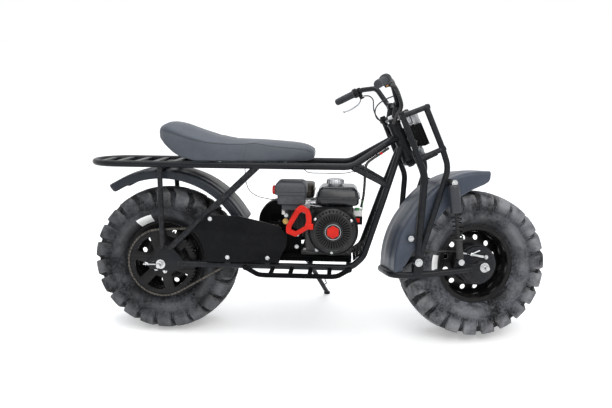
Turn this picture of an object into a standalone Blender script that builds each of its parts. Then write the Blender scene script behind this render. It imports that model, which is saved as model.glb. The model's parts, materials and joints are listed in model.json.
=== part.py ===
"""All-terrain motorcycle with fat tyres, a leading-arm fork, a rigid rear and a utility engine.

Every shape is written for the machine standing upright with its wheels straight: +X forward,
+Y to the rider's left, +Z up, origin on the ground midway between the axles, in metres.
Parent empties then lean it onto its side stand and turn its steering.
"""

import math

import bmesh
import bpy
from mathutils import Matrix, Vector

# Gap kept between pieces that touch
GAP = 0.0003

# Stance and wheels
WHEELBASE = 1.340
FRONT_X = WHEELBASE / 2.0
REAR_X = -WHEELBASE / 2.0
LEAN = math.radians(7.14)
STEER_REST = math.radians(14.2)
STEER_LIMIT = math.radians(32.0)
TYRE_RADIUS = 0.3175
TYRE_HALF_WIDTH = 0.1005
LUGS_PER_SIDE = 22
LUG_HEIGHT = 0.0125
LUG_SHARE = 0.74
LUG_LOW_DROP = 0.0700
FRONT_LUG_PHASE = math.radians(3.5)
REAR_LUG_PHASE = math.radians(8.6)
LUG_SWEEP = math.radians(9.0)
RIM_SEAT_RADIUS = 0.1524
RIM_FLANGE_RADIUS = 0.1675
RIM_HALF_WIDTH = 0.0685
RIM_SHEET = 0.004
RIM_SEGMENTS = LUGS_PER_SIDE
VENT_COUNT = 12
VENT_RADIUS = 0.0115
VENT_CIRCLE = 0.1130
HUB_SEAT_RADIUS = 0.0520

# Steering
RAKE = math.radians(24.5)
HEAD_SETBACK = 0.2830
HEAD_X = FRONT_X - HEAD_SETBACK
HEAD_Z = 0.767
HEAD_TUBE_LENGTH = 0.176
HEAD_TUBE_RADIUS = 0.0270
HEAD_BORE_RADIUS = 0.0200
STEM_RADIUS = 0.0190
YOKE_LOW_S = -0.0120
YOKE_LOW_DEPTH = 0.0100
YOKE_RISE = 0.0120
YOKE_TOP_DEPTH = 0.0080
LAMP_S = 0.0850

# Frame tubes
RAIL_RADIUS = 0.0135
RAIL_HALF_SPAN = 0.1250
RAIL_HEIGHT = 0.7450
RAIL_NECK = (FRONT_X - 0.3640, -0.0340, 0.8500)
RAIL_BEND_X = 0.1380
LOWER_HALF_SPAN = 0.1400
LOWER_HEIGHT = 0.3200
DOWN_NECK = (FRONT_X - 0.3340, -0.0400, 0.7900)
DOWN_KNEE = (0.2760, -0.0900, 0.6080)
DOWN_FOOT = (0.1960, -0.1200, LOWER_HEIGHT + 0.0440)
GUSSET_SHARE = 0.2857
DIAGONAL_TOP_X = -0.2520
STAY_RISE = 0.0685
ENGINE_LIFT = 0.0400
ENGINE_BASE_Z = LOWER_HEIGHT + ENGINE_LIFT
STRUT_RADIUS = 0.0110
DIAGONAL_RADIUS = 0.0130
GUSSET_RADIUS = 0.0110
CROSS_RADIUS = 0.0110
TUBE_SIDES = 8
BEND_STEPS = 2
RACK_OVERHANG = 0.1880
RACK_TURN_X = REAR_X - RACK_OVERHANG
PLATE_THICKNESS = 0.006
PLATE_Y = 0.1450
AXLE_RADIUS = 0.0085
AXLE_CLEARANCE = 0.0005
AXLE_HALF_LENGTH = 0.1870
NUT_RADIUS = 0.0140

# Drive
CHAIN_PITCH = 0.015875
CHAIN_HALF_HEIGHT = 0.0072
CHAIN_WAIST = 0.0050
CHAIN_WIDTH = 0.0120
CHAIN_Y = -0.1180
SPROCKET_TEETH = 58
DRIVE_TEETH = 10
SPROCKET_THICKNESS = 0.0060
DRIVE_X = -0.1800
DRIVE_Z = ENGINE_BASE_Z + 0.1050
WINDOW_COUNT = 6
WINDOW_OUTER = 0.1220
WINDOW_INNER = 0.0640

# Fork
BAR_CLAMP = (FRONT_X - 0.3550, 0.0, 0.9950)
FORK_HALF_SPAN = 0.1300
FORK_RADIUS = 0.0125
FORK_BEND = 0.1000
YOKE_RADIUS = 0.0110
ARM_RADIUS = 0.0135
ARM_SETBACK = 0.2860
ARM_PIVOT_X = FRONT_X - ARM_SETBACK
ARM_PIVOT_Z = 0.3440
SHOCK_Y = 0.1560
SHOCK_COVER_RADIUS = 0.0235
SHOCK_SPRING_RADIUS = 0.0190
SHOCK_TUBE_RADIUS = 0.0130
SHOCK_EAR_Y = 0.1400
SHOCK_TOP = (FRONT_X - 0.1450, 0.6720)
SHOCK_FOOT = (FRONT_X - 0.1090, 0.3440)
FENDER_BOLT = (FRONT_X - 0.3150, 0.4420)
TAB_SHEET = 0.0040
FRONT_FENDER_RADIUS = 0.4050
FRONT_FENDER_HALF = 0.1120
FENDER_SHEET = 0.0030
GUARD_SHEET = 0.0030
GUARD_HOLLOW = (REAR_X - 0.0300, LOWER_HEIGHT, 0.2345)
GUARD_BOLTS = ((REAR_X + 0.2914, LOWER_HEIGHT + 0.0368), (-0.2080, LOWER_HEIGHT + 0.0380))
GUARD_TOP_Z = LOWER_HEIGHT + 0.1990
GUARD_TOP_REACH = 0.0340
DRUM_RADIUS = 0.0870

# Rear fender
REAR_FENDER_RADIUS = 0.4050
REAR_FENDER_HALF = 0.0920
REAR_FENDER_DEPTH = 0.0380

# Engine, 376 mm long over the air box, 346 mm high over the cap
CRANK_X = 0.0670
CRANK_Z = ENGINE_BASE_Z + 0.1220
HEAD_TOP_Z = ENGINE_BASE_Z + 0.2200
SWITCH_X = 0.1900
SWITCH_TOP_Z = ENGINE_BASE_Z + 0.1980
BLOWER_RADIUS = 0.1050
BLOWER_FACE_Y = -0.1900
GRILLE_RADIUS = 0.0740

# Side stand
STAND_PIVOT = (-0.0650, 0.1640, LOWER_HEIGHT - 0.0360)
STAND_FOOT_X = 0.0350
STAND_FOOT_Y = 0.3630
STAND_RADIUS = 0.0110
STAND_STOWED = (-0.985, 0.140, -0.070)
STAND_EYE_RADIUS = 0.0160
STAND_EYE_HALF = 0.0070
STAND_BOLT_RADIUS = 0.0050
STAND_FOOT_RADIUS = 0.0160

# Loom and brake cable
LOOM_RADIUS = 0.0050
CABLE_RADIUS = 0.0030


def clear_scene():
    """Remove every object and its data."""
    for item in list(bpy.data.objects):
        bpy.data.objects.remove(item, do_unlink=True)
    for pool in (bpy.data.meshes, bpy.data.curves, bpy.data.materials):
        for item in list(pool):
            pool.remove(item)


def paint(name, colour, roughness, metallic=0.0):
    """One Principled material in a plain colour."""
    mat = bpy.data.materials.new(name)
    mat.use_nodes = True
    shader = mat.node_tree.nodes["Principled BSDF"]
    shader.inputs["Base Color"].default_value = (*colour, 1.0)
    shader.inputs["Roughness"].default_value = roughness
    shader.inputs["Metallic"].default_value = metallic
    mat.diffuse_color = (*colour, 1.0)
    return mat


def link(name, mesh):
    """Put a mesh in the scene as an object."""
    item = bpy.data.objects.new(name, mesh)
    bpy.context.scene.collection.objects.link(item)
    return item


def from_bmesh(bm, name="piece"):
    """Turn a bmesh into an object with its faces pointing out."""
    bmesh.ops.remove_doubles(bm, verts=bm.verts, dist=1e-6)
    bmesh.ops.dissolve_degenerate(bm, dist=1e-6, edges=bm.edges)
    bmesh.ops.recalc_face_normals(bm, faces=bm.faces)
    mesh = bpy.data.meshes.new(name)
    bm.to_mesh(mesh)
    bm.free()
    return link(name, mesh)


def bake(item):
    """Replace an object's mesh by its evaluated one and drop the modifiers."""
    graph = bpy.context.evaluated_depsgraph_get()
    mesh = bpy.data.meshes.new_from_object(item.evaluated_get(graph))
    if item.type == "MESH":
        item.modifiers.clear()
        bm = bmesh.new()
        bm.from_mesh(mesh)
        bmesh.ops.remove_doubles(bm, verts=bm.verts, dist=4e-6)
        bmesh.ops.dissolve_degenerate(bm, dist=4e-6, edges=bm.edges)
        bm.to_mesh(mesh)
        bm.free()
        item.data = mesh
        return item
    name = item.name
    bpy.data.objects.remove(item, do_unlink=True)
    bm = bmesh.new()
    bm.from_mesh(mesh)
    return from_bmesh(bm, name)


def combine(base, others, operation="UNION"):
    """Join pieces into one body, or cut them out of it, with exact Booleans."""
    for other in others:
        mod = base.modifiers.new("Join", "BOOLEAN")
        mod.operation = operation
        mod.solver = "EXACT"
        mod.object = other
        bpy.context.view_layer.update()
        bake(base)
        bpy.data.objects.remove(other, do_unlink=True)
    return base


def weld(pieces, cuts=()):
    """Weld a list of pieces into one body, then cut it."""
    base = combine(pieces[0], pieces[1:])
    return combine(base, cuts, "DIFFERENCE")


def bent(points, bend, steps=BEND_STEPS):
    """Round the inner corners of a polyline with arcs of one bend radius."""
    pts = [Vector(p) for p in points]
    if bend <= 0.0 or len(pts) < 3:
        return pts
    out = [pts[0]]
    for before, corner, after in zip(pts, pts[1:], pts[2:]):
        to_a = (before - corner).normalized()
        to_b = (after - corner).normalized()
        opening = to_a.angle(to_b)
        if opening > math.radians(176.0):
            out.append(corner)
            continue
        reach = bend / math.tan(opening / 2.0)
        reach = min(reach, 0.48 * (before - corner).length, 0.48 * (after - corner).length)
        radius = reach * math.tan(opening / 2.0)
        centre = corner + (to_a + to_b).normalized() * (radius / math.sin(opening / 2.0))
        start = corner + to_a * reach - centre
        axis = start.cross(corner + to_b * reach - centre).normalized()
        sweep = math.pi - opening
        for k in range(steps + 1):
            out.append(centre + Matrix.Rotation(sweep * k / steps, 3, axis) @ start)
    out.append(pts[-1])
    return out


def tube(points, radius, bend=0.05, sides=TUBE_SIDES, steps=BEND_STEPS):
    """A round bent tube with closed ends, from a bevelled curve."""
    path = bent(points, bend, steps)
    data = bpy.data.curves.new("tube", "CURVE")
    data.dimensions = "3D"
    data.bevel_depth = radius
    data.bevel_resolution = max(0, (sides - 4) // 2)
    data.use_fill_caps = True
    data.twist_mode = "MINIMUM"
    spline = data.splines.new("POLY")
    spline.points.add(len(path) - 1)
    for slot, p in zip(spline.points, path):
        slot.co = (*p, 1.0)
    item = bpy.data.objects.new("tube", data)
    bpy.context.scene.collection.objects.link(item)
    bpy.context.view_layer.update()
    return bake(item)


def cylinder(start, end, radius, sides=16, end_radius=None):
    """A round bar or cone between two points."""
    a, b = Vector(start), Vector(end)
    bm = bmesh.new()
    bmesh.ops.create_cone(bm, cap_ends=True, segments=sides, radius1=radius,
                          radius2=radius if end_radius is None else end_radius,
                          depth=(b - a).length)
    turn = Vector((0, 0, 1)).rotation_difference((b - a).normalized()).to_matrix().to_4x4()
    bmesh.ops.transform(bm, matrix=Matrix.Translation((a + b) / 2.0) @ turn, verts=bm.verts)
    return from_bmesh(bm)


def box(low, high, bevel=0.0, segments=1):
    """A block between two corners, with its edges eased."""
    low, high = Vector(low), Vector(high)
    size = high - low
    bm = bmesh.new()
    bmesh.ops.create_cube(bm, size=1.0)
    bmesh.ops.scale(bm, vec=size, verts=bm.verts)
    if bevel > 0.0:
        bmesh.ops.bevel(bm, geom=bm.edges[:], offset=min(bevel, min(size) * 0.45),
                        segments=segments, profile=0.5, affect="EDGES")
    bmesh.ops.translate(bm, vec=(low + high) / 2.0, verts=bm.verts)
    return from_bmesh(bm)


def loft(sections, cyclic=False):
    """Skin a row of closed sections that have the same number of points."""
    bm = bmesh.new()
    rows = [[bm.verts.new(p) for p in section] for section in sections]
    count = len(rows[0])
    pairs = list(zip(rows, rows[1:]))
    if cyclic:
        pairs.append((rows[-1], rows[0]))
    for row, after in pairs:
        for i in range(count):
            j = (i + 1) % count
            bm.faces.new((row[i], row[j], after[j], after[i]))
    if not cyclic:
        bm.faces.new(rows[0])
        bm.faces.new(list(reversed(rows[-1])))
    return from_bmesh(bm)


def plate(outline, y_low, y_high):
    """A flat plate whose outline lies in the X-Z plane."""
    return loft([[(x, y_low, z) for x, z in outline], [(x, y_high, z) for x, z in outline]])


def turned(profile, centre, segments, phase=0.0, start=0.0, end=None):
    """Turn a closed profile of (y, r) points about an axle along Y."""
    cx, cy, cz = centre
    full = end is None
    sweep = math.tau if full else end - start
    count = segments if full else segments + 1
    sections = []
    for k in range(count):
        angle = start + phase + sweep * k / segments
        c, s = math.cos(angle), math.sin(angle)
        sections.append([(cx + r * c, cy + y, cz + r * s) for y, r in profile])
    return loft(sections, cyclic=full)


def arc(cx, cz, radius, start, end, steps):
    """Points of an arc in the X-Z plane, angles in degrees."""
    out = []
    for k in range(steps + 1):
        a = math.radians(start + (end - start) * k / steps)
        out.append((cx + radius * math.cos(a), cz + radius * math.sin(a)))
    return out


def offset_x(x0, points):
    """Points whose x is measured from x0."""
    return [(x0 + p[0], *p[1:]) for p in points]


def mirrored(points, side):
    """Put a right-hand path on the right (-1) or left (+1) side."""
    return [(x, side * abs(y), z) for x, y, z in points]


EMPTIES = {}


def empty(name, at, parent=None):
    """A parent empty at a point given in the upright design frame."""
    item = bpy.data.objects.new(name, None)
    item.empty_display_size = 0.05
    bpy.context.scene.collection.objects.link(item)
    base = Vector(EMPTIES[parent.name]) if parent else Vector((0, 0, 0))
    item.parent = parent
    item.location = Vector(at) - base
    EMPTIES[item.name] = tuple(at)
    return item


def place(item, name, parent, mat, at=None, smooth=35.0):
    """Name a finished piece, give it its material and hang it on its parent empty."""
    base = Vector(EMPTIES[parent.name])
    origin = base if at is None else Vector(at)
    item.data.transform(Matrix.Translation(-origin))
    item.name = name
    item.data.name = name
    item.data.materials.clear()
    item.data.materials.append(mat)
    item.parent = parent
    item.location = origin - base
    if smooth > 0.0:
        item.data.shade_smooth()
        item.data.set_sharp_from_angle(angle=math.radians(smooth))
    else:
        item.data.shade_flat()
    return item


def axis_point(s, drop=0.0):
    """A point s metres up the steering axis, moved forward by drop at a right angle to it."""
    x = HEAD_X - math.sin(RAKE) * s + math.cos(RAKE) * drop
    z = HEAD_Z + math.cos(RAKE) * s + math.sin(RAKE) * drop
    return Vector((x, 0.0, z))


REAR_AXLE = (REAR_X, 0.0, TYRE_RADIUS)
FRONT_AXLE = (FRONT_X, 0.0, TYRE_RADIUS)


def tyre(centre, phase):
    """Carcass with staggered slanted lugs on both shoulders, hollow and open to the rim."""
    seat = RIM_SEAT_RADIUS + GAP
    half = TYRE_HALF_WIDTH
    base = TYRE_RADIUS - LUG_HEIGHT
    flange = RIM_HALF_WIDTH - RIM_SHEET - 0.001 - GAP
    outer = [(flange, seat), (flange, RIM_FLANGE_RADIUS + 0.0025),
             (half - 0.0060, RIM_FLANGE_RADIUS + 0.0330), (half, base - LUG_LOW_DROP),
             (half - 0.0110, base - 0.0150), (0.0080, base)]
    inner = [(flange - 0.0230, seat), (half - 0.0150, seat + 0.0500), (half - 0.0240, base - 0.0180)]
    lift = {3: (0.0012, 0.0060), 4: (0.0015, LUG_HEIGHT + 0.0030), 5: (0.0020, LUG_HEIGHT)}
    columns = 2 * LUGS_PER_SIDE
    pitch = math.tau / LUGS_PER_SIDE
    bm = bmesh.new()

    def spot(col, y, r, sweep, even=0.0):
        lug, part = divmod(col, 2)
        worn = phase + pitch * (lug + (LUG_SHARE if part else 0.0)) + sweep
        angle = worn + (pitch * col / 2.0 - worn) * even
        return (centre[0] + r * math.cos(angle), centre[1] + y, centre[2] + r * math.sin(angle))

    rows = []
    for side in (1, -1):
        order = range(len(outer)) if side > 0 else reversed(range(len(outer)))
        for k in order:
            y, r = outer[k]
            shift = 0.0 if side > 0 else pitch * 0.5
            sweep = shift + LUG_SWEEP * max(0.0, 1.0 - y / half) * (1 if k > 2 else 0)
            even = (1.0, 1.0, 0.5, 0.0, 0.0, 0.0)[k]
            rows.append((side, k, [bm.verts.new(spot(c, side * y, r, sweep, even)) for c in range(columns)]))
    lugs = []
    for (side, k, row), (side_b, k_b, after) in zip(rows, rows[1:]):
        for c in range(columns):
            d = (c + 1) % columns
            face = bm.faces.new((row[c], row[d], after[d], after[c]))
            if side == side_b and min(k, k_b) >= 3 and c % 2 == 0:
                lugs.append((side, c, face))
    hollow = []
    for side in (1, -1):
        order = inner if side > 0 else list(reversed(inner))
        for y, r in order:
            hollow.append([bm.verts.new(spot(2 * c, side * y, r, 0.0, 1.0)) for c in range(LUGS_PER_SIDE)])
    for row, after in zip(hollow, hollow[1:]):
        for c in range(LUGS_PER_SIDE):
            d = (c + 1) % LUGS_PER_SIDE
            bm.faces.new((row[c], row[d], after[d], after[c]))
    for bead, lip in ((rows[0][2], hollow[0]), (rows[-1][2], hollow[-1])):
        for c in range(LUGS_PER_SIDE):
            d = (c + 1) % LUGS_PER_SIDE
            e = (2 * c + 2) % columns
            bm.faces.new((bead[2 * c], bead[2 * c + 1], lip[c]))
            bm.faces.new((bead[2 * c + 1], bead[e], lip[d], lip[c]))
    bmesh.ops.recalc_face_normals(bm, faces=bm.faces)
    groups = {}
    for side, c, face in lugs:
        groups.setdefault((side, c), []).append(face)
    where = {}
    for side, k, row in rows:
        for vert in row:
            where[vert] = (side, k)
    for faces in groups.values():
        old = {}
        for face in faces:
            for vert in face.verts:
                old[tuple(round(v, 7) for v in vert.co)] = where[vert]
        raised = bmesh.ops.extrude_face_region(bm, geom=faces)
        bmesh.ops.delete(bm, geom=faces, context="FACES_ONLY")
        for vert in (g for g in raised["geom"] if isinstance(g, bmesh.types.BMVert)):
            side, k = old[tuple(round(v, 7) for v in vert.co)]
            out, up = lift[k]
            flat = Vector((vert.co.x - centre[0], 0.0, vert.co.z - centre[2]))
            r = flat.length
            vert.co += flat.normalized() * up
            vert.co.y += side * out
    loose = [edge for edge in bm.edges if not edge.link_faces]
    bmesh.ops.delete(bm, geom=loose, context="EDGES")
    return from_bmesh(bm)


def rim(centre, disc_y):
    """Stamped wheel: flanges, bead seats, barrel and a dished disc with round vents."""
    t = RIM_SHEET
    half = RIM_HALF_WIDTH
    seat = RIM_SEAT_RADIUS
    wall = half - t - 0.001
    inside = seat - t
    drop = inside - 0.0100
    a, b = disc_y, disc_y - 0.0160
    profile = [(-wall, RIM_FLANGE_RADIUS), (-wall, seat), (wall, seat), (wall, RIM_FLANGE_RADIUS),
               (half, RIM_FLANGE_RADIUS), (half, inside), (0.0360, drop),
               (a + t, drop), (b + t, VENT_CIRCLE - 0.0200), (b + t, HUB_SEAT_RADIUS),
               (b, HUB_SEAT_RADIUS), (b, VENT_CIRCLE - 0.0200), (a, drop),
               (-0.0360, drop), (-half, inside), (-half, RIM_FLANGE_RADIUS)]
    body = turned(profile, centre, RIM_SEGMENTS)
    cuts = []
    for k in range(VENT_COUNT):
        angle = math.tau * (k + 0.53) / VENT_COUNT
        x = centre[0] + VENT_CIRCLE * math.cos(angle)
        z = centre[2] + VENT_CIRCLE * math.sin(angle)
        cuts.append(cylinder((x, centre[1] + b - 0.02, z), (x, centre[1] + a + 0.03, z), VENT_RADIUS, 6))
    return weld([body], cuts)


def front_hub():
    """Brake drum open to the right, with the flange that the rim seats on."""
    bore = AXLE_RADIUS + AXLE_CLEARANCE
    face = FRONT_DISC_Y - 0.0160
    profile = [(face - GAP, DRUM_RADIUS), (-0.0800, DRUM_RADIUS), (-0.0800, DRUM_RADIUS - 0.0060),
               (face - 0.0100, DRUM_RADIUS - 0.0060), (face - 0.0100, 0.0280), (-0.0500, 0.0230),
               (-0.0500, bore), (0.1100, bore), (0.1100, 0.0200), (0.0500, 0.0280),
               (face + RIM_SHEET + 0.0200, HUB_SEAT_RADIUS - GAP), (face - GAP, HUB_SEAT_RADIUS - GAP)]
    return turned(profile, FRONT_AXLE, RIM_SEGMENTS)


FRONT_DISC_Y = 0.0100
REAR_DISC_Y = -0.0040


def rear_hub():
    """Turned hub that carries the rim and the sprocket."""
    bore = AXLE_RADIUS + AXLE_CLEARANCE
    face = REAR_DISC_Y - 0.0160
    seat = CHAIN_Y + SPROCKET_THICKNESS / 2.0 + GAP
    profile = [(-0.1300, bore), (-0.1300, 0.0180), (seat - 0.0105, 0.0290),
               (seat, 0.0290), (seat, 0.0480), (seat + 0.0080, 0.0480), (seat + 0.0160, 0.0320),
               (face - 0.0100, 0.0320), (face - 0.0100, 0.0700), (face - GAP, 0.0700),
               (face - GAP, HUB_SEAT_RADIUS - GAP), (face + 0.0250, HUB_SEAT_RADIUS - GAP),
               (0.0400, 0.0240), (0.1250, 0.0200), (0.1250, bore)]
    return turned(profile, REAR_AXLE, RIM_SEGMENTS)


PITCH_RADIUS = CHAIN_PITCH / (2.0 * math.sin(math.pi / SPROCKET_TEETH))
DRIVE_PITCH_RADIUS = CHAIN_PITCH / (2.0 * math.sin(math.pi / DRIVE_TEETH))


def toothed(centre_x, centre_z, teeth, tip, root, y_low, y_high):
    """A toothed disc: each tooth is a short trapezoid."""
    outline = []
    for k in range(teeth):
        for share, r in ((-0.5, root), (-0.18, tip), (0.18, tip)):
            a = math.tau * (k + share) / teeth
            outline.append((centre_x + r * math.cos(a), centre_z + r * math.sin(a)))
    return plate(outline, y_low, y_high)


def wheel_sprocket():
    """Chain wheel with six windows, its teeth just under the chain."""
    x, z = REAR_AXLE[0], REAR_AXLE[2]
    tip = PITCH_RADIUS - CHAIN_HALF_HEIGHT - 0.0012
    y = CHAIN_Y
    t = SPROCKET_THICKNESS
    body = toothed(x, z, SPROCKET_TEETH, tip, tip - 0.0055, y - t / 2, y + t / 2)
    cuts = [cylinder((x, y - t, z), (x, y + t, z), 0.0300, 20)]
    span = math.degrees(math.tau / WINDOW_COUNT)
    for k in range(WINDOW_COUNT):
        mid = 15.0 + span * k
        outline = arc(x, z, WINDOW_OUTER, mid - 20.0, mid + 20.0, 4)
        outline += arc(x, z, WINDOW_INNER, mid + 12.0, mid - 12.0, 2)
        cuts.append(plate(outline, y - t, y + t))
    return weld([body], cuts)


def chain_path():
    """Pitch line of the chain round both sprockets as evenly spaced points with normals."""
    a = Vector((REAR_AXLE[0], REAR_AXLE[2]))
    b = Vector((DRIVE_X, DRIVE_Z))
    r1, r2 = PITCH_RADIUS, DRIVE_PITCH_RADIUS
    span = b - a
    base = math.atan2(span.y, span.x)
    tilt = math.acos((r1 - r2) / span.length)
    straight = math.sqrt(span.length ** 2 - (r1 - r2) ** 2)
    wrap1 = math.tau - 2.0 * tilt
    wrap2 = 2.0 * tilt
    total = 2.0 * straight + r1 * wrap1 + r2 * wrap2
    links = 2 * round(total / CHAIN_PITCH / 2.0)
    out = []
    for k in range(2 * links):
        s = total * k / (2 * links)
        if s < r1 * wrap1:
            ang = base + tilt + s / r1
            n = Vector((math.cos(ang), math.sin(ang)))
            p = a + n * r1
        elif s < r1 * wrap1 + straight:
            ang = base - tilt
            n = Vector((math.cos(ang), math.sin(ang)))
            p = a + n * r1 + (b - a + n * (r2 - r1)) * ((s - r1 * wrap1) / straight)
        elif s < r1 * wrap1 + straight + r2 * wrap2:
            ang = base - tilt + (s - r1 * wrap1 - straight) / r2
            n = Vector((math.cos(ang), math.sin(ang)))
            p = b + n * r2
        else:
            ang = base + tilt
            n = Vector((math.cos(ang), math.sin(ang)))
            done = s - r1 * wrap1 - straight - r2 * wrap2
            p = b + n * r2 + (a - b + n * (r1 - r2)) * (done / straight)
        out.append((p, n))
    return out


def drive_chain():
    """Chain loop with waisted links, one full height at each pin and one waist between."""
    sections = []
    half = CHAIN_WIDTH / 2.0
    for k, (p, n) in enumerate(chain_path()):
        h = CHAIN_HALF_HEIGHT if k % 2 == 0 else CHAIN_WAIST
        top, low = p + n * h, p - n * h
        sections.append([(top.x, CHAIN_Y - half, top.y), (top.x, CHAIN_Y + half, top.y),
                         (low.x, CHAIN_Y + half, low.y), (low.x, CHAIN_Y - half, low.y)])
    return loft(sections, cyclic=True)


def drive_sprocket():
    """Small sprocket on the jackshaft that comes out of the clutch cover."""
    tip = DRIVE_PITCH_RADIUS - CHAIN_HALF_HEIGHT - 0.0006
    t = SPROCKET_THICKNESS
    disc = toothed(DRIVE_X, DRIVE_Z, DRIVE_TEETH, tip, tip - 0.0040, CHAIN_Y - t / 2, CHAIN_Y + t / 2)
    shaft = cylinder((DRIVE_X, CHAIN_Y - 0.0120, DRIVE_Z), (DRIVE_X, CLUTCH_INNER_Y - GAP, DRIVE_Z), 0.0095, 12)
    return weld([disc, shaft])


CLUTCH_INNER_Y = 0.1080
CLUTCH_OUTER_Y = 0.1780


def head_cut(radius):
    """The head tube's outline as a cutter of any radius."""
    return cylinder(axis_point(-0.03), axis_point(HEAD_TUBE_LENGTH + 0.03), radius, 20)


def rail_path():
    """Right rail from the head tube back round the rack loop to the left rail."""
    y = RAIL_HALF_SPAN
    head = axis_point(0.105)
    right = [(head.x - 0.004, -0.0100, head.z - 0.002), RAIL_NECK,
             (RAIL_BEND_X, -y, RAIL_HEIGHT), (RACK_TURN_X, -y, RAIL_HEIGHT)]
    path = bent(right, 0.09)
    for k in range(1, 12):
        a = math.pi * k / 12.0
        path.append(Vector((RACK_TURN_X - y * math.sin(a), -y * math.cos(a), RAIL_HEIGHT)))
    left = [(x, -y0, z) for x, y0, z in reversed([tuple(v) for v in bent(right, 0.09)])]
    return [tuple(v) for v in path] + left


# Slats of the rack, measured from the rear axle
RACK_SLATS = (0.0500, -0.0300, -0.1100, -0.1900, -0.2600)
SEAT_CROSS = (-0.1600, -0.4600)


def upper_frame():
    """Head tube, both upper rails, the rack loop and its slats."""
    head = cylinder(axis_point(0.0), axis_point(HEAD_TUBE_LENGTH), HEAD_TUBE_RADIUS, 20)
    rails = tube(rail_path(), RAIL_RADIUS, 0.0)
    pieces = [head, rails]
    y = RAIL_HALF_SPAN
    for back in RACK_SLATS:
        x = REAR_X + back
        reach = y if x > RACK_TURN_X else math.sqrt(y ** 2 - (x - RACK_TURN_X) ** 2)
        pieces.append(box((x - 0.0125, -reach, RAIL_HEIGHT + 0.0035), (x + 0.0125, reach, RAIL_HEIGHT + 0.0085)))
    for x in SEAT_CROSS:
        pieces.append(cylinder((x, -y, RAIL_HEIGHT - 0.0010), (x, y, RAIL_HEIGHT - 0.0010), CROSS_RADIUS, 6))
    x = REAR_AXLE[0]
    low = REAR_AXLE[2] + REAR_FENDER_RADIUS + GAP
    reach = y - STRUT_RADIUS - GAP
    pieces.append(box((x - 0.0150, -reach, low), (x + 0.0150, reach, RAIL_HEIGHT)))
    bore = cylinder(axis_point(-0.05), axis_point(HEAD_TUBE_LENGTH + 0.05), HEAD_BORE_RADIUS, 20)
    return weld(pieces, [bore])


def down_path(side):
    """Down tube from the head tube into the lower rail."""
    y = LOWER_HALF_SPAN
    return mirrored([(FRONT_X - 0.3220, -0.0200, 0.8220), DOWN_NECK, DOWN_KNEE, DOWN_FOOT,
                     (0.1450, -y, LOWER_HEIGHT), (REAR_X + 0.0730, -y, LOWER_HEIGHT)], side)


def gusset_path(side):
    """Gusset tube from the upper rail's bend to the down tube."""
    end = Vector(DOWN_KNEE).lerp(Vector(DOWN_NECK), GUSSET_SHARE) + Vector((0.0048, 0.0, 0.0))
    return mirrored([(RAIL_BEND_X + 0.0050, -RAIL_HALF_SPAN, RAIL_HEIGHT - 0.0020), end], side)


CROSS_MEMBERS = (0.1350, -0.0300, -0.3050)


def stand_axis():
    """Hinge direction of the stand: square to the leg when it is down and when it is stowed."""
    down = Vector((STAND_FOOT_X, STAND_FOOT_Y, 0.0450)) - Vector(STAND_PIVOT)
    return down.cross(Vector(STAND_STOWED)).normalized()


def stand_lug():
    """Lug under the left rail with the bolt that the stand turns on."""
    a = stand_axis()
    p = Vector(STAND_PIVOT)
    back = STAND_EYE_HALF + 2.0 * GAP
    disc = cylinder(p - a * (back + 0.0060), p - a * back, STAND_EYE_RADIUS, 12)
    root = p - a * (back + 0.0030)
    arm = cylinder(root, (root.x, LOWER_HALF_SPAN, LOWER_HEIGHT - 0.0040), 0.0090, 8)
    bolt = cylinder(p - a * (back + 0.0030), p + a * (back + 0.0020), STAND_BOLT_RADIUS, 8)
    head = cylinder(p + a * back, p + a * (back + 0.0050), 0.0090, 6)
    face = cylinder(p - a * back, p + a * back, STAND_EYE_RADIUS + 0.004, 16)
    arm = combine(arm, [face], "DIFFERENCE")
    return [disc, arm, bolt, head]


def cradle():
    """Down tubes, lower rails, cross members, front gussets and the stand's lug."""
    pieces = []
    for side in (-1, 1):
        pieces.append(tube(down_path(side), RAIL_RADIUS, 0.075))
        pieces.append(tube(gusset_path(side), GUSSET_RADIUS, 0.0, 8))
    for x in CROSS_MEMBERS:
        pieces.append(cylinder((x, -LOWER_HALF_SPAN, LOWER_HEIGHT - 0.0010),
                               (x, LOWER_HALF_SPAN, LOWER_HEIGHT - 0.0010), CROSS_RADIUS, 6))
    for x, z in GUARD_BOLTS:
        face = LOWER_HALF_SPAN + RAIL_RADIUS
        pieces.append(box((x - 0.0120, -face, LOWER_HEIGHT + 0.0040), (x + 0.0120, GUARD_SHEET - face, z + 0.0120)))
    pieces += stand_lug()
    cuts = [head_cut(HEAD_TUBE_RADIUS + GAP), tube(rail_path(), RAIL_RADIUS + GAP, 0.0)]
    return weld(pieces, cuts)


def diagonal_path(side):
    """Diagonal from the upper rail to the dropout plate."""
    return mirrored([(DIAGONAL_TOP_X, -RAIL_HALF_SPAN, RAIL_HEIGHT),
                     (REAR_X + 0.0400, -PLATE_Y, TYRE_RADIUS + STAY_RISE)], side)


def guard_top():
    """Point of the right diagonal's middle line at the height of the guard's top bolt."""
    top, low = (Vector(p) for p in diagonal_path(-1))
    return low.lerp(top, (GUARD_TOP_Z - low.z) / (top.z - low.z))


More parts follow.
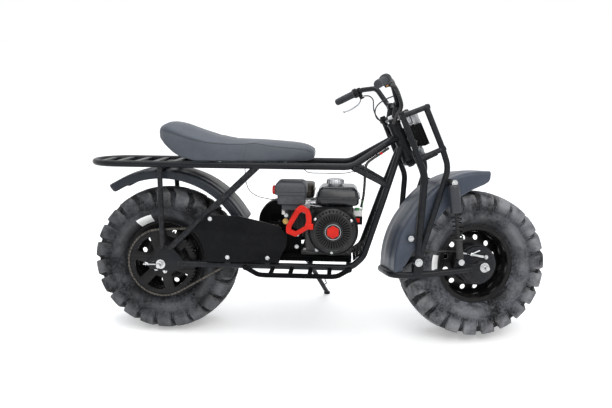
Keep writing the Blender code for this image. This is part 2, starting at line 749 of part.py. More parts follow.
def rear_frame(side):
    """Strut, diagonal and dropout plate with its axle slot, on one side."""
    y = PLATE_Y
    t = PLATE_THICKNESS
    ax, az = REAR_AXLE[0], REAR_AXLE[2]
    strut = tube(mirrored([(REAR_X + 0.0020, -RAIL_HALF_SPAN, RAIL_HEIGHT), (REAR_X + 0.0100, -y, az + STAY_RISE)], side),
                 STRUT_RADIUS, 0.0, 8)
    diagonal = tube(diagonal_path(side), DIAGONAL_RADIUS, 0.0, 8)
    outline = [(ax - 0.0450, az - 0.0220), (ax + 0.0420, az - 0.0300), (ax + 0.1000, az - 0.0160),
               (ax + 0.1000, az + 0.0160), (ax + 0.0560, az + 0.0700), (ax + 0.0200, az + 0.0840),
               (ax - 0.0050, az + 0.0840), (ax - 0.0350, az + 0.0300), (ax - 0.0450, az + 0.0220)]
    dropout = plate(outline, *sorted((side * (y - t / 2), side * (y + t / 2))))
    r = AXLE_RADIUS + GAP
    slot = [(ax - 0.0700, az - r), (ax, az - r)] + arc(ax, az, r, -67.5, 67.5, 6) + [(ax, az + r), (ax - 0.07, az + r)]
    cuts = [tube(rail_path(), RAIL_RADIUS + GAP, 0.0), tube(down_path(side), RAIL_RADIUS + GAP, 0.075),
            plate(slot, *sorted((side * (y - 0.02), side * (y + 0.02))))]
    pieces = [dropout, strut, diagonal]
    if side < 0:
        face = LOWER_HALF_SPAN + RAIL_RADIUS
        at = guard_top()
        pieces.append(box((at.x - 0.0010, -face, at.z - 0.0120),
                          (at.x + GUARD_TOP_REACH + 0.0120, GUARD_SHEET - face, at.z + 0.0120)))
        pieces.append(cylinder(at, (at.x, GUARD_SHEET / 2.0 - face, at.z), 0.0080, 8))
    return weld(pieces, cuts)


def seat():
    """Long padded seat, thick at the rear, with a raised tail.

    Stations: x, underside and crown over the rails' middle line, half width.
    """
    flat = RAIL_RADIUS + GAP
    stations = ((-0.7010, 0.127, 0.147, 0.060), (-0.6860, 0.101, 0.167, 0.100), (-0.6400, 0.063, 0.181, 0.126),
                (-0.5800, 0.030, 0.169, 0.138), (-0.5200, flat, 0.143, 0.142), (-0.4400, flat, 0.117, 0.142),
                (-0.3600, flat, 0.103, 0.138), (-0.2830, flat, 0.100, 0.132), (-0.2000, flat, 0.098, 0.124),
                (-0.1100, flat, 0.093, 0.112), (-0.0500, 0.017, 0.083, 0.098), (-0.0200, 0.025, 0.063, 0.084))
    sections = []
    for x, under, crown, w in stations:
        low, high = RAIL_HEIGHT + under, RAIL_HEIGHT + crown
        tall = high - low
        sections.append([(x, -w * 0.92, low), (x, -w, low + tall * 0.35), (x, -w * 0.96, low + tall * 0.74),
                         (x, -w * 0.72, low + tall * 0.97), (x, 0.0, high), (x, w * 0.72, low + tall * 0.97),
                         (x, w * 0.96, low + tall * 0.74), (x, w, low + tall * 0.35), (x, w * 0.92, low)])
    return loft(sections)


def fender_profile(radius, half, depth, crown):
    """Closed profile of a bent sheet channel: flat crown with eased corners and two skirts."""
    t = FENDER_SHEET
    return [(-half, radius - depth), (-half, radius - crown), (-half + crown, radius), (half - crown, radius),
            (half, radius - crown), (half, radius - depth), (half - t, radius - depth),
            (half - t, radius - crown - t * 0.4), (half - crown - t * 0.4, radius - t),
            (-half + crown + t * 0.4, radius - t), (-half + t, radius - crown - t * 0.4), (-half + t, radius - depth)]


def rear_fender():
    """Channel fender over the rear tyre, hung under the rack."""
    profile = fender_profile(REAR_FENDER_RADIUS, REAR_FENDER_HALF, REAR_FENDER_DEPTH, 0.0120)
    return turned(profile, REAR_AXLE, 12, start=math.radians(27.0), end=math.radians(126.0))


def front_fender():
    """Deep fender round the top and back of the front tyre, its skirts tapering to both ends."""
    sections = []
    steps = 16
    for k in range(steps + 1):
        share = k / steps
        angle = math.radians(79.0 + (184.0 - 79.0) * share)
        depth = 0.012 + 0.088 * math.sin(math.pi * min(1.0, share * 1.05)) ** 0.6
        profile = fender_profile(FRONT_FENDER_RADIUS, FRONT_FENDER_HALF, max(depth, 0.016), 0.0100)
        c, s = math.cos(angle), math.sin(angle)
        sections.append([(FRONT_AXLE[0] + r * c, y, FRONT_AXLE[2] + r * s) for y, r in profile])
    pieces = [loft(sections)]
    outer = FORK_HALF_SPAN - TAB_SHEET / 2.0 - GAP
    for x, z in (SHOCK_TOP, FENDER_BOLT):
        for side in (-1, 1):
            pieces.append(cylinder((x, side * (FRONT_FENDER_HALF - 0.0010), z), (x, side * outer, z), 0.0090, 8))
    return weld(pieces)


def chain_guard():
    """Guard plate on the right, hollowed round the sprocket, its top edge folded in."""
    y_out = -(LOWER_HALF_SPAN + RAIL_RADIUS + GAP)
    t = GUARD_SHEET
    z = LOWER_HEIGHT
    outline = [(-0.1560, z + 0.0160), (-0.1560, z + 0.0420), (-0.1300, z + 0.0860), (-0.1240, z + 0.1370),
               (-0.1560, z + 0.1720), (-0.2100, z + 0.1880), (-0.3340, z + 0.2160), (REAR_X + 0.2060, z + 0.2180)]
    outline += arc(*GUARD_HOLLOW, 40.0, 4.0, 6)
    sheet = plate(outline, y_out - t, y_out)
    lip = plate([(-0.2100, z + 0.1880), (-0.2100, z + 0.1850), (-0.3340, z + 0.2130), (-0.3340, z + 0.2160)],
                y_out - t, y_out + 0.012)
    return weld([sheet, lip])


def engine_plate():
    """Mounting plate of the engine, a shallow channel set on the lower rails' cross members."""
    low = LOWER_HEIGHT - 0.0010 + CROSS_RADIUS + GAP
    top = ENGINE_BASE_Z - GAP
    slab = box((-0.1920, -0.1150, top - 0.0050), (0.1470, 0.1150, top))
    pieces = [slab]
    for side in (-1, 1):
        y0, y1 = sorted((side * 0.0850, side * 0.0900))
        pieces.append(box((-0.1920, y0, low), (0.1470, y1, top - 0.0010)))
    cuts = [box((x - 0.030, -0.2, low - 0.01), (x + 0.030, 0.2, top - 0.012)) for x in (0.0500, -0.1200)]
    return weld(pieces, cuts)


def skid_plate():
    """Perforated plate between the down tubes in front of the engine."""
    foot, knee = Vector(DOWN_FOOT), Vector(DOWN_KNEE)
    a, b = foot.lerp(knee, 0.107), foot.lerp(knee, 0.668)
    w0, w1 = abs(a.y) - 0.0038, abs(b.y) - 0.0038
    a.y = b.y = 0.0
    along = (b - a).normalized()
    out = Vector((along.z, 0.0, -along.x))
    t = 0.0030
    low = [tuple(a + Vector((0, y, 0)) + out * d) for y, d in ((-w0, 0), (w0, 0), (w0, t), (-w0, t))]
    high = [tuple(b + Vector((0, y, 0)) + out * d) for y, d in ((-w1, 0), (w1, 0), (w1, t), (-w1, t))]
    body = loft([low, high])
    cuts = []
    length = (b - a).length
    for row in range(4):
        for col in range(5):
            p = a + along * (length * (row + 0.7) / 4.4) + Vector((0, (col - 2) * 0.0300, 0))
            cuts.append(cylinder(p - out * 0.01, p + out * 0.01, 0.0085, 5))
    cuts += [tube(down_path(side), RAIL_RADIUS + GAP, 0.075) for side in (-1, 1)]
    return weld([body], cuts)


def foot_step(side):
    """Ladder foot step: outer bar with bent ends and four rungs."""
    edge = LOWER_HALF_SPAN + RAIL_RADIUS + GAP
    z = LOWER_HEIGHT - 0.0060
    bar = tube(mirrored([(-0.3040, -(edge - 0.01), z), (-0.2300, -0.2600, z), (0.0850, -0.2600, z),
                         (0.1380, -(edge - 0.01), z)], side), 0.0100, 0.045, 6)
    pieces = [bar]
    for x in (-0.1850, -0.1050, -0.0250, 0.0550):
        ys = sorted((side * (edge - 0.01), side * 0.2600))
        pieces.append(box((x - 0.0090, ys[0], z - 0.0030), (x + 0.0090, ys[1], z + 0.0030)))
    rail = cylinder((-0.50, side * LOWER_HALF_SPAN, LOWER_HEIGHT), (0.30, side * LOWER_HALF_SPAN, LOWER_HEIGHT),
                    RAIL_RADIUS + GAP, 10)
    tube_cut = tube(down_path(side), RAIL_RADIUS + GAP, 0.075)
    return weld(pieces, [rail, tube_cut])


def engine_block():
    """Crankcase with feet, sloping finned cylinder and head."""
    z0 = ENGINE_BASE_Z
    case = box((-0.0550, -0.0900, z0 + 0.0100), (0.1500, 0.0850, HEAD_TOP_Z - 0.0020), 0.012)
    foot = box((-0.0700, -0.0950, z0), (0.1400, 0.0900, z0 + 0.0160))
    nose = cylinder((CRANK_X, 0.0700, CRANK_Z), (CRANK_X, CLUTCH_INNER_Y - GAP, CRANK_Z), 0.0480, 16)
    switch = box((0.1480, -0.0900, SWITCH_TOP_Z - 0.0630), (SWITCH_X, -0.0300, SWITCH_TOP_Z), 0.006)
    pieces = [case, foot, nose, switch]
    for k in range(6):
        x = -0.0620 - 0.0130 * k
        pieces.append(box((x - 0.0035, -0.0720, z0 + 0.0720 + 0.0040 * k), (x + 0.0035, 0.0720, HEAD_TOP_Z - 0.0050)))
    pieces.append(box((-0.1400, -0.0520, z0 + 0.1040), (-0.0500, 0.0520, HEAD_TOP_Z)))
    return weld(pieces)


def blower_housing():
    """Fan cover: a round shroud that blends into a square top, with a slotted round grille."""
    face = BLOWER_FACE_Y
    back = -0.0905
    outline = arc(CRANK_X, CRANK_Z, BLOWER_RADIUS, 40.0, -230.0, 20)
    outline += [(CRANK_X - 0.1020, HEAD_TOP_Z), (CRANK_X + 0.0530, HEAD_TOP_Z)]
    body = plate(outline, face + 0.0160, back)
    rim_ring = cylinder((CRANK_X, face + 0.0300, CRANK_Z), (CRANK_X, face, CRANK_Z), BLOWER_RADIUS - 0.0100, 28,
                        GRILLE_RADIUS + 0.0080)
    cuts = []
    for k in range(18):
        a = math.tau * k / 18
        mid = Vector((CRANK_X + 0.0560 * math.cos(a), 0, CRANK_Z + 0.0560 * math.sin(a)))
        bar = box((-0.0140, face - 0.01, -0.0026), (0.0140, face + 0.0060, 0.0026))
        bar.data.transform(Matrix.Translation(mid) @ Matrix.Rotation(-a, 4, "Y"))
        cuts.append(bar)
    return weld([body, rim_ring], cuts)


def recoil_handle():
    """D-shaped pull handle beside the fan cover, with the stub its rope comes out of."""
    y_mid, half = BLOWER_FACE_Y + 0.0070, 0.0065
    outer = [(CRANK_X + x, CRANK_Z + z) for x, z in
             ((-0.1070, 0.0160), (-0.1070, 0.0780), (-0.1250, 0.1080), (-0.1470, 0.1040), (-0.1870, 0.0100),
              (-0.1730, -0.0200), (-0.1490, -0.0220))]
    middle = Vector((CRANK_X - 0.1430, 0.0, CRANK_Z + 0.0410))
    rings = []
    for share in (1.0, 0.62):
        corners = [middle + (Vector((x, 0.0, z)) - middle) * share for x, z in outer]
        ring = bent([corners[-1]] + corners + [corners[0]], 0.012, 2)[1:-1]
        rings.append([(p.x, p.z) for p in ring])
    loop = plate(rings[0], y_mid - half, y_mid + half)
    combine(loop, [plate(rings[1], y_mid - 0.03, y_mid + 0.03)], "DIFFERENCE")
    stub = cylinder((CRANK_X - 0.1150, y_mid, CRANK_Z + 0.0190),
                    (CRANK_X - BLOWER_RADIUS + 0.001, y_mid + 0.0330, CRANK_Z + 0.0180), 0.0085, 8)
    cut = cylinder((CRANK_X, BLOWER_FACE_Y - 0.01, CRANK_Z), (CRANK_X, -0.08, CRANK_Z), BLOWER_RADIUS + GAP, 48)
    return weld([loop, stub], [cut])


def fuel_tank():
    """Tank over the engine with a seam flange and a round cap."""
    z = HEAD_TOP_Z
    low = box((-0.0040, -0.1420, z + GAP), (0.1690, 0.0300, z + 0.0360), 0.014, 2)
    high = box((-0.0040, -0.1420, z + 0.0320), (0.1690, 0.0300, z + 0.0800), 0.018, 2)
    seam = box((-0.0090, -0.1470, z + 0.0310), (0.1740, 0.0350, z + 0.0370))
    neck = cylinder((0.0720, -0.0560, z + 0.0750), (0.0720, -0.0560, z + 0.0880), 0.0200, 16)
    cap = cylinder((0.0720, -0.0560, z + 0.0860), (0.0720, -0.0560, z + 0.1080), 0.0290, 16, 0.0260)
    return weld([low, high, seam, neck, cap])


def air_box():
    """Air cleaner: case, cover and its round knob."""
    z = HEAD_TOP_Z
    case = box((-0.1680, -0.1500, z + 0.0060), (-0.0500, -0.0300, z + 0.0500), 0.010)
    cover = box((-0.1780, -0.1560, z + 0.0460), (-0.0460, -0.0240, z + 0.1020), 0.016, 2)
    duct = box((-0.1100, -0.0750, z + GAP), (-0.0700, -0.0400, z + 0.0100))
    knob = cylinder((-0.1760, -0.0900, z + 0.0600), (-0.1900, -0.0900, z + 0.0600), 0.0130, 12)
    return weld([case, cover, duct, knob])


def muffler():
    """Box muffler on the clutch side with its pipe and slotted heat shield."""
    z = HEAD_TOP_Z
    can = box((-0.1600, 0.0000, z + 0.0100), (-0.0200, 0.1150, z + 0.0980), 0.016, 2)
    pipe = cylinder((-0.1150, 0.0350, z + GAP), (-0.1150, 0.0350, z + 0.0150), 0.0160, 12)
    outlet = cylinder((-0.1560, 0.0800, z + 0.0350), (-0.1820, 0.0800, z + 0.0250), 0.0120, 10)
    return weld([can, pipe, outlet])


def clutch_cover():
    """Long housing of the belt clutch on the left, between crankshaft and jackshaft."""
    span = Vector((DRIVE_X - CRANK_X, DRIVE_Z - CRANK_Z))
    base = math.degrees(math.atan2(span.y, span.x))
    big, small = 0.1000, 0.0900
    outline = arc(DRIVE_X, DRIVE_Z, big, base - 88.0, base + 88.0, 10)
    outline += arc(CRANK_X, CRANK_Z, small, base + 92.0, base + 268.0, 10)
    body = plate(outline, CLUTCH_INNER_Y, CLUTCH_OUTER_Y)
    boss = cylinder((DRIVE_X, CLUTCH_OUTER_Y - 0.002, DRIVE_Z), (DRIVE_X, CLUTCH_OUTER_Y + 0.010, DRIVE_Z), 0.0600, 16,
                    0.0500)
    return weld([body, boss])


def rear_axle():
    """Through axle with nuts and washers outside the dropout plates."""
    x, z = REAR_AXLE[0], REAR_AXLE[2]
    bar = cylinder((x, -AXLE_HALF_LENGTH, z), (x, AXLE_HALF_LENGTH, z), AXLE_RADIUS, 12)
    pieces = [bar]
    seat_y = PLATE_Y + PLATE_THICKNESS / 2.0 + GAP
    for side in (-1, 1):
        pieces.append(cylinder((x, side * seat_y, z), (x, side * (seat_y + 0.0030), z), NUT_RADIUS + 0.004, 12))
        pieces.append(cylinder((x, side * (seat_y + 0.0020), z), (x, side * (seat_y + 0.0160), z), NUT_RADIUS, 6))
    return weld(pieces)


def smooth_path(points, count):
    """Points at even parameter steps on a smooth curve through a route's points."""
    pts = [Vector(p) for p in points]
    pts = [pts[0] * 2.0 - pts[1]] + pts + [pts[-1] * 2.0 - pts[-2]]
    out = []
    spans = len(pts) - 3
    for k in range(count):
        u = spans * k / (count - 1)
        i = min(int(u), spans - 1)
        t = u - i
        a, b, c, d = pts[i], pts[i + 1], pts[i + 2], pts[i + 3]
        out.append(0.5 * (b * 2.0 + (c - a) * t + (a * 2.0 - b * 5.0 + c * 4.0 - d) * t ** 2
                          + (b * 3.0 - a - c * 3.0 + d) * t ** 3))
    return out


def wiring_harness():
    """Loom clipped under the right upper rail, then down to the switch box in front of the engine."""
    r = LOOM_RADIUS
    head = Vector(RAIL_NECK)
    bend = Vector((RAIL_BEND_X, -RAIL_HALF_SPAN, RAIL_HEIGHT))
    along = (bend - head).normalized()
    under = (Vector((0.0, 0.0, -1.0)) + along * along.z).normalized() * (RAIL_RADIUS + r + GAP + 0.0014)
    route = [head.lerp(bend, share) + under for share in (0.12, 0.24, 0.36, 0.48)]
    route += [(0.2070, -0.0800, 0.7320), (0.1980, -0.0720, 0.6800), (0.1900, -0.0660, 0.6200),
              (SWITCH_X - 0.0040, -0.0610, SWITCH_TOP_Z + 0.0300), (SWITCH_X - 0.0080, -0.0600, SWITCH_TOP_Z + 0.0080),
              (SWITCH_X - 0.0080, -0.0600, SWITCH_TOP_Z + 2.0 * GAP)]
    return tube(smooth_path(route, 22), r, 0.0, 6)


def fork_path_rear(side):
    """Rear tube of one side frame of the fork, from its top down to the pivot eye."""
    y = FORK_HALF_SPAN
    return mirrored(offset_x(FRONT_X, [(-0.3660, -y, 0.9580), (-0.2940, -y, 0.7900), (-0.2570, -y, 0.7000),
                                       (-ARM_SETBACK, -y, ARM_PIVOT_Z)]), side)


def fork_tubes(side, extra=0.0):
    """The four tubes of one side frame, made thicker by extra when they serve as cutters."""
    y = FORK_HALF_SPAN
    rear = fork_path_rear(side)
    front = mirrored(offset_x(FRONT_X, [(-0.2580, -y, 0.9780), (-0.1850, -y, 0.8120), (-0.1580, -y, 0.7330),
                                        (0.004 - ARM_SETBACK, -y, ARM_PIVOT_Z)]), side)
    top = mirrored(offset_x(FRONT_X, [(-0.3740, -y, 0.9370), (-0.2460, -y, 0.9850)]), side)
    mid = mirrored(offset_x(FRONT_X, [(-0.2920, -y, 0.7660), (-0.1740, -y, 0.8160)]), side)
    return [tube(rear, FORK_RADIUS + extra, FORK_BEND, 8), tube(front, FORK_RADIUS + extra, FORK_BEND, 8),
            tube(top, YOKE_RADIUS + extra, 0.0, 8), tube(mid, YOKE_RADIUS + extra, 0.0, 8)]


def fork_stem():
    """Steering stem with the top and bottom yokes that carry the side frames."""
    stem = cylinder(axis_point(-0.0120), axis_point(HEAD_TUBE_LENGTH + 0.0180), STEM_RADIUS, 20)
    pieces = [stem]
    y = FORK_HALF_SPAN
    for s, depth in ((YOKE_LOW_S, YOKE_LOW_DEPTH), (HEAD_TUBE_LENGTH + YOKE_RISE, YOKE_TOP_DEPTH)):
        n = axis_point(1.0) - axis_point(0.0)
        shape = [(0.0120, -y), (-0.0250, -0.0220), (-0.0250, 0.0220), (0.0120, y), (0.0880, y), (0.0880, -y)]
        base = [axis_point(s, f) + Vector((0.0, v, 0.0)) - n * depth / 2.0 for f, v in shape]
        pieces.append(loft([base, [p + n * depth for p in base]]))
    return weld(pieces, fork_tubes(-1, GAP) + fork_tubes(1, GAP))


def fork_frame(side):
    """Closed side frame of the fork: two tubes joined at top, middle and the lower pivot eye."""
    y = FORK_HALF_SPAN
    eye = (ARM_PIVOT_X, ARM_PIVOT_Z)
    half = TAB_SHEET / 2.0
    ys = sorted((side * (y - half), side * (y + half)))
    sx, sz = SHOCK_TOP
    tabs = [plate([(sx - 0.0380, sz - 0.0130), (sx + 0.0060, sz - 0.0150), (sx + 0.0150, sz),
                   (sx + 0.0060, sz + 0.0150), (sx - 0.0300, sz + 0.0190)], *ys)]
    bx, bz = FENDER_BOLT
    tabs.append(plate([(bx - 0.0110, bz - 0.0110), (bx + 0.0370, bz - 0.0110), (bx + 0.0390, bz + 0.0110),
                       (bx - 0.0110, bz + 0.0110)], *ys))
    hub = cylinder((eye[0], side * (y - 0.0130), eye[1]), (eye[0], side * (y + 0.0130), eye[1]), 0.0180, 12)
    bore = cylinder((eye[0], side * (y - 0.05), eye[1]), (eye[0], side * (y + 0.05), eye[1]), 0.0065, 8)
    return weld([hub] + fork_tubes(side) + tabs, [bore])


def swing_arm():
    """Leading arm: one bent tube round the back of the front tyre, with lugs and axle plates."""
    y = FORK_HALF_SPAN
    right = offset_x(FRONT_X, [(-0.0580, -0.1500, 0.3110), (-0.2350, -0.1420, 0.2950), (-0.3850, -0.1180, 0.2860)])
    left = [(x, -v, z) for x, v, z in reversed(right)]
    loop = tube(right + left, ARM_RADIUS, 0.075, 8, 2)
    pieces = [loop]
    x, z = FRONT_AXLE[0], FRONT_AXLE[2]
    for side in (-1, 1):
        for v in (y - 0.0133 - GAP - 0.0050, y + 0.0130 + GAP):
            ys = sorted((side * v, side * (v + 0.0050)))
            outline = offset_x(ARM_PIVOT_X, [(-0.0200, 0.2860), (0.0200, 0.2860), (0.0180, 0.3520), (0.0100, 0.3620),
                                             (-0.0100, 0.3620), (-0.0180, 0.3520)])
            pieces.append(plate(outline, *ys))
        pieces.append(cylinder((ARM_PIVOT_X, side * (y - 0.0200), ARM_PIVOT_Z),
                               (ARM_PIVOT_X, side * (y + 0.0260), ARM_PIVOT_Z), 0.0060, 8))
        ys = sorted((side * 0.1460, side * 0.1540))
        tab = [(x - 0.0800, z - 0.0180), (x, z - 0.0220)] + arc(x, z, 0.0220, -60.0, 60.0, 4)
        tab += [(x, z + 0.0220), (x - 0.0800, z + 0.0100)]
        pieces.append(plate(tab, *ys))
        ear = offset_x(SHOCK_FOOT[0], [(-0.0210, 0.3080), (0.0210, 0.3120), (0.0130, 0.3560), (-0.0130, 0.3560)])
        ys = sorted((side * SHOCK_EAR_Y, side * (SHOCK_EAR_Y - 0.0045)))
        pieces.append(plate(ear, *ys))
    cuts = [cylinder((x, -0.2, z), (x, 0.2, z), AXLE_RADIUS + GAP, 12)]
    return weld(pieces, cuts)


def shock(side):
    """Spring strut: covered top, open coil band and lower tube."""
    y = side * SHOCK_Y
    top = Vector((SHOCK_TOP[0], y, SHOCK_TOP[1]))
    low = Vector((SHOCK_FOOT[0], y, SHOCK_FOOT[1]))
    line = low - top
    pieces = [cylinder(top + line * 0.02, top + line * 0.36, SHOCK_COVER_RADIUS, 10)]
    pieces.append(cylinder(top + line * 0.34, top + line * 0.985, SHOCK_TUBE_RADIUS + 0.002, 8))
    for k in range(5):
        s = 0.405 + 0.062 * k
        pieces.append(cylinder(top + line * (s - 0.011), top + line * (s + 0.011), SHOCK_SPRING_RADIUS, 8))
    bolt_in = side * (FORK_HALF_SPAN + TAB_SHEET / 2.0 + GAP)
    pieces.append(cylinder((top.x, bolt_in, top.z), (top.x, y + side * 0.0160, top.z), 0.0110, 8))
    pieces.append(cylinder((low.x, side * (SHOCK_EAR_Y + GAP), low.z), (low.x, y + side * 0.0170, low.z), 0.0120, 8))
    return weld(pieces)


def front_axle():
    """Front axle with nuts and the brake plate that closes the drum."""
    x, z = FRONT_AXLE[0], FRONT_AXLE[2]
    pieces = [cylinder((x, -AXLE_HALF_LENGTH, z), (x, AXLE_HALF_LENGTH, z), AXLE_RADIUS, 12)]
    seat_y = 0.1540 + GAP
    for side in (-1, 1):
        pieces.append(cylinder((x, side * seat_y, z), (x, side * (seat_y + 0.0140), z), NUT_RADIUS, 6))
        pieces.append(cylinder((x, side * (0.1460 - GAP), z), (x, side * 0.1200, z), NUT_RADIUS, 12))
    pieces.append(cylinder((x, -0.1300, z), (x, -0.0860, z), 0.0220, 12))
    pieces.append(cylinder((x, -0.0900, z), (x, -0.0860, z), DRUM_RADIUS - 0.007, 16))
    lever = [(x - 0.0400, z + 0.0420), (x + 0.0350, z + 0.0300), (x + 0.0370, z + 0.0390), (x - 0.0380, z + 0.0520)]
    pieces.append(plate(lever, -0.0980, -0.0890))
    return weld(pieces)


def headlight():
    """Slim lamp block with cooling ribs, held by a bracket above and below."""
    n = (axis_point(1.0) - axis_point(0.0)).normalized()
    f = (axis_point(0.0, 1.0) - axis_point(0.0)).normalized()
    centre = axis_point(LAMP_S, 0.0680)

    def block(lo, hi, bevel=0.0):
        piece = box(lo, hi, bevel)
        m = Matrix((f, (0, 1, 0), n)).transposed().to_4x4()
        piece.data.transform(Matrix.Translation(centre) @ m)
        return piece

    pieces = [block((-0.0080, -0.0780, -0.0420), (0.0200, 0.0780, 0.0420), 0.006)]
    for k in range(7):
        z = -0.0360 + 0.0120 * k
        pieces.append(block((-0.0160, -0.0740, z - 0.0025), (-0.0060, 0.0740, z + 0.0025)))
    low_end = YOKE_LOW_S + YOKE_LOW_DEPTH / 2.0 + GAP - LAMP_S
    high_end = HEAD_TUBE_LENGTH + YOKE_RISE - YOKE_TOP_DEPTH / 2.0 - GAP - LAMP_S
    pieces.append(block((-0.0040, -0.0300, low_end), (0.0020, 0.0300, -0.0410)))
    pieces.append(block((-0.0040, -0.0300, 0.0410), (0.0020, 0.0300, high_end)))
    return weld(pieces)


BAR_RADIUS = 0.0111
GRIP_RADIUS = 0.0165


def bar_points(side):
    """Half of the handlebar from the clamp to its tip."""
    x, _, z = BAR_CLAMP
    return mirrored([BAR_CLAMP, (x, -0.0600, z), (x - 0.0450, -0.1150, z + 0.0870),
                     (x - 0.0900, -0.1900, z + 0.0870), (x - 0.1670, -0.3350, z + 0.0470)], side)


def handlebar():
    """Bent bar with its two risers on the top yoke."""
    right = bar_points(-1)
    left = list(reversed(bar_points(1)))[:-1]
    bar = tube(right[::-1][:-1] + [BAR_CLAMP] + left[::-1], BAR_RADIUS, 0.04, 8, 2)
    pieces = [bar]
    for side in (-1, 1):
        low = axis_point(HEAD_TUBE_LENGTH + YOKE_RISE + YOKE_TOP_DEPTH / 2.0 + GAP, 0.0)
        pieces.append(cylinder((low.x, side * 0.0400, low.z), (BAR_CLAMP[0], side * 0.0400, BAR_CLAMP[2]), 0.0130, 10))
    n = axis_point(1.0) - axis_point(0.0)
    top = axis_point(HEAD_TUBE_LENGTH + YOKE_RISE + YOKE_TOP_DEPTH / 2.0 + GAP)
    cut = cylinder(top - n * 0.03, top, 0.12, 16)
    return weld(pieces, [cut])


def grip(side):
    """Rubber grip over the bar's end, with the switch and lever housing at its inner end."""
    tip = Vector(bar_points(side)[-1])
    inner = Vector(bar_points(side)[-2])
    line = (inner - tip).normalized()
    sleeve = cylinder(tip - line * 0.006, tip + line * 0.120, GRIP_RADIUS, 14)
    collar = cylinder(tip + line * 0.118, tip + line * 0.128, GRIP_RADIUS + 0.006, 14)
    cut = cylinder(tip - line * 0.0003, tip + line * 0.25, BAR_RADIUS + GAP, 20)
    pieces = [sleeve, collar]
    if side < 0:
        pieces.append(cylinder(tip + line * 0.126, tip + line * 0.158, 0.0220, 12))
    return weld(pieces, [cut])


def brake_lever():
    """Lever perch clamped on the left of the bar, with its bent lever."""
    tip = Vector(bar_points(1)[-1])
    inner = Vector(bar_points(1)[-2])
    line = (inner - tip).normalized()
    clamp = cylinder(tip + line * 0.132, tip + line * 0.154, 0.0170, 12)
    down = Vector((0.55, 0.0, -0.83)).normalized()
    knee = tip + line * 0.143 + down * 0.030
    stalk = cylinder(tip + line * 0.143 + down * 0.012, knee + down * 0.006, 0.0100, 8)
    blade = tube([knee, knee - line * 0.040 + down * 0.022, knee - line * 0.105 + down * 0.030,
                  knee - line * 0.145 + down * 0.026], 0.0045, 0.03, 6, 2)
    cut = cylinder(tip, tip + line * 0.25, BAR_RADIUS + GAP, 20)
    return weld([clamp, stalk, blade], [cut])


def brake_cable():
    """Brake cable: a loop from the lever to the left fork tube, across the head, down to the drum."""
    tip = Vector(bar_points(1)[-1])
    inner = Vector(bar_points(1)[-2])
    line = (inner - tip).normalized()
    down = Vector((0.55, 0.0, -0.83)).normalized()
    start = tip + line * (0.143 + 0.0115 + GAP) + down * 0.0260
    hold = (FORK_RADIUS + CABLE_RADIUS + GAP) * 0.7071
    y = FORK_HALF_SPAN - hold
    rear = bent(fork_path_rear(1), FORK_BEND)

    def beside(z, side, inset=0.0):
        low = [p for p in rear if p.z <= z][0]
        high = [p for p in rear if p.z > z][-1]
        share = (z - low.z) / (high.z - low.z)
        return (low.x + (high.x - low.x) * share - hold * 1.14, side * (y - inset), z)

    def ahead(s, v, f=0.0440):
        p = axis_point(s, f)
        return (p.x, v, p.z)

    route = [start, start + line * 0.0300 + Vector((0.0080, 0.0, -0.0100)),
             (FRONT_X - 0.4000, 0.1500, 1.0270), (FRONT_X - 0.4220, 0.1400, 0.9990), beside(0.9500, 1, 0.0050), beside(0.9200, 1, 0.0030), beside(0.8800, 1),
             ahead(0.0850, 0.0720, 0.0400), ahead(0.0780, 0.0), ahead(0.0700, -0.0720, 0.0400), beside(0.8100, -1),
             beside(0.7700, -1), beside(0.7000, -1), beside(0.6400, -1), beside(0.5200, -1), beside(0.4300, -1),
             (FRONT_X - 0.2820, -0.1110, 0.3950), (FRONT_X - 0.2000, -0.1100, 0.3840),
             (FRONT_X - 0.1200, -0.1060, 0.3820), (FRONT_X - 0.0520, -0.0960, FRONT_AXLE[2] + 0.0500)]
    return tube(smooth_path(route, 58), CABLE_RADIUS, 0.0, 6)


def side_stand(foot, up):
    """Stand leg from its pivot eye to a flat foot on the ground, with a wire loop to kick it by."""
    a = stand_axis()
    p = Vector(STAND_PIVOT)
    eye = cylinder(p - a * STAND_EYE_HALF, p + a * STAND_EYE_HALF, STAND_EYE_RADIUS, 12)
    line = (foot - p).normalized()
    neck = cylinder(p + line * 0.0100, p + line * (STAND_EYE_RADIUS + 0.0080), STAND_EYE_HALF - GAP, 8)
    leg = tube([p + line * (STAND_EYE_RADIUS + 0.0030), foot + up * 0.0060], STAND_RADIUS, 0.0, 8)
    sole = cylinder(foot, foot + up * 0.0070, STAND_FOOT_RADIUS, 12)
    under = cylinder(foot - up * 0.0400, foot, 0.0600, 16)
    length = (foot - p).length
    front = (Vector((1.0, 0.0, 0.0)) - line * line.x).normalized()
    low, high = p + line * (length * 0.78), p + line * (length * 0.58)
    loop = tube([low, low + front * 0.0260 - line * 0.0150, high + front * 0.0300, high + front * 0.0180, high],
                0.0022, 0.010, 6, 1)
    bore = cylinder(p - a * 0.02, p + a * 0.02, STAND_BOLT_RADIUS + 2.0 * GAP, 8)
    return weld([eye, neck, leg, sole, loop], [under, bore])


def lowest(item):
    """Lowest point of a piece in the world."""
    return min((item.matrix_world @ v.co).z for v in item.data.vertices)


def rest_on_ground(bike, front, rear):
    """Lean the machine and set its pitch and height so that both tyres touch the ground."""
    pitch = 0.0
    height = 0.0
    for _ in range(6):
        bike.rotation_euler = (-LEAN, pitch, 0.0)
        bike.location.z = height
        bpy.context.view_layer.update()
        z_front, z_rear = lowest(front), lowest(rear)
        pitch += math.atan((z_front - z_rear) / WHEELBASE)
        height -= z_rear
    bike.rotation_euler = (-LEAN, pitch, 0.0)
    bpy.context.view_layer.update()
    bike.location.z -= min(lowest(front), lowest(rear))
    bpy.context.view_layer.update()


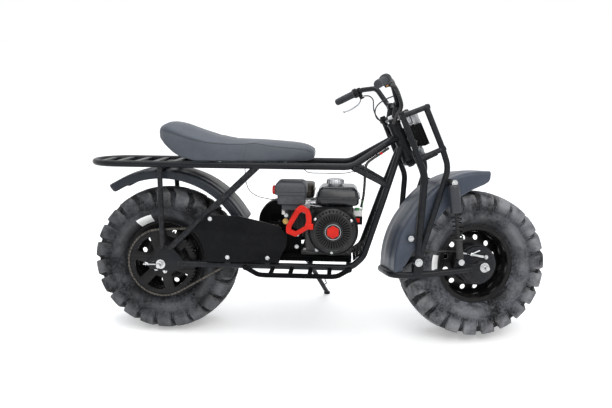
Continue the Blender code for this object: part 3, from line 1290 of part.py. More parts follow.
def centre_on_origin(bike):
    """Move the machine so that its outer box is centred over the origin."""
    bpy.context.view_layer.update()
    points = [item.matrix_world @ v.co for item in bpy.data.objects if item.type == "MESH"
              for v in item.data.vertices]
    for axis in range(2):
        values = [p[axis] for p in points]
        bike.location[axis] -= (min(values) + max(values)) / 2.0
    bpy.context.view_layer.update()


def main():
    """Build every piece, then lean the machine onto its stand."""
    clear_scene()
    black = paint("frame black", (0.020, 0.020, 0.023), 0.38, 0.2)
    rubber = paint("tyre rubber", (0.035, 0.034, 0.033), 0.85)
    sheet = paint("fender black", (0.045, 0.050, 0.060), 0.42)
    wheel = paint("wheel black", (0.016, 0.016, 0.018), 0.35, 0.3)
    steel = paint("bright steel", (0.55, 0.55, 0.56), 0.32, 1.0)
    dark_steel = paint("dark steel", (0.16, 0.15, 0.14), 0.45, 1.0)
    vinyl = paint("seat vinyl", (0.060, 0.068, 0.082), 0.55)
    plastic = paint("engine black", (0.022, 0.022, 0.024), 0.40)
    cast = paint("cast grey", (0.10, 0.10, 0.105), 0.55, 0.6)
    red = paint("handle red", (0.55, 0.035, 0.015), 0.40)
    grip_rubber = paint("grip rubber", (0.030, 0.031, 0.036), 0.75)

    bike = empty("bike", (0, 0, 0))
    steering = empty("steering", tuple(axis_point(0.0)), bike)
    front_spin = empty("front_spin", FRONT_AXLE, steering)
    rear_spin = empty("rear_spin", REAR_AXLE, bike)
    stand_hinge = empty("stand_hinge", STAND_PIVOT, bike)

    place(upper_frame(), "upper_frame", bike, black)
    place(cradle(), "cradle", bike, black)
    place(rear_frame(-1), "rear_frame_right", bike, black)
    place(rear_frame(1), "rear_frame_left", bike, black)
    place(seat(), "seat", bike, vinyl, at=(-0.35, 0.0, RAIL_HEIGHT + 0.015))
    place(rear_fender(), "rear_fender", bike, sheet, at=REAR_AXLE)
    place(chain_guard(), "chain_guard", bike, black)
    place(engine_plate(), "engine_plate", bike, black)
    place(skid_plate(), "skid_plate", bike, black)
    place(foot_step(-1), "foot_step_right", bike, black)
    place(foot_step(1), "foot_step_left", bike, black)
    place(engine_block(), "engine_block", bike, cast)
    place(blower_housing(), "blower_housing", bike, plastic)
    place(recoil_handle(), "recoil_handle", bike, red)
    place(fuel_tank(), "fuel_tank", bike, plastic)
    place(air_box(), "air_box", bike, plastic)
    place(muffler(), "muffler", bike, dark_steel)
    place(clutch_cover(), "clutch_cover", bike, plastic)
    place(drive_sprocket(), "drive_sprocket", bike, dark_steel)
    place(drive_chain(), "drive_chain", bike, dark_steel)
    place(rear_axle(), "rear_axle", bike, steel, at=REAR_AXLE)
    place(wiring_harness(), "wiring_harness", bike, grip_rubber)

    place(fork_stem(), "fork_stem", steering, black)
    place(fork_frame(-1), "fork_frame_right", steering, black)
    place(fork_frame(1), "fork_frame_left", steering, black)
    place(handlebar(), "handlebar", steering, black)
    place(grip(-1), "grip_right", steering, grip_rubber)
    place(grip(1), "grip_left", steering, grip_rubber)
    place(brake_lever(), "brake_lever", steering, steel)
    place(brake_cable(), "brake_cable", steering, grip_rubber)
    place(headlight(), "headlight", steering, plastic)
    place(front_fender(), "front_fender", steering, sheet)
    place(swing_arm(), "swing_arm", steering, black)
    place(shock(-1), "shock_right", steering, black)
    place(shock(1), "shock_left", steering, black)
    place(front_axle(), "front_axle", steering, steel, at=FRONT_AXLE)

    place(tyre(FRONT_AXLE, FRONT_LUG_PHASE), "front_tyre", front_spin, rubber)
    place(rim(FRONT_AXLE, FRONT_DISC_Y), "front_rim", front_spin, wheel)
    place(front_hub(), "front_hub", front_spin, cast)
    place(tyre(REAR_AXLE, REAR_LUG_PHASE), "rear_tyre", rear_spin, rubber)
    place(rim(REAR_AXLE, REAR_DISC_Y), "rear_rim", rear_spin, wheel)
    place(rear_hub(), "rear_hub", rear_spin, cast)
    place(wheel_sprocket(), "wheel_sprocket", rear_spin, wheel)

    steering.rotation_mode = "AXIS_ANGLE"
    steering.rotation_axis_angle = (STEER_REST, -math.sin(RAKE), 0.0, math.cos(RAKE))
    rest_on_ground(bike, bpy.data.objects["front_tyre"], bpy.data.objects["rear_tyre"])
    ground = bike.matrix_world.inverted()
    foot = ground @ Vector((STAND_FOOT_X, STAND_FOOT_Y, 0.0))
    up = (ground.to_3x3() @ Vector((0.0, 0.0, 1.0))).normalized()
    place(side_stand(foot, up), "side_stand", stand_hinge, black)
    centre_on_origin(bike)


if __name__ == "__main__":
    main()
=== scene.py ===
"""All-terrain motorcycle: its looks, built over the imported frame.

Every piece is worked out for the machine standing upright with its wheels straight: +X forward,
+Y to the rider's left, +Z up, origin on the ground midway between the axles, in metres. The stance
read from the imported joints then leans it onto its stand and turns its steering.
"""

import json
import logging
import math
from dataclasses import dataclass, field, replace
from enum import Enum

import bmesh
import bpy
import numpy as np
from mathutils import Matrix, Vector, bvhtree


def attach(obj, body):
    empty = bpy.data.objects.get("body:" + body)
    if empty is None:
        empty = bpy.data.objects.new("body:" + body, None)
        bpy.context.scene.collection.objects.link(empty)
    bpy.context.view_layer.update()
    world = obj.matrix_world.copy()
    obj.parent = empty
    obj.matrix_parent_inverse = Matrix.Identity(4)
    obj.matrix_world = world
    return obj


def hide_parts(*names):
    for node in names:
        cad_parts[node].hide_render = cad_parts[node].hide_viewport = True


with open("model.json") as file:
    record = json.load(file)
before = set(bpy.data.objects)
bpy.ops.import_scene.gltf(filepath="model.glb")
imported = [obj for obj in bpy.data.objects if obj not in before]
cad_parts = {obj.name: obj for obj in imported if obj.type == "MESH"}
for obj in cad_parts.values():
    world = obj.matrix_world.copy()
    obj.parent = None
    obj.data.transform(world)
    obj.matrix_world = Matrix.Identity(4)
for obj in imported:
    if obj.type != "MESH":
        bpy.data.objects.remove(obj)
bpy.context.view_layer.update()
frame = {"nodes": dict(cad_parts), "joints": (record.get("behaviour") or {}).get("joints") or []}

LOG = logging.getLogger("motorcycle")

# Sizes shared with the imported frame
GAP = 0.0003
WHEELBASE = 1.34
TYRE_RADIUS = 0.3175
TYRE_HALF_WIDTH = 0.1005
RAKE = math.radians(24.5)
HEAD_X = 0.387
HEAD_Z = 0.767
HEAD_LENGTH = 0.176
RAIL_RADIUS = 0.0135
RAIL_HALF_SPAN = 0.125
RAIL_HEIGHT = 0.745
RACK_TURN_X = -0.858
LOWER_HALF_SPAN = 0.14
LOWER_HEIGHT = 0.32
PLATE_Y = 0.145
FORK_HALF_SPAN = 0.13
CHAIN_Y = -0.118
CHAIN_PITCH = 0.015875
SPROCKET_TEETH = 58
DRIVE_TEETH = 10
DRIVE = (-0.18, 0.465)
REAR_AXLE = (-WHEELBASE / 2.0, 0.0, TYRE_RADIUS)
FRONT_AXLE = (WHEELBASE / 2.0, 0.0, TYRE_RADIUS)
CRANK = (0.067, 0.482)
HEAD_TOP_Z = 0.58
AXLE_RADIUS = 0.0085
AXLE_HALF_LENGTH = 0.187
AXLE_HOLE = 0.0088
AXLE_NUT = 0.014
CLAMP = (0.315, 0.995)
STAND_PIVOT = (-0.065, 0.164, 0.284)
ARM_PIVOT = (0.384, 0.344)
SHOCK_TOP = (0.525, 0.672)
SHOCK_FOOT = (0.561, 0.344)


# Numbers and shells


def vec(*values: float) -> np.ndarray:
    """A point or direction as an array."""
    return np.array(values, float)


def unit(v: np.ndarray) -> np.ndarray:
    """The vector at length one."""
    return v / np.linalg.norm(v)


@dataclass
class Shell:
    """Points and faces of one or more surfaces: faces is a list of index arrays, one per face size."""

    points: np.ndarray
    faces: list[np.ndarray] = field(default_factory=list)

    def moved(self, matrix: np.ndarray) -> "Shell":
        """The shell after a 4 by 4 transform."""
        return Shell(self.points @ matrix[:3, :3].T + matrix[:3, 3], self.faces)

    def __add__(self, other: "Shell") -> "Shell":
        """Both shells side by side in one."""
        shift = len(self.points)
        return Shell(np.vstack([self.points, other.points]), self.faces + [f + shift for f in other.faces])


def merged(shells: list[Shell]) -> Shell:
    """All shells of a list in one.

    Args:
        shells: the shells, at least one.

    Returns:
        One shell that holds them all.
    """
    starts = np.cumsum([0] + [len(s.points) for s in shells[:-1]])
    faces = [f + k for s, k in zip(shells, starts) for f in s.faces]
    return Shell(np.vstack([s.points for s in shells]), faces)


def grid_faces(rows: int, cols: int, wrap_rows: bool, wrap_cols: bool) -> np.ndarray:
    """Quads of a grid of points numbered row by row, joined up at its wrapped ends.

    Args:
        rows: points down the grid.
        cols: points across it.
        wrap_rows: whether the last row joins the first.
        wrap_cols: whether the last column joins the first.

    Returns:
        Four point numbers for each quad.
    """
    r = np.arange(rows if wrap_rows else rows - 1)
    c = np.arange(cols if wrap_cols else cols - 1)
    rr, cc = np.meshgrid(r, c, indexing="ij")
    r2, c2 = (rr + 1) % rows, (cc + 1) % cols
    return np.stack([rr * cols + cc, rr * cols + c2, r2 * cols + c2, r2 * cols + cc], -1).reshape(-1, 4)


def grid_rim(rows: int, cols: int) -> np.ndarray:
    """Point numbers round the edge of a grid of points, in order.

    Args:
        rows: points down the grid.
        cols: points across it.

    Returns:
        The numbers, each once.
    """
    return np.concatenate([np.arange(cols), np.arange(2, rows + 1) * cols - 1,
                           np.arange(cols - 2, -1, -1) + (rows - 1) * cols,
                           np.arange(rows - 2, 0, -1) * cols])


def joined_skins(outer: np.ndarray, inner: np.ndarray) -> Shell:
    """Two grids of points, one over the other, closed along every edge.

    Args:
        outer: rows by columns by three coordinates.
        inner: a grid of the same size.

    Returns:
        A closed sheet.
    """
    rows, cols = outer.shape[:2]
    quads, ring = grid_faces(rows, cols, False, False), grid_rim(rows, cols)
    after = np.roll(ring, -1)
    rims = np.stack([ring, after, after + rows * cols, ring + rows * cols], 1)
    points = np.concatenate([outer.reshape(-1, 3), inner.reshape(-1, 3)])
    return Shell(points, [quads, quads[:, ::-1] + rows * cols, rims])


def tilted(direction: np.ndarray) -> tuple[np.ndarray, np.ndarray]:
    """Two unit vectors square to a direction and to each other.

    Args:
        direction: the direction, of any length.

    Returns:
        The two unit vectors.
    """
    d = unit(direction)
    ref = vec(0, 0, 1) if abs(d[2]) < 0.9 else vec(1, 0, 0)
    u = unit(np.cross(ref, d))
    return u, np.cross(d, u)


def sweep(path: np.ndarray, radius: float | np.ndarray, sides: int = 20, closed: bool = False) -> Shell:
    """Carry a circle along a path: point = path + r (cos a * normal + sin a * binormal).

    Args:
        path: points along the centre line.
        radius: one radius, or one for each point.
        sides: points round the circle.
        closed: whether the path runs back into its start.

    Returns:
        A closed tube, with flat ends when the path is open.
    """
    p = np.asarray(path, float)
    n = len(p)
    if closed:
        tangent = np.roll(p, -1, 0) - np.roll(p, 1, 0)
    else:
        tangent = np.gradient(p, axis=0)
    tangent /= np.linalg.norm(tangent, axis=1)[:, None]
    normal = np.empty_like(p)
    normal[0] = tilted(tangent[0])[0]
    for k in range(1, n):
        v = normal[k - 1] - tangent[k] * (normal[k - 1] @ tangent[k])
        normal[k] = v / np.linalg.norm(v)
    binormal = np.cross(tangent, normal)
    a = np.linspace(0.0, math.tau, sides, endpoint=False)
    r = np.broadcast_to(np.asarray(radius, float), (n,))[:, None, None]
    ring = np.cos(a)[None, :, None] * normal[:, None, :] + np.sin(a)[None, :, None] * binormal[:, None, :]
    points = (p[:, None, :] + r * ring).reshape(-1, 3)
    faces = [grid_faces(n, sides, closed, True)]
    if not closed:
        faces += [np.arange(sides)[::-1][None, :], (np.arange(sides) + (n - 1) * sides)[None, :]]
    return Shell(points, faces)


def rounded(points: list, bend: float, steps: int = 8) -> np.ndarray:
    """Round the inner corners of a polyline with arcs: centre + rotation of the start radius by equal steps.

    Args:
        points: the polyline's points.
        bend: radius of the arcs.
        steps: pieces in each arc.

    Returns:
        The points of the rounded line.
    """
    pts = [Vector(p) for p in points]
    if bend <= 0.0 or len(pts) < 3:
        return np.array(pts)
    out = [pts[0]]
    for before, corner, after in zip(pts, pts[1:], pts[2:]):
        to_a, to_b = (before - corner).normalized(), (after - corner).normalized()
        opening = to_a.angle(to_b)
        if opening > math.radians(176.0):
            out.append(corner)
            continue
        reach = bend / math.tan(opening / 2.0)
        reach = min(reach, 0.48 * (before - corner).length, 0.48 * (after - corner).length)
        radius = reach * math.tan(opening / 2.0)
        centre = corner + (to_a + to_b).normalized() * (radius / math.sin(opening / 2.0))
        start = corner + to_a * reach - centre
        axis = start.cross(corner + to_b * reach - centre).normalized()
        for k in range(steps + 1):
            out.append(centre + Matrix.Rotation((math.pi - opening) * k / steps, 3, axis) @ start)
    out.append(pts[-1])
    return np.array(out)


def smooth_path(route: list, count: int) -> np.ndarray:
    """Points on a smooth curve through a route: each span blends its four nearest points by cubic weights.

    Args:
        route: the points that it runs through.
        count: how many points to give.

    Returns:
        The points of the curve.
    """
    p = np.asarray(route, float)
    p = np.vstack([2 * p[0] - p[1], p, 2 * p[-1] - p[-2]])
    spans = len(p) - 3
    u = np.linspace(0.0, spans, count)
    i = np.minimum(u.astype(int), spans - 1)
    t = (u - i)[:, None]
    a, b, c, d = p[i], p[i + 1], p[i + 2], p[i + 3]
    return 0.5 * (2 * b + (c - a) * t + (2 * a - 5 * b + 4 * c - d) * t**2 + (3 * b - a - 3 * c + d) * t**3)


def pipe(points: list, radius: float, bend: float = 0.05, sides: int = 20) -> Shell:
    """A round bent tube with flat ends."""
    return sweep(rounded(points, bend), radius, sides)


def revolve(profile: list, origin: np.ndarray, axis: np.ndarray, sides: int = 32,
            ring: bool = False) -> Shell:
    """Turn a profile about an axis: origin + s * axis + r (cos a * u + sin a * v).

    Args:
        profile: points (s along the axis, radius r), whose ends lie on the axis unless ring is set.
        origin: the axis's zero point.
        axis: its direction.
        sides: points round it.
        ring: whether the profile closes on itself, as round a bore.

    Returns:
        A closed turned body.
    """
    d = unit(np.asarray(axis, float))
    u, v = tilted(d)
    pr = np.asarray(profile, float)
    a = np.linspace(0.0, math.tau, sides, endpoint=False)
    around = np.cos(a)[None, :, None] * u + np.sin(a)[None, :, None] * v
    points = np.asarray(origin, float) + pr[:, 0, None, None] * d + pr[:, 1, None, None] * around
    return Shell(points.reshape(-1, 3), [grid_faces(len(pr), sides, ring, True)])


def rod(start: np.ndarray, end: np.ndarray, radius: float, ease: float = 0.0006, sides: int = 24,
        end_radius: float | None = None) -> Shell:
    """A round bar or cone with eased edges.

    Args:
        start: middle of its first end.
        end: middle of its other end.
        radius: its radius.
        ease: size of its eased edges.
        sides: points round it.
        end_radius: radius at the other end of a cone.

    Returns:
        A closed bar.
    """
    a, b = np.asarray(start, float), np.asarray(end, float)
    length = float(np.linalg.norm(b - a))
    r2 = radius if end_radius is None else end_radius
    e = min(ease, 0.3 * length, 0.4 * min(radius, r2))
    profile = [(0, 0), (0, radius - e), (e, radius), (length - e, r2), (length, r2 - e), (length, 0)]
    return revolve(profile, a, b - a, sides)


def block(low: tuple, high: tuple, ease: float = 0.002, steps: int = 3) -> Shell:
    """A box with round edges: a cube grid whose points are pushed to the ease radius round an inner box.

    Args:
        low: one corner.
        high: the corner opposite to it.
        ease: radius of its edges.
        steps: pieces in each rounded edge.

    Returns:
        A closed box.
    """
    lo, hi = np.minimum(low, high).astype(float), np.maximum(low, high).astype(float)
    mid, half = (lo + hi) / 2.0, (hi - lo) / 2.0
    r = min(ease, 0.49 * 2 * half.min())
    t = np.tan(np.linspace(0.0, math.pi / 4.0, steps + 1))
    shells = []
    for k in range(3):
        i, j = (k + 1) % 3, (k + 2) % 3
        lines = [np.concatenate([-(half[m] - r) - r * t[::-1], (half[m] - r) + r * t]) for m in (i, j)]
        for side in (-1.0, 1.0):
            g = np.zeros((len(lines[0]), len(lines[1]), 3))
            g[..., i], g[..., j] = np.meshgrid(lines[0], lines[1], indexing="ij")
            g[..., k] = side * half[k]
            core = np.clip(g, -(half - r), half - r)
            off = g - core
            length = np.linalg.norm(off, axis=-1, keepdims=True)
            pts = core + off / np.maximum(length, 1e-9) * r + mid
            quads = grid_faces(*g.shape[:2], False, False)
            shells.append(Shell(pts.reshape(-1, 3), [quads if side > 0 else quads[:, ::-1]]))
    return merged(shells)


def shell_of(mesh: bpy.types.Mesh) -> Shell:
    """Points and faces of a Blender mesh, read as whole arrays.

    Args:
        mesh: the mesh.

    Returns:
        The same points and faces.
    """
    points = np.empty(len(mesh.vertices) * 3)
    mesh.vertices.foreach_get("co", points)
    total = np.empty(len(mesh.polygons), int)
    start = np.empty(len(mesh.polygons), int)
    loops = np.empty(len(mesh.loops), int)
    mesh.polygons.foreach_get("loop_total", total)
    mesh.polygons.foreach_get("loop_start", start)
    mesh.loops.foreach_get("vertex_index", loops)
    faces = [loops[start[total == k][:, None] + np.arange(k)] for k in np.unique(total)]
    return Shell(points.reshape(-1, 3), faces)


def plate(outline: list, y_low: float, y_high: float, holes: tuple = (), ease: float = 0.0006) -> Shell:
    """A flat part in the X-Z plane with eased edges and holes, from a filled and extruded flat curve.

    Args:
        outline: its (x, z) points in order.
        y_low: where it begins along Y.
        y_high: where it ends along Y.
        holes: outlines of its holes.
        ease: size of its eased edges.

    Returns:
        A closed flat part.
    """
    data = bpy.data.curves.new("plate", "CURVE")
    data.dimensions = "2D"
    data.fill_mode = "BOTH"
    thick = abs(y_high - y_low)
    data.bevel_depth = min(ease, thick * 0.3)
    data.extrude = thick / 2.0 - data.bevel_depth
    data.bevel_resolution = 1
    data.offset = -data.bevel_depth
    for ring in (outline, *holes):
        spline = data.splines.new("POLY")
        spline.points.add(len(ring) - 1)
        flat = np.zeros((len(ring), 4))
        flat[:, :2] = np.asarray(ring, float)
        flat[:, 3] = 1.0
        spline.points.foreach_set("co", flat.ravel())
        spline.use_cyclic_u = True
    item = bpy.data.objects.new("plate", data)
    bpy.context.scene.collection.objects.link(item)
    bpy.context.view_layer.update()
    mesh = bpy.data.meshes.new_from_object(item.evaluated_get(bpy.context.evaluated_depsgraph_get()))
    out = shell_of(mesh)
    bpy.data.objects.remove(item, do_unlink=True)
    bpy.data.meshes.remove(mesh)
    x, z, w = out.points.T
    out.points = np.stack([x, (y_low + y_high) / 2.0 + w, z], -1)
    return out


def ring2(cx: float, cz: float, r: float, start: float = 0.0, end: float = 360.0, count: int = 24) -> list:
    """Points of a circle or arc in a plane, angles in degrees.

    Args:
        cx: the middle's first coordinate.
        cz: the middle's second coordinate.
        r: radius.
        start: first angle.
        end: last angle.
        count: how many points to give.

    Returns:
        The points in order.
    """
    full = abs(end - start) >= 360.0
    a = np.radians(np.linspace(start, end, count, endpoint=not full))
    return [(cx + r * c, cz + r * s) for c, s in zip(np.cos(a), np.sin(a))]


def soft_corners(outline: list, radius: float, steps: int = 4) -> list:
    """A closed flat outline with its corners rounded.

    Args:
        outline: its points in order.
        radius: radius of its corners.
        steps: pieces in each corner.

    Returns:
        The rounded outline's points.
    """
    loop = [(x, 0.0, z) for x, z in outline]
    path = rounded([loop[-1]] + loop + [loop[0]], radius, steps)[1:-1]
    return [(p[0], p[2]) for p in path]


def clean_mesh(shell: Shell, name: str) -> bpy.types.Mesh:
    """A Blender mesh of a shell with doubles merged and every closed surface facing out.

    Args:
        shell: the surfaces.
        name: the mesh's name.

    Returns:
        The mesh.
    """
    mesh = bpy.data.meshes.new(name)
    loops = np.concatenate([f.ravel() for f in shell.faces])
    total = np.concatenate([np.full(len(f), f.shape[1]) for f in shell.faces])
    mesh.vertices.add(len(shell.points))
    mesh.vertices.foreach_set("co", shell.points.astype(np.float32).ravel())
    mesh.loops.add(len(loops))
    mesh.loops.foreach_set("vertex_index", loops.astype(np.int32))
    mesh.polygons.add(len(total))
    mesh.polygons.foreach_set("loop_start", np.concatenate([[0], np.cumsum(total)[:-1]]).astype(np.int32))
    mesh.update(calc_edges=True)
    mesh.validate()
    bm = bmesh.new()
    bm.from_mesh(mesh)
    bmesh.ops.remove_doubles(bm, verts=bm.verts, dist=2e-6)
    bmesh.ops.dissolve_degenerate(bm, dist=2e-6, edges=bm.edges)
    bmesh.ops.recalc_face_normals(bm, faces=bm.faces)
    bm.to_mesh(mesh)
    bm.free()
    return mesh


def cut(shell: Shell, cutters: list[Shell]) -> Shell:
    """Cut shapes out of a shell with an exact Boolean.

    Args:
        shell: the body that is cut.
        cutters: the shapes that are taken out.

    Returns:
        What is left.
    """
    base = bpy.data.objects.new("base", clean_mesh(shell, "base"))
    tool = bpy.data.objects.new("tool", clean_mesh(merged(cutters), "tool"))
    for item in (base, tool):
        bpy.context.scene.collection.objects.link(item)
    mod = base.modifiers.new("Cut", "BOOLEAN")
    mod.operation = "DIFFERENCE"
    mod.solver = "EXACT"
    mod.use_self = len(cutters) > 1
    mod.object = tool
    bpy.context.view_layer.update()
    mesh = bpy.data.meshes.new_from_object(base.evaluated_get(bpy.context.evaluated_depsgraph_get()))
    out = shell_of(mesh)
    for item in (base, tool):
        bpy.data.objects.remove(item, do_unlink=True)
    bpy.data.meshes.remove(mesh)
    return out


def mirror_y(shell: Shell) -> Shell:
    """The shell on the machine's other side."""
    return Shell(shell.points * vec(1, -1, 1), shell.faces)


def axis_point(s: float, drop: float = 0.0) -> np.ndarray:
    """A point s metres up the steering axis, moved forward by drop at a right angle to it."""
    return vec(HEAD_X - math.sin(RAKE) * s + math.cos(RAKE) * drop, 0.0,
               HEAD_Z + math.cos(RAKE) * s + math.sin(RAKE) * drop)


def on_spoke(shape: Shell, centre: tuple, radius: float, angle: float) -> Shell:
    """A shape carried out from a centre in the X-Z plane and turned to point away from it.

    Args:
        shape: the shape at the origin, pointing along X.
        centre: the centre's (x, z).
        radius: how far out it goes.
        angle: which way, in radians.

    Returns:
        The shape in its place.
    """
    c, s = math.cos(angle), math.sin(angle)
    return shape.moved(np.array([[c, 0, -s, centre[0] + radius * c], [0, 1, 0, 0],
                                 [s, 0, c, centre[1] + radius * s], [0, 0, 0, 1]]))


def hex_bolt(at: np.ndarray, axis: np.ndarray, size: float, washer: bool = True) -> Shell:
    """A hexagon head with its chamfer, standing on a washer; size is half the head's width.

    Args:
        at: middle of its seat.
        axis: the way that its head points.
        size: half the head's width.
        washer: whether a washer lies under it.

    Returns:
        The head with its washer.
    """
    d = unit(np.asarray(axis, float))
    at = np.asarray(at, float)
    w = 0.0012 if washer else 0.0
    head = revolve([(w, 0), (w, size), (w + size * 0.62, size), (w + size * 0.8, size * 0.86),
                    (w + size * 0.8, 0)], at, d, 6)
    return head + rod(at, at + d * w, size * 1.45, 0.0003, 24) if washer else head


def dome_bolt(at: np.ndarray, axis: np.ndarray, size: float) -> Shell:
    """A low dome head on a thin collar: radius falls as the cosine of the height angle.

    Args:
        at: middle of its seat.
        axis: the way that its head points.
        size: the dome's radius.

    Returns:
        The head.
    """
    a = np.linspace(0.0, math.pi / 2.0, 6)
    profile = [(0, 0), (0, size * 1.25), (size * 0.16, size * 1.25)]
    profile += [(size * (0.16 + 0.5 * math.sin(t)), size * math.cos(t)) for t in a]
    return revolve(profile, np.asarray(at, float), axis, 20)


# Stance and bodies


class Body(Enum):
    """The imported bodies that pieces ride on."""

    FRAME = "frame"
    FORK = "fork"
    FRONT_WHEEL = "front_wheel"
    REAR_WHEEL = "rear_wheel"
    STAND = "side_stand"


@dataclass(frozen=True)
class Stance:
    """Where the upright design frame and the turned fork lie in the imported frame."""

    bike: np.ndarray
    fork: np.ndarray

    @staticmethod
    def _match(wheel: dict, head: dict, at: tuple) -> np.ndarray:
        """The 4 by 4 that takes the design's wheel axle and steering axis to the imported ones.

        Args:
            wheel: the wheel's packed joint.
            head: the steering's packed joint.
            at: the wheel's axle in the design.

        Returns:
            The transform.
        """
        y, s = unit(vec(*wheel["axis"])), unit(vec(*head["axis"]))
        world = np.stack([np.cross(y, s), y, s], 1)
        f = vec(math.cos(RAKE), 0.0, math.sin(RAKE))
        design = np.stack([f, vec(0, 1, 0), vec(-math.sin(RAKE), 0.0, math.cos(RAKE))], 1)
        out = np.eye(4)
        out[:3, :3] = world @ design.T
        out[:3, 3] = vec(*wheel["pos_m"]) - out[:3, :3] @ vec(*at)
        return out

    @classmethod
    def read(cls, joints: list[dict]) -> "Stance":
        """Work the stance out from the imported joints.


        Returns:
            The stance of the frame and of the fork.
        """
        by = {j["name"]: j for j in joints}
        head = by["steering_turn"]
        return cls(cls._match(by["rear_wheel_spin"], head, REAR_AXLE),
                   cls._match(by["front_wheel_spin"], head, FRONT_AXLE))

    def of(self, body: Body) -> np.ndarray:
        """The transform of a body's pieces."""
        return self.fork if body in (Body.FORK, Body.FRONT_WHEEL) else self.bike


STANCE = Stance.read(frame["joints"])


# Finishes


class Wires:
    """Adds nodes to a tree and links them."""

    def __init__(self, tree: bpy.types.NodeTree) -> None:
        """Keep the tree that the nodes go into."""
        self.tree = tree

    def add(self, kind: str, inputs: dict | None = None, **settings: object) -> bpy.types.Node:
        """One node with its settings; an input is a plain value or another node's output.

        Args:
            kind: the node's type.
            inputs: values or sockets by input.
            settings: attributes of the node.

        Returns:
            The node.
        """
        node = self.tree.nodes.new(kind)
        for key, value in settings.items():
            setattr(node, key, value)
        for key, value in (inputs or {}).items():
            if isinstance(value, bpy.types.NodeSocket):
                self.tree.links.new(value, node.inputs[key])
            else:
                node.inputs[key].default_value = value
        return node

    def math(self, operation: str, a: object, b: object = 0.0, clamp: bool = False) -> bpy.types.NodeSocket:
        """A value from one sum, product or other step."""
        return self.add("ShaderNodeMath", {0: a, 1: b}, operation=operation, use_clamp=clamp).outputs[0]

    def mix(self, share: object, a: object, b: object) -> bpy.types.NodeSocket:
        """A colour between a and b."""
        return self.add("ShaderNodeMix", {0: share, 6: a, 7: b}, data_type="RGBA").outputs[2]

    def noise(self, vector: object, scale: object, detail: float = 4.0,
              rough: float = 0.6) -> bpy.types.NodeSocket:
        """A noise value from 0 to 1.

        Args:
            vector: where it is read.
            scale: how fine it is.
            detail: how many layers it has.
            rough: share of the finer layers.

        Returns:
            Its output socket.
        """
        node = self.add("ShaderNodeTexNoise", {"Vector": vector, "Scale": scale, "Detail": detail,
                                               "Roughness": rough})
        return node.outputs[0]


def shared_group(name: str, ins: tuple, outs: tuple, fill: object) -> bpy.types.NodeTree:
    """A shader node group, made once and used by every finish.

    Args:
        name: the group's name.
        ins: names of its inputs; the one called Vector is a vector, the others are values.
        outs: names of its output values.
        fill: function that gets the wires and the inputs, and returns the output sockets.

    Returns:
        The group.
    """
    tree = bpy.data.node_groups.get(name)
    if tree is not None:
        return tree
    tree = bpy.data.node_groups.new(name, "ShaderNodeTree")
    for label in ins:
        kind = "NodeSocketVector" if label == "Vector" else "NodeSocketFloat"
        tree.interface.new_socket(name=label, in_out="INPUT", socket_type=kind)
    for label in outs:
        tree.interface.new_socket(name=label, in_out="OUTPUT", socket_type="NodeSocketFloat")
    wires = Wires(tree)
    source = wires.add("NodeGroupInput")
    sink = wires.add("NodeGroupOutput")
    for label, socket in zip(outs, fill(wires, source.outputs)):
        tree.links.new(socket, sink.inputs[label])
    return tree


def fill_grain(w: Wires, i: object) -> tuple:
    """Wide tone changes, fine speckle, and a bump height from both.

    Args:
        w: the group's wires.
        i: its inputs.

    Returns:
        Its output sockets.
    """
    coarse = w.noise(i["Vector"], w.math("MULTIPLY", i["Scale"], 0.03), 5.0)
    fine = w.noise(i["Vector"], i["Scale"], 3.0)
    cells = w.add("ShaderNodeTexVoronoi", {"Vector": i["Vector"], "Scale": i["Scale"]}).outputs["Distance"]
    height = w.math("ADD", w.math("MULTIPLY", fine, 0.6), w.math("MULTIPLY", cells, 0.4))
    return coarse, fine, height


def fill_dust(w: Wires, i: object) -> tuple:
    """Dust that lies thicker on faces that look up and near the ground, in blotches.

    Args:
        w: the group's wires.
        i: its inputs.

    Returns:
        Its output sockets.
    """
    normal = w.add("ShaderNodeSeparateXYZ", {0: w.add("ShaderNodeNewGeometry").outputs["Normal"]}).outputs[2]
    up = w.math("MULTIPLY_ADD", normal, 0.55, True)
    up.node.inputs[2].default_value = 0.5
    z = w.add("ShaderNodeSeparateXYZ", {0: i["Vector"]}).outputs[2]
    low = w.add("ShaderNodeMapRange", {0: z, 1: 0.0, 2: 1.0, 3: 1.0, 4: 0.35}).outputs[0]
    blotch = w.math("MULTIPLY_ADD", w.noise(i["Vector"], 7.0, 6.0, 0.68), 0.65)
    w.tree.links.new(w.math("MULTIPLY", w.noise(i["Vector"], 95.0, 3.0), 0.35), blotch.node.inputs[2])
    patch = w.math("MULTIPLY", w.math("SUBTRACT", blotch, 0.44), 6.0, True)
    return (w.math("MULTIPLY", w.math("MULTIPLY", patch, up), w.math("MULTIPLY", low, i["Amount"]), True),)


def fill_wear(w: Wires, i: object) -> tuple:
    """Rubbed edges: where the surface is sharpest, broken up by noise.

    Args:
        w: the group's wires.
        i: its inputs.

    Returns:
        Its output sockets.
    """
    edge = w.add("ShaderNodeNewGeometry").outputs["Pointiness"]
    sharp = w.math("MULTIPLY", w.math("SUBTRACT", edge, 0.535), 14.0, True)
    broken = w.math("MULTIPLY", w.math("SUBTRACT", w.noise(i["Vector"], 60.0, 5.0, 0.7), 0.42), 5.0, True)
    return (w.math("MULTIPLY", w.math("MULTIPLY", sharp, broken), i["Amount"], True),)


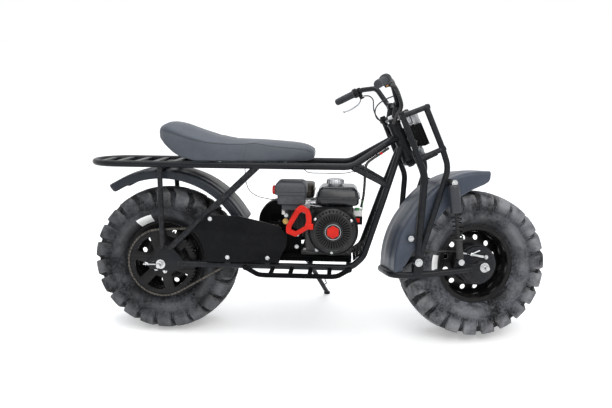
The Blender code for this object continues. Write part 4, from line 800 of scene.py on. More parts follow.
def fill_scratches(w: Wires, i: object) -> tuple:
    """Thin marks: the ridges of a stretched noise.

    Args:
        w: the group's wires.
        i: its inputs.

    Returns:
        Its output sockets.
    """
    mapped = w.add("ShaderNodeMapping", {0: i["Vector"], "Rotation": (0.4, 0.9, 0.3),
                                         "Scale": (18.0, 210.0, 60.0)})
    line = w.math("ABSOLUTE", w.math("SUBTRACT", w.noise(mapped.outputs[0], 1.0, 2.0), 0.5))
    thin = w.math("SUBTRACT", 1.0, w.math("MULTIPLY", line, 55.0, True), True)
    where = w.math("MULTIPLY", w.math("SUBTRACT", w.noise(i["Vector"], 11.0, 3.0), 0.55), 6.0, True)
    return (w.math("MULTIPLY", w.math("MULTIPLY", thin, where), i["Amount"], True),)


@dataclass(frozen=True)
class Finish:
    """A procedural surface: tone variation, grain, rubbed edges, thin scratches and dust over one base.

    mark names a point attribute that tints the surface with mark_colour; mark_break breaks it into patches.
    """

    name: str
    slot: str
    colour: tuple
    roughness: float = 0.4
    metallic: float = 0.0
    variation: float = 0.18
    grain: float = 0.00012
    scale: float = 700.0
    dust: float = 0.25
    wear: float = 0.3
    wear_colour: tuple = (0.16, 0.16, 0.165)
    scratches: float = 0.15
    coat: float = 0.0
    sheen: float = 0.0
    specular: float = 0.5
    mark: str = ""
    mark_colour: tuple = (0.2, 0.2, 0.2)
    mark_break: float = 0.0
    dust_colour: tuple = (0.3, 0.27, 0.23)

    def material(self) -> bpy.types.Material:
        """The finish's material, made on first use.

        Returns:
            The material.
        """
        title = f"{self.name}_finish"
        found = bpy.data.materials.get(title)
        if found is not None:
            return found
        mat = bpy.data.materials.new(title)
        mat.use_nodes = True
        mat.diffuse_color = (*self.colour, 1.0)
        tree = mat.node_tree
        w = Wires(tree)
        shader = tree.nodes["Principled BSDF"]
        vector = w.add("ShaderNodeTexCoord").outputs["Object"]

        def use(name: str, ins: tuple, outs: tuple, fill: object, values: dict) -> object:
            """Place a shared group on the object's coordinates.

            Args:
                name: the group's name.
                ins: its inputs.
                outs: its outputs.
                fill: function that fills it.
                values: this finish's own input values.

            Returns:
                The placed group's outputs.
            """
            node = w.add("ShaderNodeGroup", node_tree=shared_group(name, ins, outs, fill))
            tree.links.new(vector, node.inputs["Vector"])
            for key, value in values.items():
                node.inputs[key].default_value = value
            return node.outputs

        grain = use("grain field", ("Vector", "Scale"), ("Coarse", "Fine", "Height"), fill_grain,
                    {"Scale": self.scale})
        low = tuple(c * (1.0 - self.variation) for c in self.colour) + (1.0,)
        high = tuple(min(1.0, c * (1.0 + self.variation)) for c in self.colour) + (1.0,)
        blend = w.math("ADD", w.math("MULTIPLY", grain["Coarse"], 0.7),
                       w.math("MULTIPLY", grain["Fine"], 0.3))
        tone = w.mix(w.math("MULTIPLY", w.math("SUBTRACT", blend, 0.32), 2.8, True), low, high)
        rough = w.math("MULTIPLY_ADD", grain["Coarse"], 0.16)
        rough.node.inputs[2].default_value = self.roughness - 0.08
        if self.mark:
            share = w.add("ShaderNodeAttribute", attribute_name=self.mark).outputs["Fac"]
            patchy = w.math("MULTIPLY_ADD", grain["Coarse"], 1.1 + 3.2 * self.mark_break, True)
            patchy.node.inputs[2].default_value = -1.55 * self.mark_break
            broken = w.math("MULTIPLY", share, patchy, True)
            tone = w.mix(broken, tone, (*self.mark_colour, 1.0))
        if self.wear > 0.0:
            mask = use("rubbed edges", ("Vector", "Amount"), ("Mask",), fill_wear,
                       {"Amount": self.wear})["Mask"]
            tone = w.mix(mask, tone, (*self.wear_colour, 1.0))
        if self.scratches > 0.0:
            mask = use("thin scratches", ("Vector", "Amount"), ("Mask",), fill_scratches,
                       {"Amount": self.scratches})
            tone = w.mix(mask["Mask"], tone, (*self.wear_colour, 1.0))
            rough = w.math("ADD", rough, w.math("MULTIPLY", mask["Mask"], 0.2))
        if self.dust > 0.0:
            mask = use("dust veil", ("Vector", "Amount"), ("Mask",), fill_dust, {"Amount": self.dust})["Mask"]
            tone = w.mix(mask, tone, (*self.dust_colour, 1.0))
            rough = w.math("ADD", rough, w.math("MULTIPLY", mask, 0.35), True)
        bump = w.add("ShaderNodeBump", {"Height": grain["Height"], "Distance": self.grain, "Strength": 1.0})
        tree.links.new(tone, shader.inputs["Base Color"])
        tree.links.new(rough, shader.inputs["Roughness"])
        tree.links.new(bump.outputs[0], shader.inputs["Normal"])
        for key, value in (("Metallic", self.metallic), ("Coat Weight", self.coat), ("Coat Roughness", 0.12),
                           ("Sheen Weight", self.sheen), ("Specular IOR Level", self.specular)):
            shader.inputs[key].default_value = value
        return mat


FRAME_PAINT = Finish("frame_satin_black", "frame_paint", (0.0075, 0.0085, 0.011), 0.34, coat=0.05,
                     specular=0.15, dust=0.045, wear_colour=(0.07, 0.07, 0.075))
GUARD_PAINT = replace(FRAME_PAINT, name="guard_black", colour=(0.004, 0.0044, 0.0056), specular=0.08,
                      coat=0.0, dust=0.03)
DULL_PAINT = Finish("brush_touched_black", "frame_paint", (0.0034, 0.0036, 0.0044), 0.6, specular=0.03,
                    dust=0.02, grain=0.0003, wear=0.15, scratches=0.06)
WHEEL_PAINT = Finish("wheel_gloss_black", "wheel_paint", (0.005, 0.005, 0.006), 0.28, coat=0.08,
                     specular=0.15, dust=0.06)
FENDER_PAINT = Finish("fender_blue_black", "gloss_black", (0.046, 0.057, 0.08), 0.38, coat=0.05, specular=0.3,
                      dust=0.07, wear_colour=(0.22, 0.23, 0.25))
SHADED_FENDER = replace(FENDER_PAINT, name="fender_blue_black_rear", colour=(0.015, 0.019, 0.026),
                        specular=0.25)
TYRE_RUBBER = Finish("tyre_rubber", "tyre_rubber", (0.011, 0.0112, 0.012), 0.8, variation=0.5, grain=0.0012,
                     scale=330.0, specular=0.14, dust=0.8, wear=1.0, wear_colour=(0.25, 0.235, 0.215),
                     mark="tread", mark_colour=(0.24, 0.24, 0.25), mark_break=1.0,
                     dust_colour=(0.22, 0.232, 0.262))
REAR_RUBBER = replace(TYRE_RUBBER, name="tyre_rubber_rear", mark_colour=(0.115, 0.117, 0.122), dust=0.48)
LABEL = Finish("blank_label", "tyre_rubber", (0.93, 0.93, 0.92), 0.55, variation=0.03, dust=0.05, wear=0.0)
SHROUD = Finish("moulded_black", "plastic_black", (0.0036, 0.0038, 0.0046), 0.38, specular=0.07, dust=0.02,
                grain=0.0001)
STRUT_GREY = Finish("strut_grey", "frame_paint", (0.029, 0.032, 0.039), 0.32, coat=0.1, dust=0.1,
                    specular=0.35)
FINS = Finish("starter_fins", "plastic_black", (0.0105, 0.0108, 0.012), 0.38, specular=0.28, dust=0.06,
              wear=0.8, wear_colour=(0.16, 0.16, 0.165))
TANK_PAINT = Finish("tank_gloss_black", "gloss_black", (0.0085, 0.0095, 0.0125), 0.22, coat=0.25,
                    specular=0.3, dust=0.04)
CLEANER_BLACK = Finish("cleaner_black", "plastic_black", (0.04, 0.043, 0.05), 0.46, specular=0.4, dust=0.06)
SOFT_BLACK = Finish("soft_black", "plastic_black", (0.012, 0.012, 0.013), 0.62, dust=0.25)
ZINC = Finish("zinc_plate", "steel", (0.62, 0.63, 0.64), 0.28, 1.0, wear=0.0, dust=0.12, grain=0.00006)
RAW_METAL = Finish("raw_sheet", "steel", (0.5, 0.51, 0.53), 0.36, 1.0, wear=0.2, wear_colour=(0.8, 0.8, 0.8),
                   dust=0.15)
DARK_STEEL = Finish("dark_steel", "dark_steel", (0.095, 0.086, 0.076), 0.46, 1.0, variation=0.35, wear=0.6,
                    wear_colour=(0.45, 0.43, 0.4), dust=0.35)
CHAIN_STEEL = Finish("chain_steel", "dark_steel", (0.05, 0.046, 0.042), 0.48, 1.0, variation=0.4, wear=0.3,
                     wear_colour=(0.25, 0.23, 0.21), dust=0.2, mark="pins", mark_colour=(0.19, 0.175, 0.155))
CAST = Finish("cast_grey", "cast_grey", (0.06, 0.061, 0.064), 0.58, 0.35, grain=0.0005, scale=420.0,
              dust=0.35)
DRUM_GREY = Finish("drum_grey", "cast_grey", (0.011, 0.012, 0.0155), 0.5, grain=0.0003, dust=0.12,
                   specular=0.2)
GRIP = Finish("grip_rubber", "grip_rubber", (0.021, 0.023, 0.029), 0.66, dust=0.15, wear=0.1, grain=0.0002)
CABLE = Finish("cable_sleeve", "grip_rubber", (0.012, 0.012, 0.013), 0.45, dust=0.25, wear=0.0)
# The seat vinyl's blue tint, in its colour and its side colour, is a painted sky reflection; the dark tone
# and the lighter sides below the seam are the cover's own.
VINYL_PAINTED_REFLECTION = Finish("seat_vinyl", "seat_vinyl", (0.046, 0.056, 0.074), 0.46, variation=0.1, grain=0.00035,
               scale=520.0, dust=0.1, wear=0.1, wear_colour=(0.12, 0.13, 0.15), scratches=0.05, sheen=0.05,
               specular=0.3, mark="side", mark_colour=(0.085, 0.092, 0.108))
PIPING = Finish("seat_piping", "seat_vinyl", (0.03, 0.034, 0.042), 0.5, dust=0.15, wear=0.0, scratches=0.0)
RED = Finish("handle_red", "handle_red", (0.6, 0.018, 0.01), 0.4, dust=0.06, specular=0.16,
             wear_colour=(0.6, 0.2, 0.15))
AMBER = Finish("button_amber", "handle_red", (0.8, 0.36, 0.06), 0.35, dust=0.05, wear=0.0)
LENS = Finish("lamp_lens", "plastic_black", (0.42, 0.44, 0.47), 0.08, variation=0.05, dust=0.05, wear=0.0,
              coat=1.0)
BRASS = Finish("brass", "steel", (0.55, 0.36, 0.12), 0.32, 1.0, wear=0.0, dust=0.1)
PALE_PLUG = Finish("pale_plug", "plastic_black", (0.72, 0.72, 0.7), 0.45, dust=0.15, wear=0.0)
GREEN_WIRE = Finish("green_wire", "grip_rubber", (0.02, 0.22, 0.06), 0.4, dust=0.1, wear=0.0)
YELLOW_WIRE = Finish("yellow_wire", "grip_rubber", (0.6, 0.42, 0.03), 0.4, dust=0.1, wear=0.0)
RED_WIRE = Finish("red_wire", "handle_red", (0.5, 0.02, 0.012), 0.4, dust=0.1, wear=0.0)


# Assemblies


@dataclass
class Assembly:
    """A group of pieces that ride on one body."""

    body: Body = Body.FRAME

    def add(self, name: str, shell: Shell, finish: Finish, *nodes: str, smooth: float = 38.0,
            mark: np.ndarray | None = None) -> bpy.types.Object:
        """Turn a shell in design coordinates into a finished piece of the scene.

        Args:
            name: the piece's plain name.
            shell: its surfaces.
            finish: its finish.
            nodes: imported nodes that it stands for.
            smooth: largest edge angle in degrees that is shaded smooth.
            mark: one value per point for the finish's attribute.

        Returns:
            The object, riding on the assembly's body.
        """
        placed = shell.moved(STANCE.of(self.body))
        mesh = clean_mesh(placed, name)
        item = bpy.data.objects.new(name, mesh)
        bpy.context.scene.collection.objects.link(item)
        mesh.shade_smooth()
        mesh.set_sharp_from_angle(angle=math.radians(smooth))
        if mark is not None:
            self.paint_marks(mesh, finish.mark, placed.points, mark)
        mesh.materials.append(finish.material())
        return self.place(item, finish, *nodes)

    def cable(self, name: str, path: np.ndarray, radius: float, finish: Finish, *nodes: str,
              ends: tuple = ()) -> None:
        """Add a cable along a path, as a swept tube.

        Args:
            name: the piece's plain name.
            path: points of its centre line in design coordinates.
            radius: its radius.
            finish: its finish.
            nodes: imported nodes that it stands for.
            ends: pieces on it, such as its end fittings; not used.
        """
        item = self.add(name, sweep(path, radius, 12), finish, *nodes)
        matrix = STANCE.of(self.body)

    def place(self, item: bpy.types.Object, finish: Finish, *nodes: str) -> bpy.types.Object:
        """Let a finished object ride on this assembly's body.

        Args:
            item: the object.
            finish: its finish.
            nodes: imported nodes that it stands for.

        Returns:
            The object.
        """
        LOG.info("%s: %d faces in %s on %s", item.name, len(item.data.polygons), finish.name, self.body.value)
        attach(item, self.body.value)
        if nodes:
            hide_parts(*nodes)
        return item

    @staticmethod
    def to_side(shell: Shell, side: float) -> Shell:
        """A shell made for the right side, or its mirror image for the left."""
        return shell if side < 0 else mirror_y(shell)

    @staticmethod
    def paint_marks(mesh: bpy.types.Mesh, name: str, points: np.ndarray, values: np.ndarray) -> None:
        """Write a point attribute from values given at nearby points.

        Args:
            mesh: the mesh.
            name: the attribute's name.
            points: where values are given.
            values: one value for each of them.
        """
        have = np.empty(len(mesh.vertices) * 3)
        mesh.vertices.foreach_get("co", have)
        keys = np.round(points.astype(np.float32), 5)
        table = dict(zip(map(bytes, keys), values))
        rows = np.round(have.reshape(-1, 3).astype(np.float32), 5)
        found = np.array([table.get(bytes(r), 0.0) for r in rows], np.float32)
        mesh.attributes.new(name, "FLOAT", "POINT").data.foreach_set("value", found)


@dataclass
class Tyre(Assembly):
    """Fat tyre: a ribbed carcass and staggered lugs laid on it as eased blocks with thin ribs between."""

    name: str = "front"
    centre: tuple = FRONT_AXLE
    phase: float = 3.5
    label: tuple = (166.0, 184.0)
    lugs: int = 22
    share: float = 0.74
    pocket: float = 0.13
    sweep: float = 9.0

    CARCASS = ((0.064, 0.1527), (0.0642, 0.1655), (0.069, 0.174), (0.08, 0.1845), (0.0945, 0.2005),
               (0.0985, 0.218), (0.0995, 0.23), (0.0972, 0.245), (0.0928, 0.265), (0.0852, 0.284),
               (0.069, 0.2955), (0.04, 0.3008), (0.0, 0.3028))
    TOPS = ((0.1006, 0.2345), (0.1022, 0.248), (0.1028, 0.268), (0.101, 0.284), (0.0965, 0.2962),
            (0.0895, 0.304), (0.06, 0.31), (0.03, 0.314), (0.005, 0.3163))

    def spot(self, side: float, y: np.ndarray, r: np.ndarray, degrees: np.ndarray) -> np.ndarray:
        """Points at a distance from the wheel's middle plane, radius and angle.

        Args:
            side: 1 for the left, -1 for the right.
            y: distances from the middle plane.
            r: distances from the axle.
            degrees: angles upwards from straight ahead.

        Returns:
            The points.
        """
        a = np.radians(degrees)
        x = self.centre[0] + r * np.cos(a)
        z = self.centre[2] + r * np.sin(a)
        return np.stack(np.broadcast_arrays(x, self.centre[1] + side * y, z), -1)

    def blocks(self, side: float, starts: np.ndarray, width: np.ndarray, v: np.ndarray, lift: float) -> Shell:
        """Eased blocks on one shoulder: u runs across a block, v from the sidewall to the middle.

        Args:
            side: 1 for the left shoulder, -1 for the right.
            starts: angle of each block's middle in degrees.
            width: the blocks' width in degrees at each v.
            v: rising shares of the way from the sidewall to the middle.
            lift: share of the full lug height.

        Returns:
            The blocks, each with a closed skirt that ends below the carcass.
        """
        u = np.array([-0.53, -0.5, -0.465, -0.2, 0.2, 0.465, 0.5, 0.53])
        hu = np.array([0.0, 0.82, 1.0, 1.0, 1.0, 1.0, 0.82, 0.0])
        hv = np.concatenate([[0.0, 0.82], np.ones(len(v) - 4), [0.82, 0.0]])
        h = np.minimum(hu[:, None], hv[None, :]) * lift
        tops, under = smooth_path(self.TOPS, 200), smooth_path(self.CARCASS[6:], 200)
        k = np.linspace(0.0, 1.0, 200)
        top = np.stack([np.interp(v, k, tops[:, i]) for i in (0, 1)])
        low = np.stack([np.interp(v, k, under[:, i]) for i in (0, 1)]) - np.array([[0.0015], [0.002]])
        y = low[0] * (1.0 - h) + top[0] * h
        r = low[1] * (1.0 - h) + top[1] * h
        turn = self.sweep * (1.0 - top[0] / TYRE_HALF_WIDTH)
        deg = starts[:, None, None] + u[None, :, None] * width[None, None, :] + turn[None, None, :]
        points = self.spot(side, y[None], r[None], deg)
        count = len(u) * len(v)
        quads = grid_faces(len(u), len(v), False, False)
        faces = (quads[None] + (np.arange(len(starts)) * count)[:, None, None]).reshape(-1, 4)
        caps = grid_rim(len(u), len(v))[None] + (np.arange(len(starts)) * count)[:, None]
        return Shell(points.reshape(-1, 3), [faces, caps])

    def raised(self, points: np.ndarray, radius: np.ndarray) -> np.ndarray:
        """One on a lug's outer face, falling to a fifth on its skirt: height over the carcass by 7 mm.

        Args:
            points: a lug's points.
            radius: their distances from the axle.

        Returns:
            One value for each.
        """
        line, tops = smooth_path(self.CARCASS, 300), smooth_path(self.TOPS, 300)
        across = np.abs(points[:, 1] - self.centre[1])
        shoulder = np.interp(radius, line[:, 1], line[:, 0])
        crown = np.interp(-across, -line[::-1, 0][::-1], line[:, 1])
        inner = np.minimum(tops[:, 0].max(), shoulder + 0.004)
        high = np.maximum((across - shoulder) / np.maximum(inner - shoulder, 0.001), (radius - crown) / 0.009)
        return np.clip(high, 0.2, 1.0)

    def build(self) -> None:
        """Make the carcass with its lugs as one piece, and the blank label."""
        half = smooth_path(self.CARCASS, 46)
        ribs = np.exp(-(((half[:, 1:2] - np.array([0.179, 0.204, 0.213, 0.2285])) / 0.0011) ** 2)).sum(1)
        half[:, 0] += 0.001 * ribs
        outer = np.vstack([half, (half * vec(-1, 1))[::-1][1:]])
        inner = [(-0.042, 0.1528), (-0.086, 0.204), (-0.077, 0.286), (0.077, 0.286), (0.086, 0.204),
                 (0.042, 0.1528)]
        carcass = revolve(np.vstack([outer, inner]), vec(*self.centre), (0, 1, 0), 168, True)
        pitch = 360.0 / self.lugs
        away = carcass.points - vec(*self.centre)
        side_wall = np.hypot(away[:, 0], away[:, 2])
        parts, marks = [carcass], [0.55 * np.clip(1.0 - np.abs(side_wall - 0.208) / 0.029, 0.0, 1.0) ** 0.5]
        v = np.concatenate([[0.0, 0.004, 0.02], np.linspace(0.08, 0.92, 20), [0.985, 0.996, 1.0]])
        thin = np.concatenate([[0.02, 0.025, 0.035], np.linspace(0.05, 0.22, 7), [0.23, 0.24, 0.245]])
        for side in (1.0, -1.0):
            first = self.phase + (0.0 if side > 0 else pitch / 2.0) + np.arange(self.lugs) * pitch
            width = pitch * (self.share - 0.14 * v**2 - self.pocket * np.exp(-((v / 0.13) ** 4)))
            lug = self.blocks(side, first + pitch * self.share / 2.0, width, v, 1.0)
            narrow = np.full_like(thin, 0.055 * pitch)
            gaps = [self.blocks(side, first + pitch * ((self.share + 1.0) / 2.0 + at), narrow, thin, 0.8)
                    for at in (-0.075, 0.075)]
            for part, value in ((lug, 1.0), (gaps[0], 0.8), (gaps[1], 0.8)):
                flat = part.points - vec(*self.centre)
                radius = np.hypot(flat[:, 0], flat[:, 2])
                parts.append(part)
                marks.append(value * np.clip((radius - 0.238) / 0.036, 0.1, 1.0) * self.raised(part.points,
                                                                                               radius))
        rubber = TYRE_RUBBER if self.name == "front" else REAR_RUBBER
        self.add(f"tyre_{self.name}", merged(parts), rubber, f"{self.name}_tyre", mark=np.concatenate(marks))
        a = np.linspace(*self.label, 14)
        line = smooth_path(self.CARCASS, 400)
        keep = line[(line[:, 1] > 0.1755) & (line[:, 1] < 0.212)][::8]
        sheets = [self.spot(-1.0, keep[:, :1] + off, keep[:, 1:] + off * 0.3, a[None, :])
                  for off in (0.0012, 0.0019)]
        self.add(f"label_{self.name}", joined_skins(*sheets), LABEL)


@dataclass
class Rim(Assembly):
    """Stamped rim: rolled lips, bead seats, drop centre and a dished disc with round vents."""

    name: str = "front"
    centre: tuple = FRONT_AXLE
    disc: float = 0.01
    vents: int = 12
    vent_radius: float = 0.0115
    vent_circle: float = 0.113
    nuts: int = 4
    nut_circle: float = 0.064

    def build(self) -> None:
        """Make the rim and the nuts that hold its disc."""
        a, b, t = self.disc, self.disc - 0.016, 0.004
        lip = [(0.061, 0.1575), (0.0612, 0.1665), (0.0625, 0.169), (0.0655, 0.1697), (0.068, 0.1685),
               (0.0688, 0.1655), (0.0672, 0.164), (0.0662, 0.156)]
        barrel = [(0.0655, 0.15), (0.063, 0.1483), (0.042, 0.148), (0.034, 0.14), (0.03, 0.1384)]
        profile = [(-y, r) for y, r in reversed(lip)]
        profile += [(-0.0585, 0.1524), (-0.04, 0.1524), (-0.034, 0.144), (-0.028, 0.1425), (0.028, 0.1425),
                    (0.034, 0.144), (0.04, 0.1524), (0.0585, 0.1524)]
        profile += lip + barrel
        profile += [(a + t + 0.004, 0.1384), (a + t, 0.135), (a + t - 0.006, 0.124), (b + t + 0.002, 0.098),
                    (b + t, 0.09), (b + t, 0.052), (b, 0.052), (b, 0.09), (b + 0.002, 0.098),
                    (a - 0.006, 0.124), (a, 0.135), (a - 0.004, 0.1384)]
        profile += [(-y, r) for y, r in reversed(barrel)]
        body = revolve(profile, vec(*self.centre), (0, 1, 0), 96, True)
        cutters = []
        for k in range(self.vents):
            angle = math.tau * (k + 0.53) / self.vents
            at = vec(*self.centre) + self.vent_circle * vec(math.cos(angle), 0, math.sin(angle))
            cutters.append(revolve([(-0.03, 0), (-0.03, self.vent_radius), (0.03, self.vent_radius),
                                    (0.03, 0)], at + vec(0, a - 0.006, 0), (0, 1, 0), 20))
        self.add(f"rim_{self.name}", cut(body, cutters), WHEEL_PAINT, f"{self.name}_rim", smooth=32.0)
        bolts = []
        for k in range(self.nuts):
            angle = math.tau * (k + 0.35) / self.nuts
            at = vec(*self.centre) + self.nut_circle * vec(math.cos(angle), 0, math.sin(angle))
            bolts.append(hex_bolt(at + vec(0, b + t, 0), (0, 1, 0), 0.008))
            stud = rod(at + vec(0, b + t + 0.005, 0), at + vec(0, b + t + 0.013, 0), 0.004, sides=12)
            bolts.append(stud)
        self.add(f"rim_nuts_{self.name}", merged(bolts), ZINC, smooth=30.0)


@dataclass
class FrontHub(Assembly):
    """Brake drum and hub barrel of the front wheel."""

    drum: float = 0.087

    def build(self) -> None:
        """Make the ribbed drum, open to the right, with its barrel."""
        bore, face = 0.009, -0.006
        ribs = [(y, self.drum - (0.0012 if k % 2 else 0.0)) for k,
                y in enumerate(np.linspace(-0.016, -0.072, 15))]
        profile = [(face - GAP, self.drum - 0.002), (face - 0.002, self.drum), *ribs, (-0.079, self.drum),
                   (-0.08, self.drum - 0.001), (-0.08, 0.081), (face - 0.01, 0.081), (face - 0.01, 0.028),
                   (-0.05, 0.023), (-0.05, bore), (0.11, bore), (0.11, 0.02), (0.104, 0.0215), (0.05, 0.028),
                   (0.03, 0.034), (face + 0.024, 0.05), (face - GAP, 0.0517)]
        self.add("hub_front", revolve(profile, vec(*FRONT_AXLE), (0, 1, 0), 72, True), DRUM_GREY, "front_hub")


@dataclass
class RearHub(Assembly):
    """Hub barrel and chain wheel of the rear wheel."""

    windows: int = 6
    bolt_circle: float = 0.04
    half_thick: float = 0.003

    def build(self) -> None:
        """Make the hub, the toothed chain wheel with its six windows, and the bolts between them."""
        face, bore, seat = -0.02, 0.009, CHAIN_Y + 0.003 + GAP
        profile = [(-0.13, bore), (-0.13, 0.018), (seat - 0.0105, 0.0286), (seat, 0.029), (seat, 0.048),
                   (seat + 0.008, 0.048), (seat + 0.01, 0.044), (seat + 0.016, 0.032), (face - 0.014, 0.032),
                   (face - 0.01, 0.036), (face - 0.009, 0.07), (face - GAP, 0.07), (face - GAP, 0.0517),
                   (face + 0.025, 0.0505), (0.04, 0.024), (0.125, 0.02), (0.125, bore)]
        self.add("hub_rear", revolve(profile, vec(*REAR_AXLE), (0, 1, 0), 72, True), DRUM_GREY, "rear_hub")
        x, z = REAR_AXLE[0], REAR_AXLE[2]
        pitch = CHAIN_PITCH / (2.0 * math.sin(math.pi / SPROCKET_TEETH))
        k = np.arange(SPROCKET_TEETH)[:, None]
        shares = np.array([-0.5, -0.36, -0.22, -0.12, 0.12, 0.22, 0.36])
        radii = pitch + np.array([-0.0056, -0.0047, -0.0005, 0.0028, 0.0028, -0.0005, -0.0047])
        ang = math.tau * (k + shares) / SPROCKET_TEETH
        ring = np.stack([x + radii * np.cos(ang), z + radii * np.sin(ang)], -1).reshape(-1, 2)
        holes = [ring2(x, z, 0.03, count=40)]
        bolts = []
        for n in range(self.windows):
            mid = 15.0 + 360.0 / self.windows * n
            window = ring2(x, z, 0.122, mid - 20.0, mid + 20.0, 14) + ring2(x, z, 0.064, mid + 12.0,
                                                                            mid - 12.0, 8)
            holes.append(soft_corners(window, 0.008, 5))
            a = math.radians(mid + 30.0)
            at = vec(x + self.bolt_circle * math.cos(a), CHAIN_Y - self.half_thick,
                     z + self.bolt_circle * math.sin(a))
            bolts.append(hex_bolt(at, (0, -1, 0), 0.0065))
        wheel = plate(ring.tolist(), CHAIN_Y - self.half_thick, CHAIN_Y + self.half_thick, tuple(holes),
                      0.0005)
        self.add("chain_wheel", wheel, WHEEL_PAINT, "wheel_sprocket", smooth=30.0)
        self.add("chain_wheel_bolts", merged(bolts), ZINC, smooth=30.0)


@dataclass
class Chain(Assembly):
    """Roller chain and the small driving sprocket."""

    half_height: float = 0.0066
    roller: float = 0.005
    plate_inner: float = 0.004
    plate_outer: float = 0.0051
    overlap: float = 0.0013

    @staticmethod
    def centres() -> tuple[np.ndarray, np.ndarray]:
        """Middle of every roller along the loop, and the unit direction to the next one.

        Returns:
            The middles and the steps between them, one row for each roller.
        """
        a, b = vec(REAR_AXLE[0], REAR_AXLE[2]), vec(*DRIVE)
        r1 = CHAIN_PITCH / (2.0 * math.sin(math.pi / SPROCKET_TEETH))
        r2 = CHAIN_PITCH / (2.0 * math.sin(math.pi / DRIVE_TEETH))
        span = b - a
        base, gap = math.atan2(span[1], span[0]), float(np.linalg.norm(span))
        tilt = math.acos((r1 - r2) / gap)
        run = math.sqrt(gap**2 - (r1 - r2) ** 2)
        marks = np.cumsum([0.0, r1 * (math.tau - 2 * tilt), run, r2 * 2 * tilt, run])
        links = 2 * round(marks[-1] / CHAIN_PITCH / 2.0)
        s = marks[-1] * np.arange(links) / links
        fine = np.linspace(0.0, marks[-1], 4001)
        wrap1 = base + tilt + np.clip(fine, 0, marks[1]) / r1
        first = a + r1 * np.stack([np.cos(wrap1), np.sin(wrap1)], -1)
        wrap2 = base - tilt + np.clip(fine - marks[2], 0, marks[3] - marks[2]) / r2
        second = b + r2 * np.stack([np.cos(wrap2), np.sin(wrap2)], -1)
        out = np.where((fine < marks[1])[:, None], first, second)
        for lo, hi, start, end in ((marks[1], marks[2],
                                    a + r1 * vec(math.cos(base - tilt), math.sin(base - tilt)),
                                    b + r2 * vec(math.cos(base - tilt), math.sin(base - tilt))),
                                   (marks[3], marks[4],
                                    b + r2 * vec(math.cos(base + tilt), math.sin(base + tilt)),
                                    a + r1 * vec(math.cos(base + tilt), math.sin(base + tilt)))):
            t = ((fine - lo) / (hi - lo))[:, None]
            out = np.where(((fine >= lo) & (fine < hi))[:, None], start + (end - start) * t, out)
        p = np.stack([np.interp(s, fine, out[:, i]) for i in (0, 1)], -1)
        d = np.roll(p, -1, 0) - p
        return p, d

    def build(self) -> None:
        """Make side plates in the shape of an eight, rollers and pin ends, all links at once."""
        p, d = self.centres()
        a = np.linspace(0.0, math.tau, 20, endpoint=False)
        h = np.where(np.abs(np.cos(a)) < 0.35, 0.62, 1.0) * self.half_height
        shape = np.stack([np.where(np.cos(a) > 0, 0.5, -0.5), np.cos(a) * h, np.sin(a) * h], -1)
        length = np.linalg.norm(d, axis=1)
        along, across = d / length[:, None], np.stack([-d[:, 1], d[:, 0]], -1) / length[:, None]
        mid = p + d / 2.0
        flat = (mid[:, None] + along[:, None] * (shape[None, :, :1] * length[:, None, None] + shape[None, :,
                                                                                                    1:2])
                + across[:, None] * shape[None, :, 2:3])
        n = len(a)
        start = (np.arange(len(p)) * 2 * n)[:, None]
        ring, after = np.arange(n), (np.arange(n) + 1) % n
        walls = (np.stack([ring, after, after + n, ring + n], 1)[None] + start[:, :, None]).reshape(-1, 4)
        outer = (np.arange(len(p)) % 2)[:, None]
        shells = []
        for side in (-1.0, 1.0):
            sheets = []
            for y in (self.plate_inner, self.plate_outer):
                level = np.broadcast_to(CHAIN_Y + side * (y + self.overlap * outer), flat.shape[:2])
                sheets.append(np.stack([flat[..., 0], level, flat[..., 1]], -1))
            points = np.stack(sheets, 1).reshape(-1, 3)
            shells.append(Shell(points, [walls, start + ring[None, ::-1], start + n + ring[None]]))
        c = np.linspace(0.0, math.tau, 10, endpoint=False)
        rings = [(-0.0079, 0.0), (-0.0079, 0.0026), (-0.0067, 0.0034), (-0.0036, self.roller),
                 (0.0036, self.roller), (0.0067, 0.0034), (0.0079, 0.0026), (0.0079, 0.0)]
        pr = np.array(rings)
        x = p[:, None, None, 0] + pr[None, :, None, 1] * np.cos(c)
        z = p[:, None, None, 1] + pr[None, :, None, 1] * np.sin(c)
        y = np.broadcast_to(CHAIN_Y + pr[None, :, None, 0], x.shape)
        count = len(rings) * len(c)
        quads = grid_faces(len(rings), len(c), False, True)
        faces = (quads[None] + (np.arange(len(p)) * count)[:, None, None]).reshape(-1, 4)
        shells.append(Shell(np.stack([x, y, z], -1).reshape(-1, 3), [faces]))
        chain = merged(shells)
        pins = (np.abs(chain.points[:, 1] - CHAIN_Y) > 0.0066).astype(float)
        self.add("roller_chain", chain, CHAIN_STEEL, "drive_chain", smooth=30.0, mark=pins)
        r = CHAIN_PITCH / (2.0 * math.sin(math.pi / DRIVE_TEETH))
        k = np.arange(DRIVE_TEETH)[:, None]
        shares, radii = np.array([-0.5, -0.3, -0.13, 0.13, 0.3]), r + np.array([-0.0056, -0.004, 0.0026,
                                                                                0.0026, -0.004])
        ang = math.tau * (k + shares) / DRIVE_TEETH
        ring = np.stack([DRIVE[0] + radii * np.cos(ang), DRIVE[1] + radii * np.sin(ang)], -1).reshape(-1, 2)
        disc = plate(ring.tolist(), CHAIN_Y - 0.003, CHAIN_Y + 0.003, (), 0.0005)
        shaft = rod((DRIVE[0], CHAIN_Y - 0.012, DRIVE[1]), (DRIVE[0], 0.1077, DRIVE[1]), 0.0095)
        nut = hex_bolt(vec(DRIVE[0], CHAIN_Y - 0.0032, DRIVE[1]), (0, -1, 0), 0.012)
        self.add("drive_sprocket_wheel", merged([disc, shaft, nut]), DARK_STEEL, "drive_sprocket",
                 smooth=30.0)


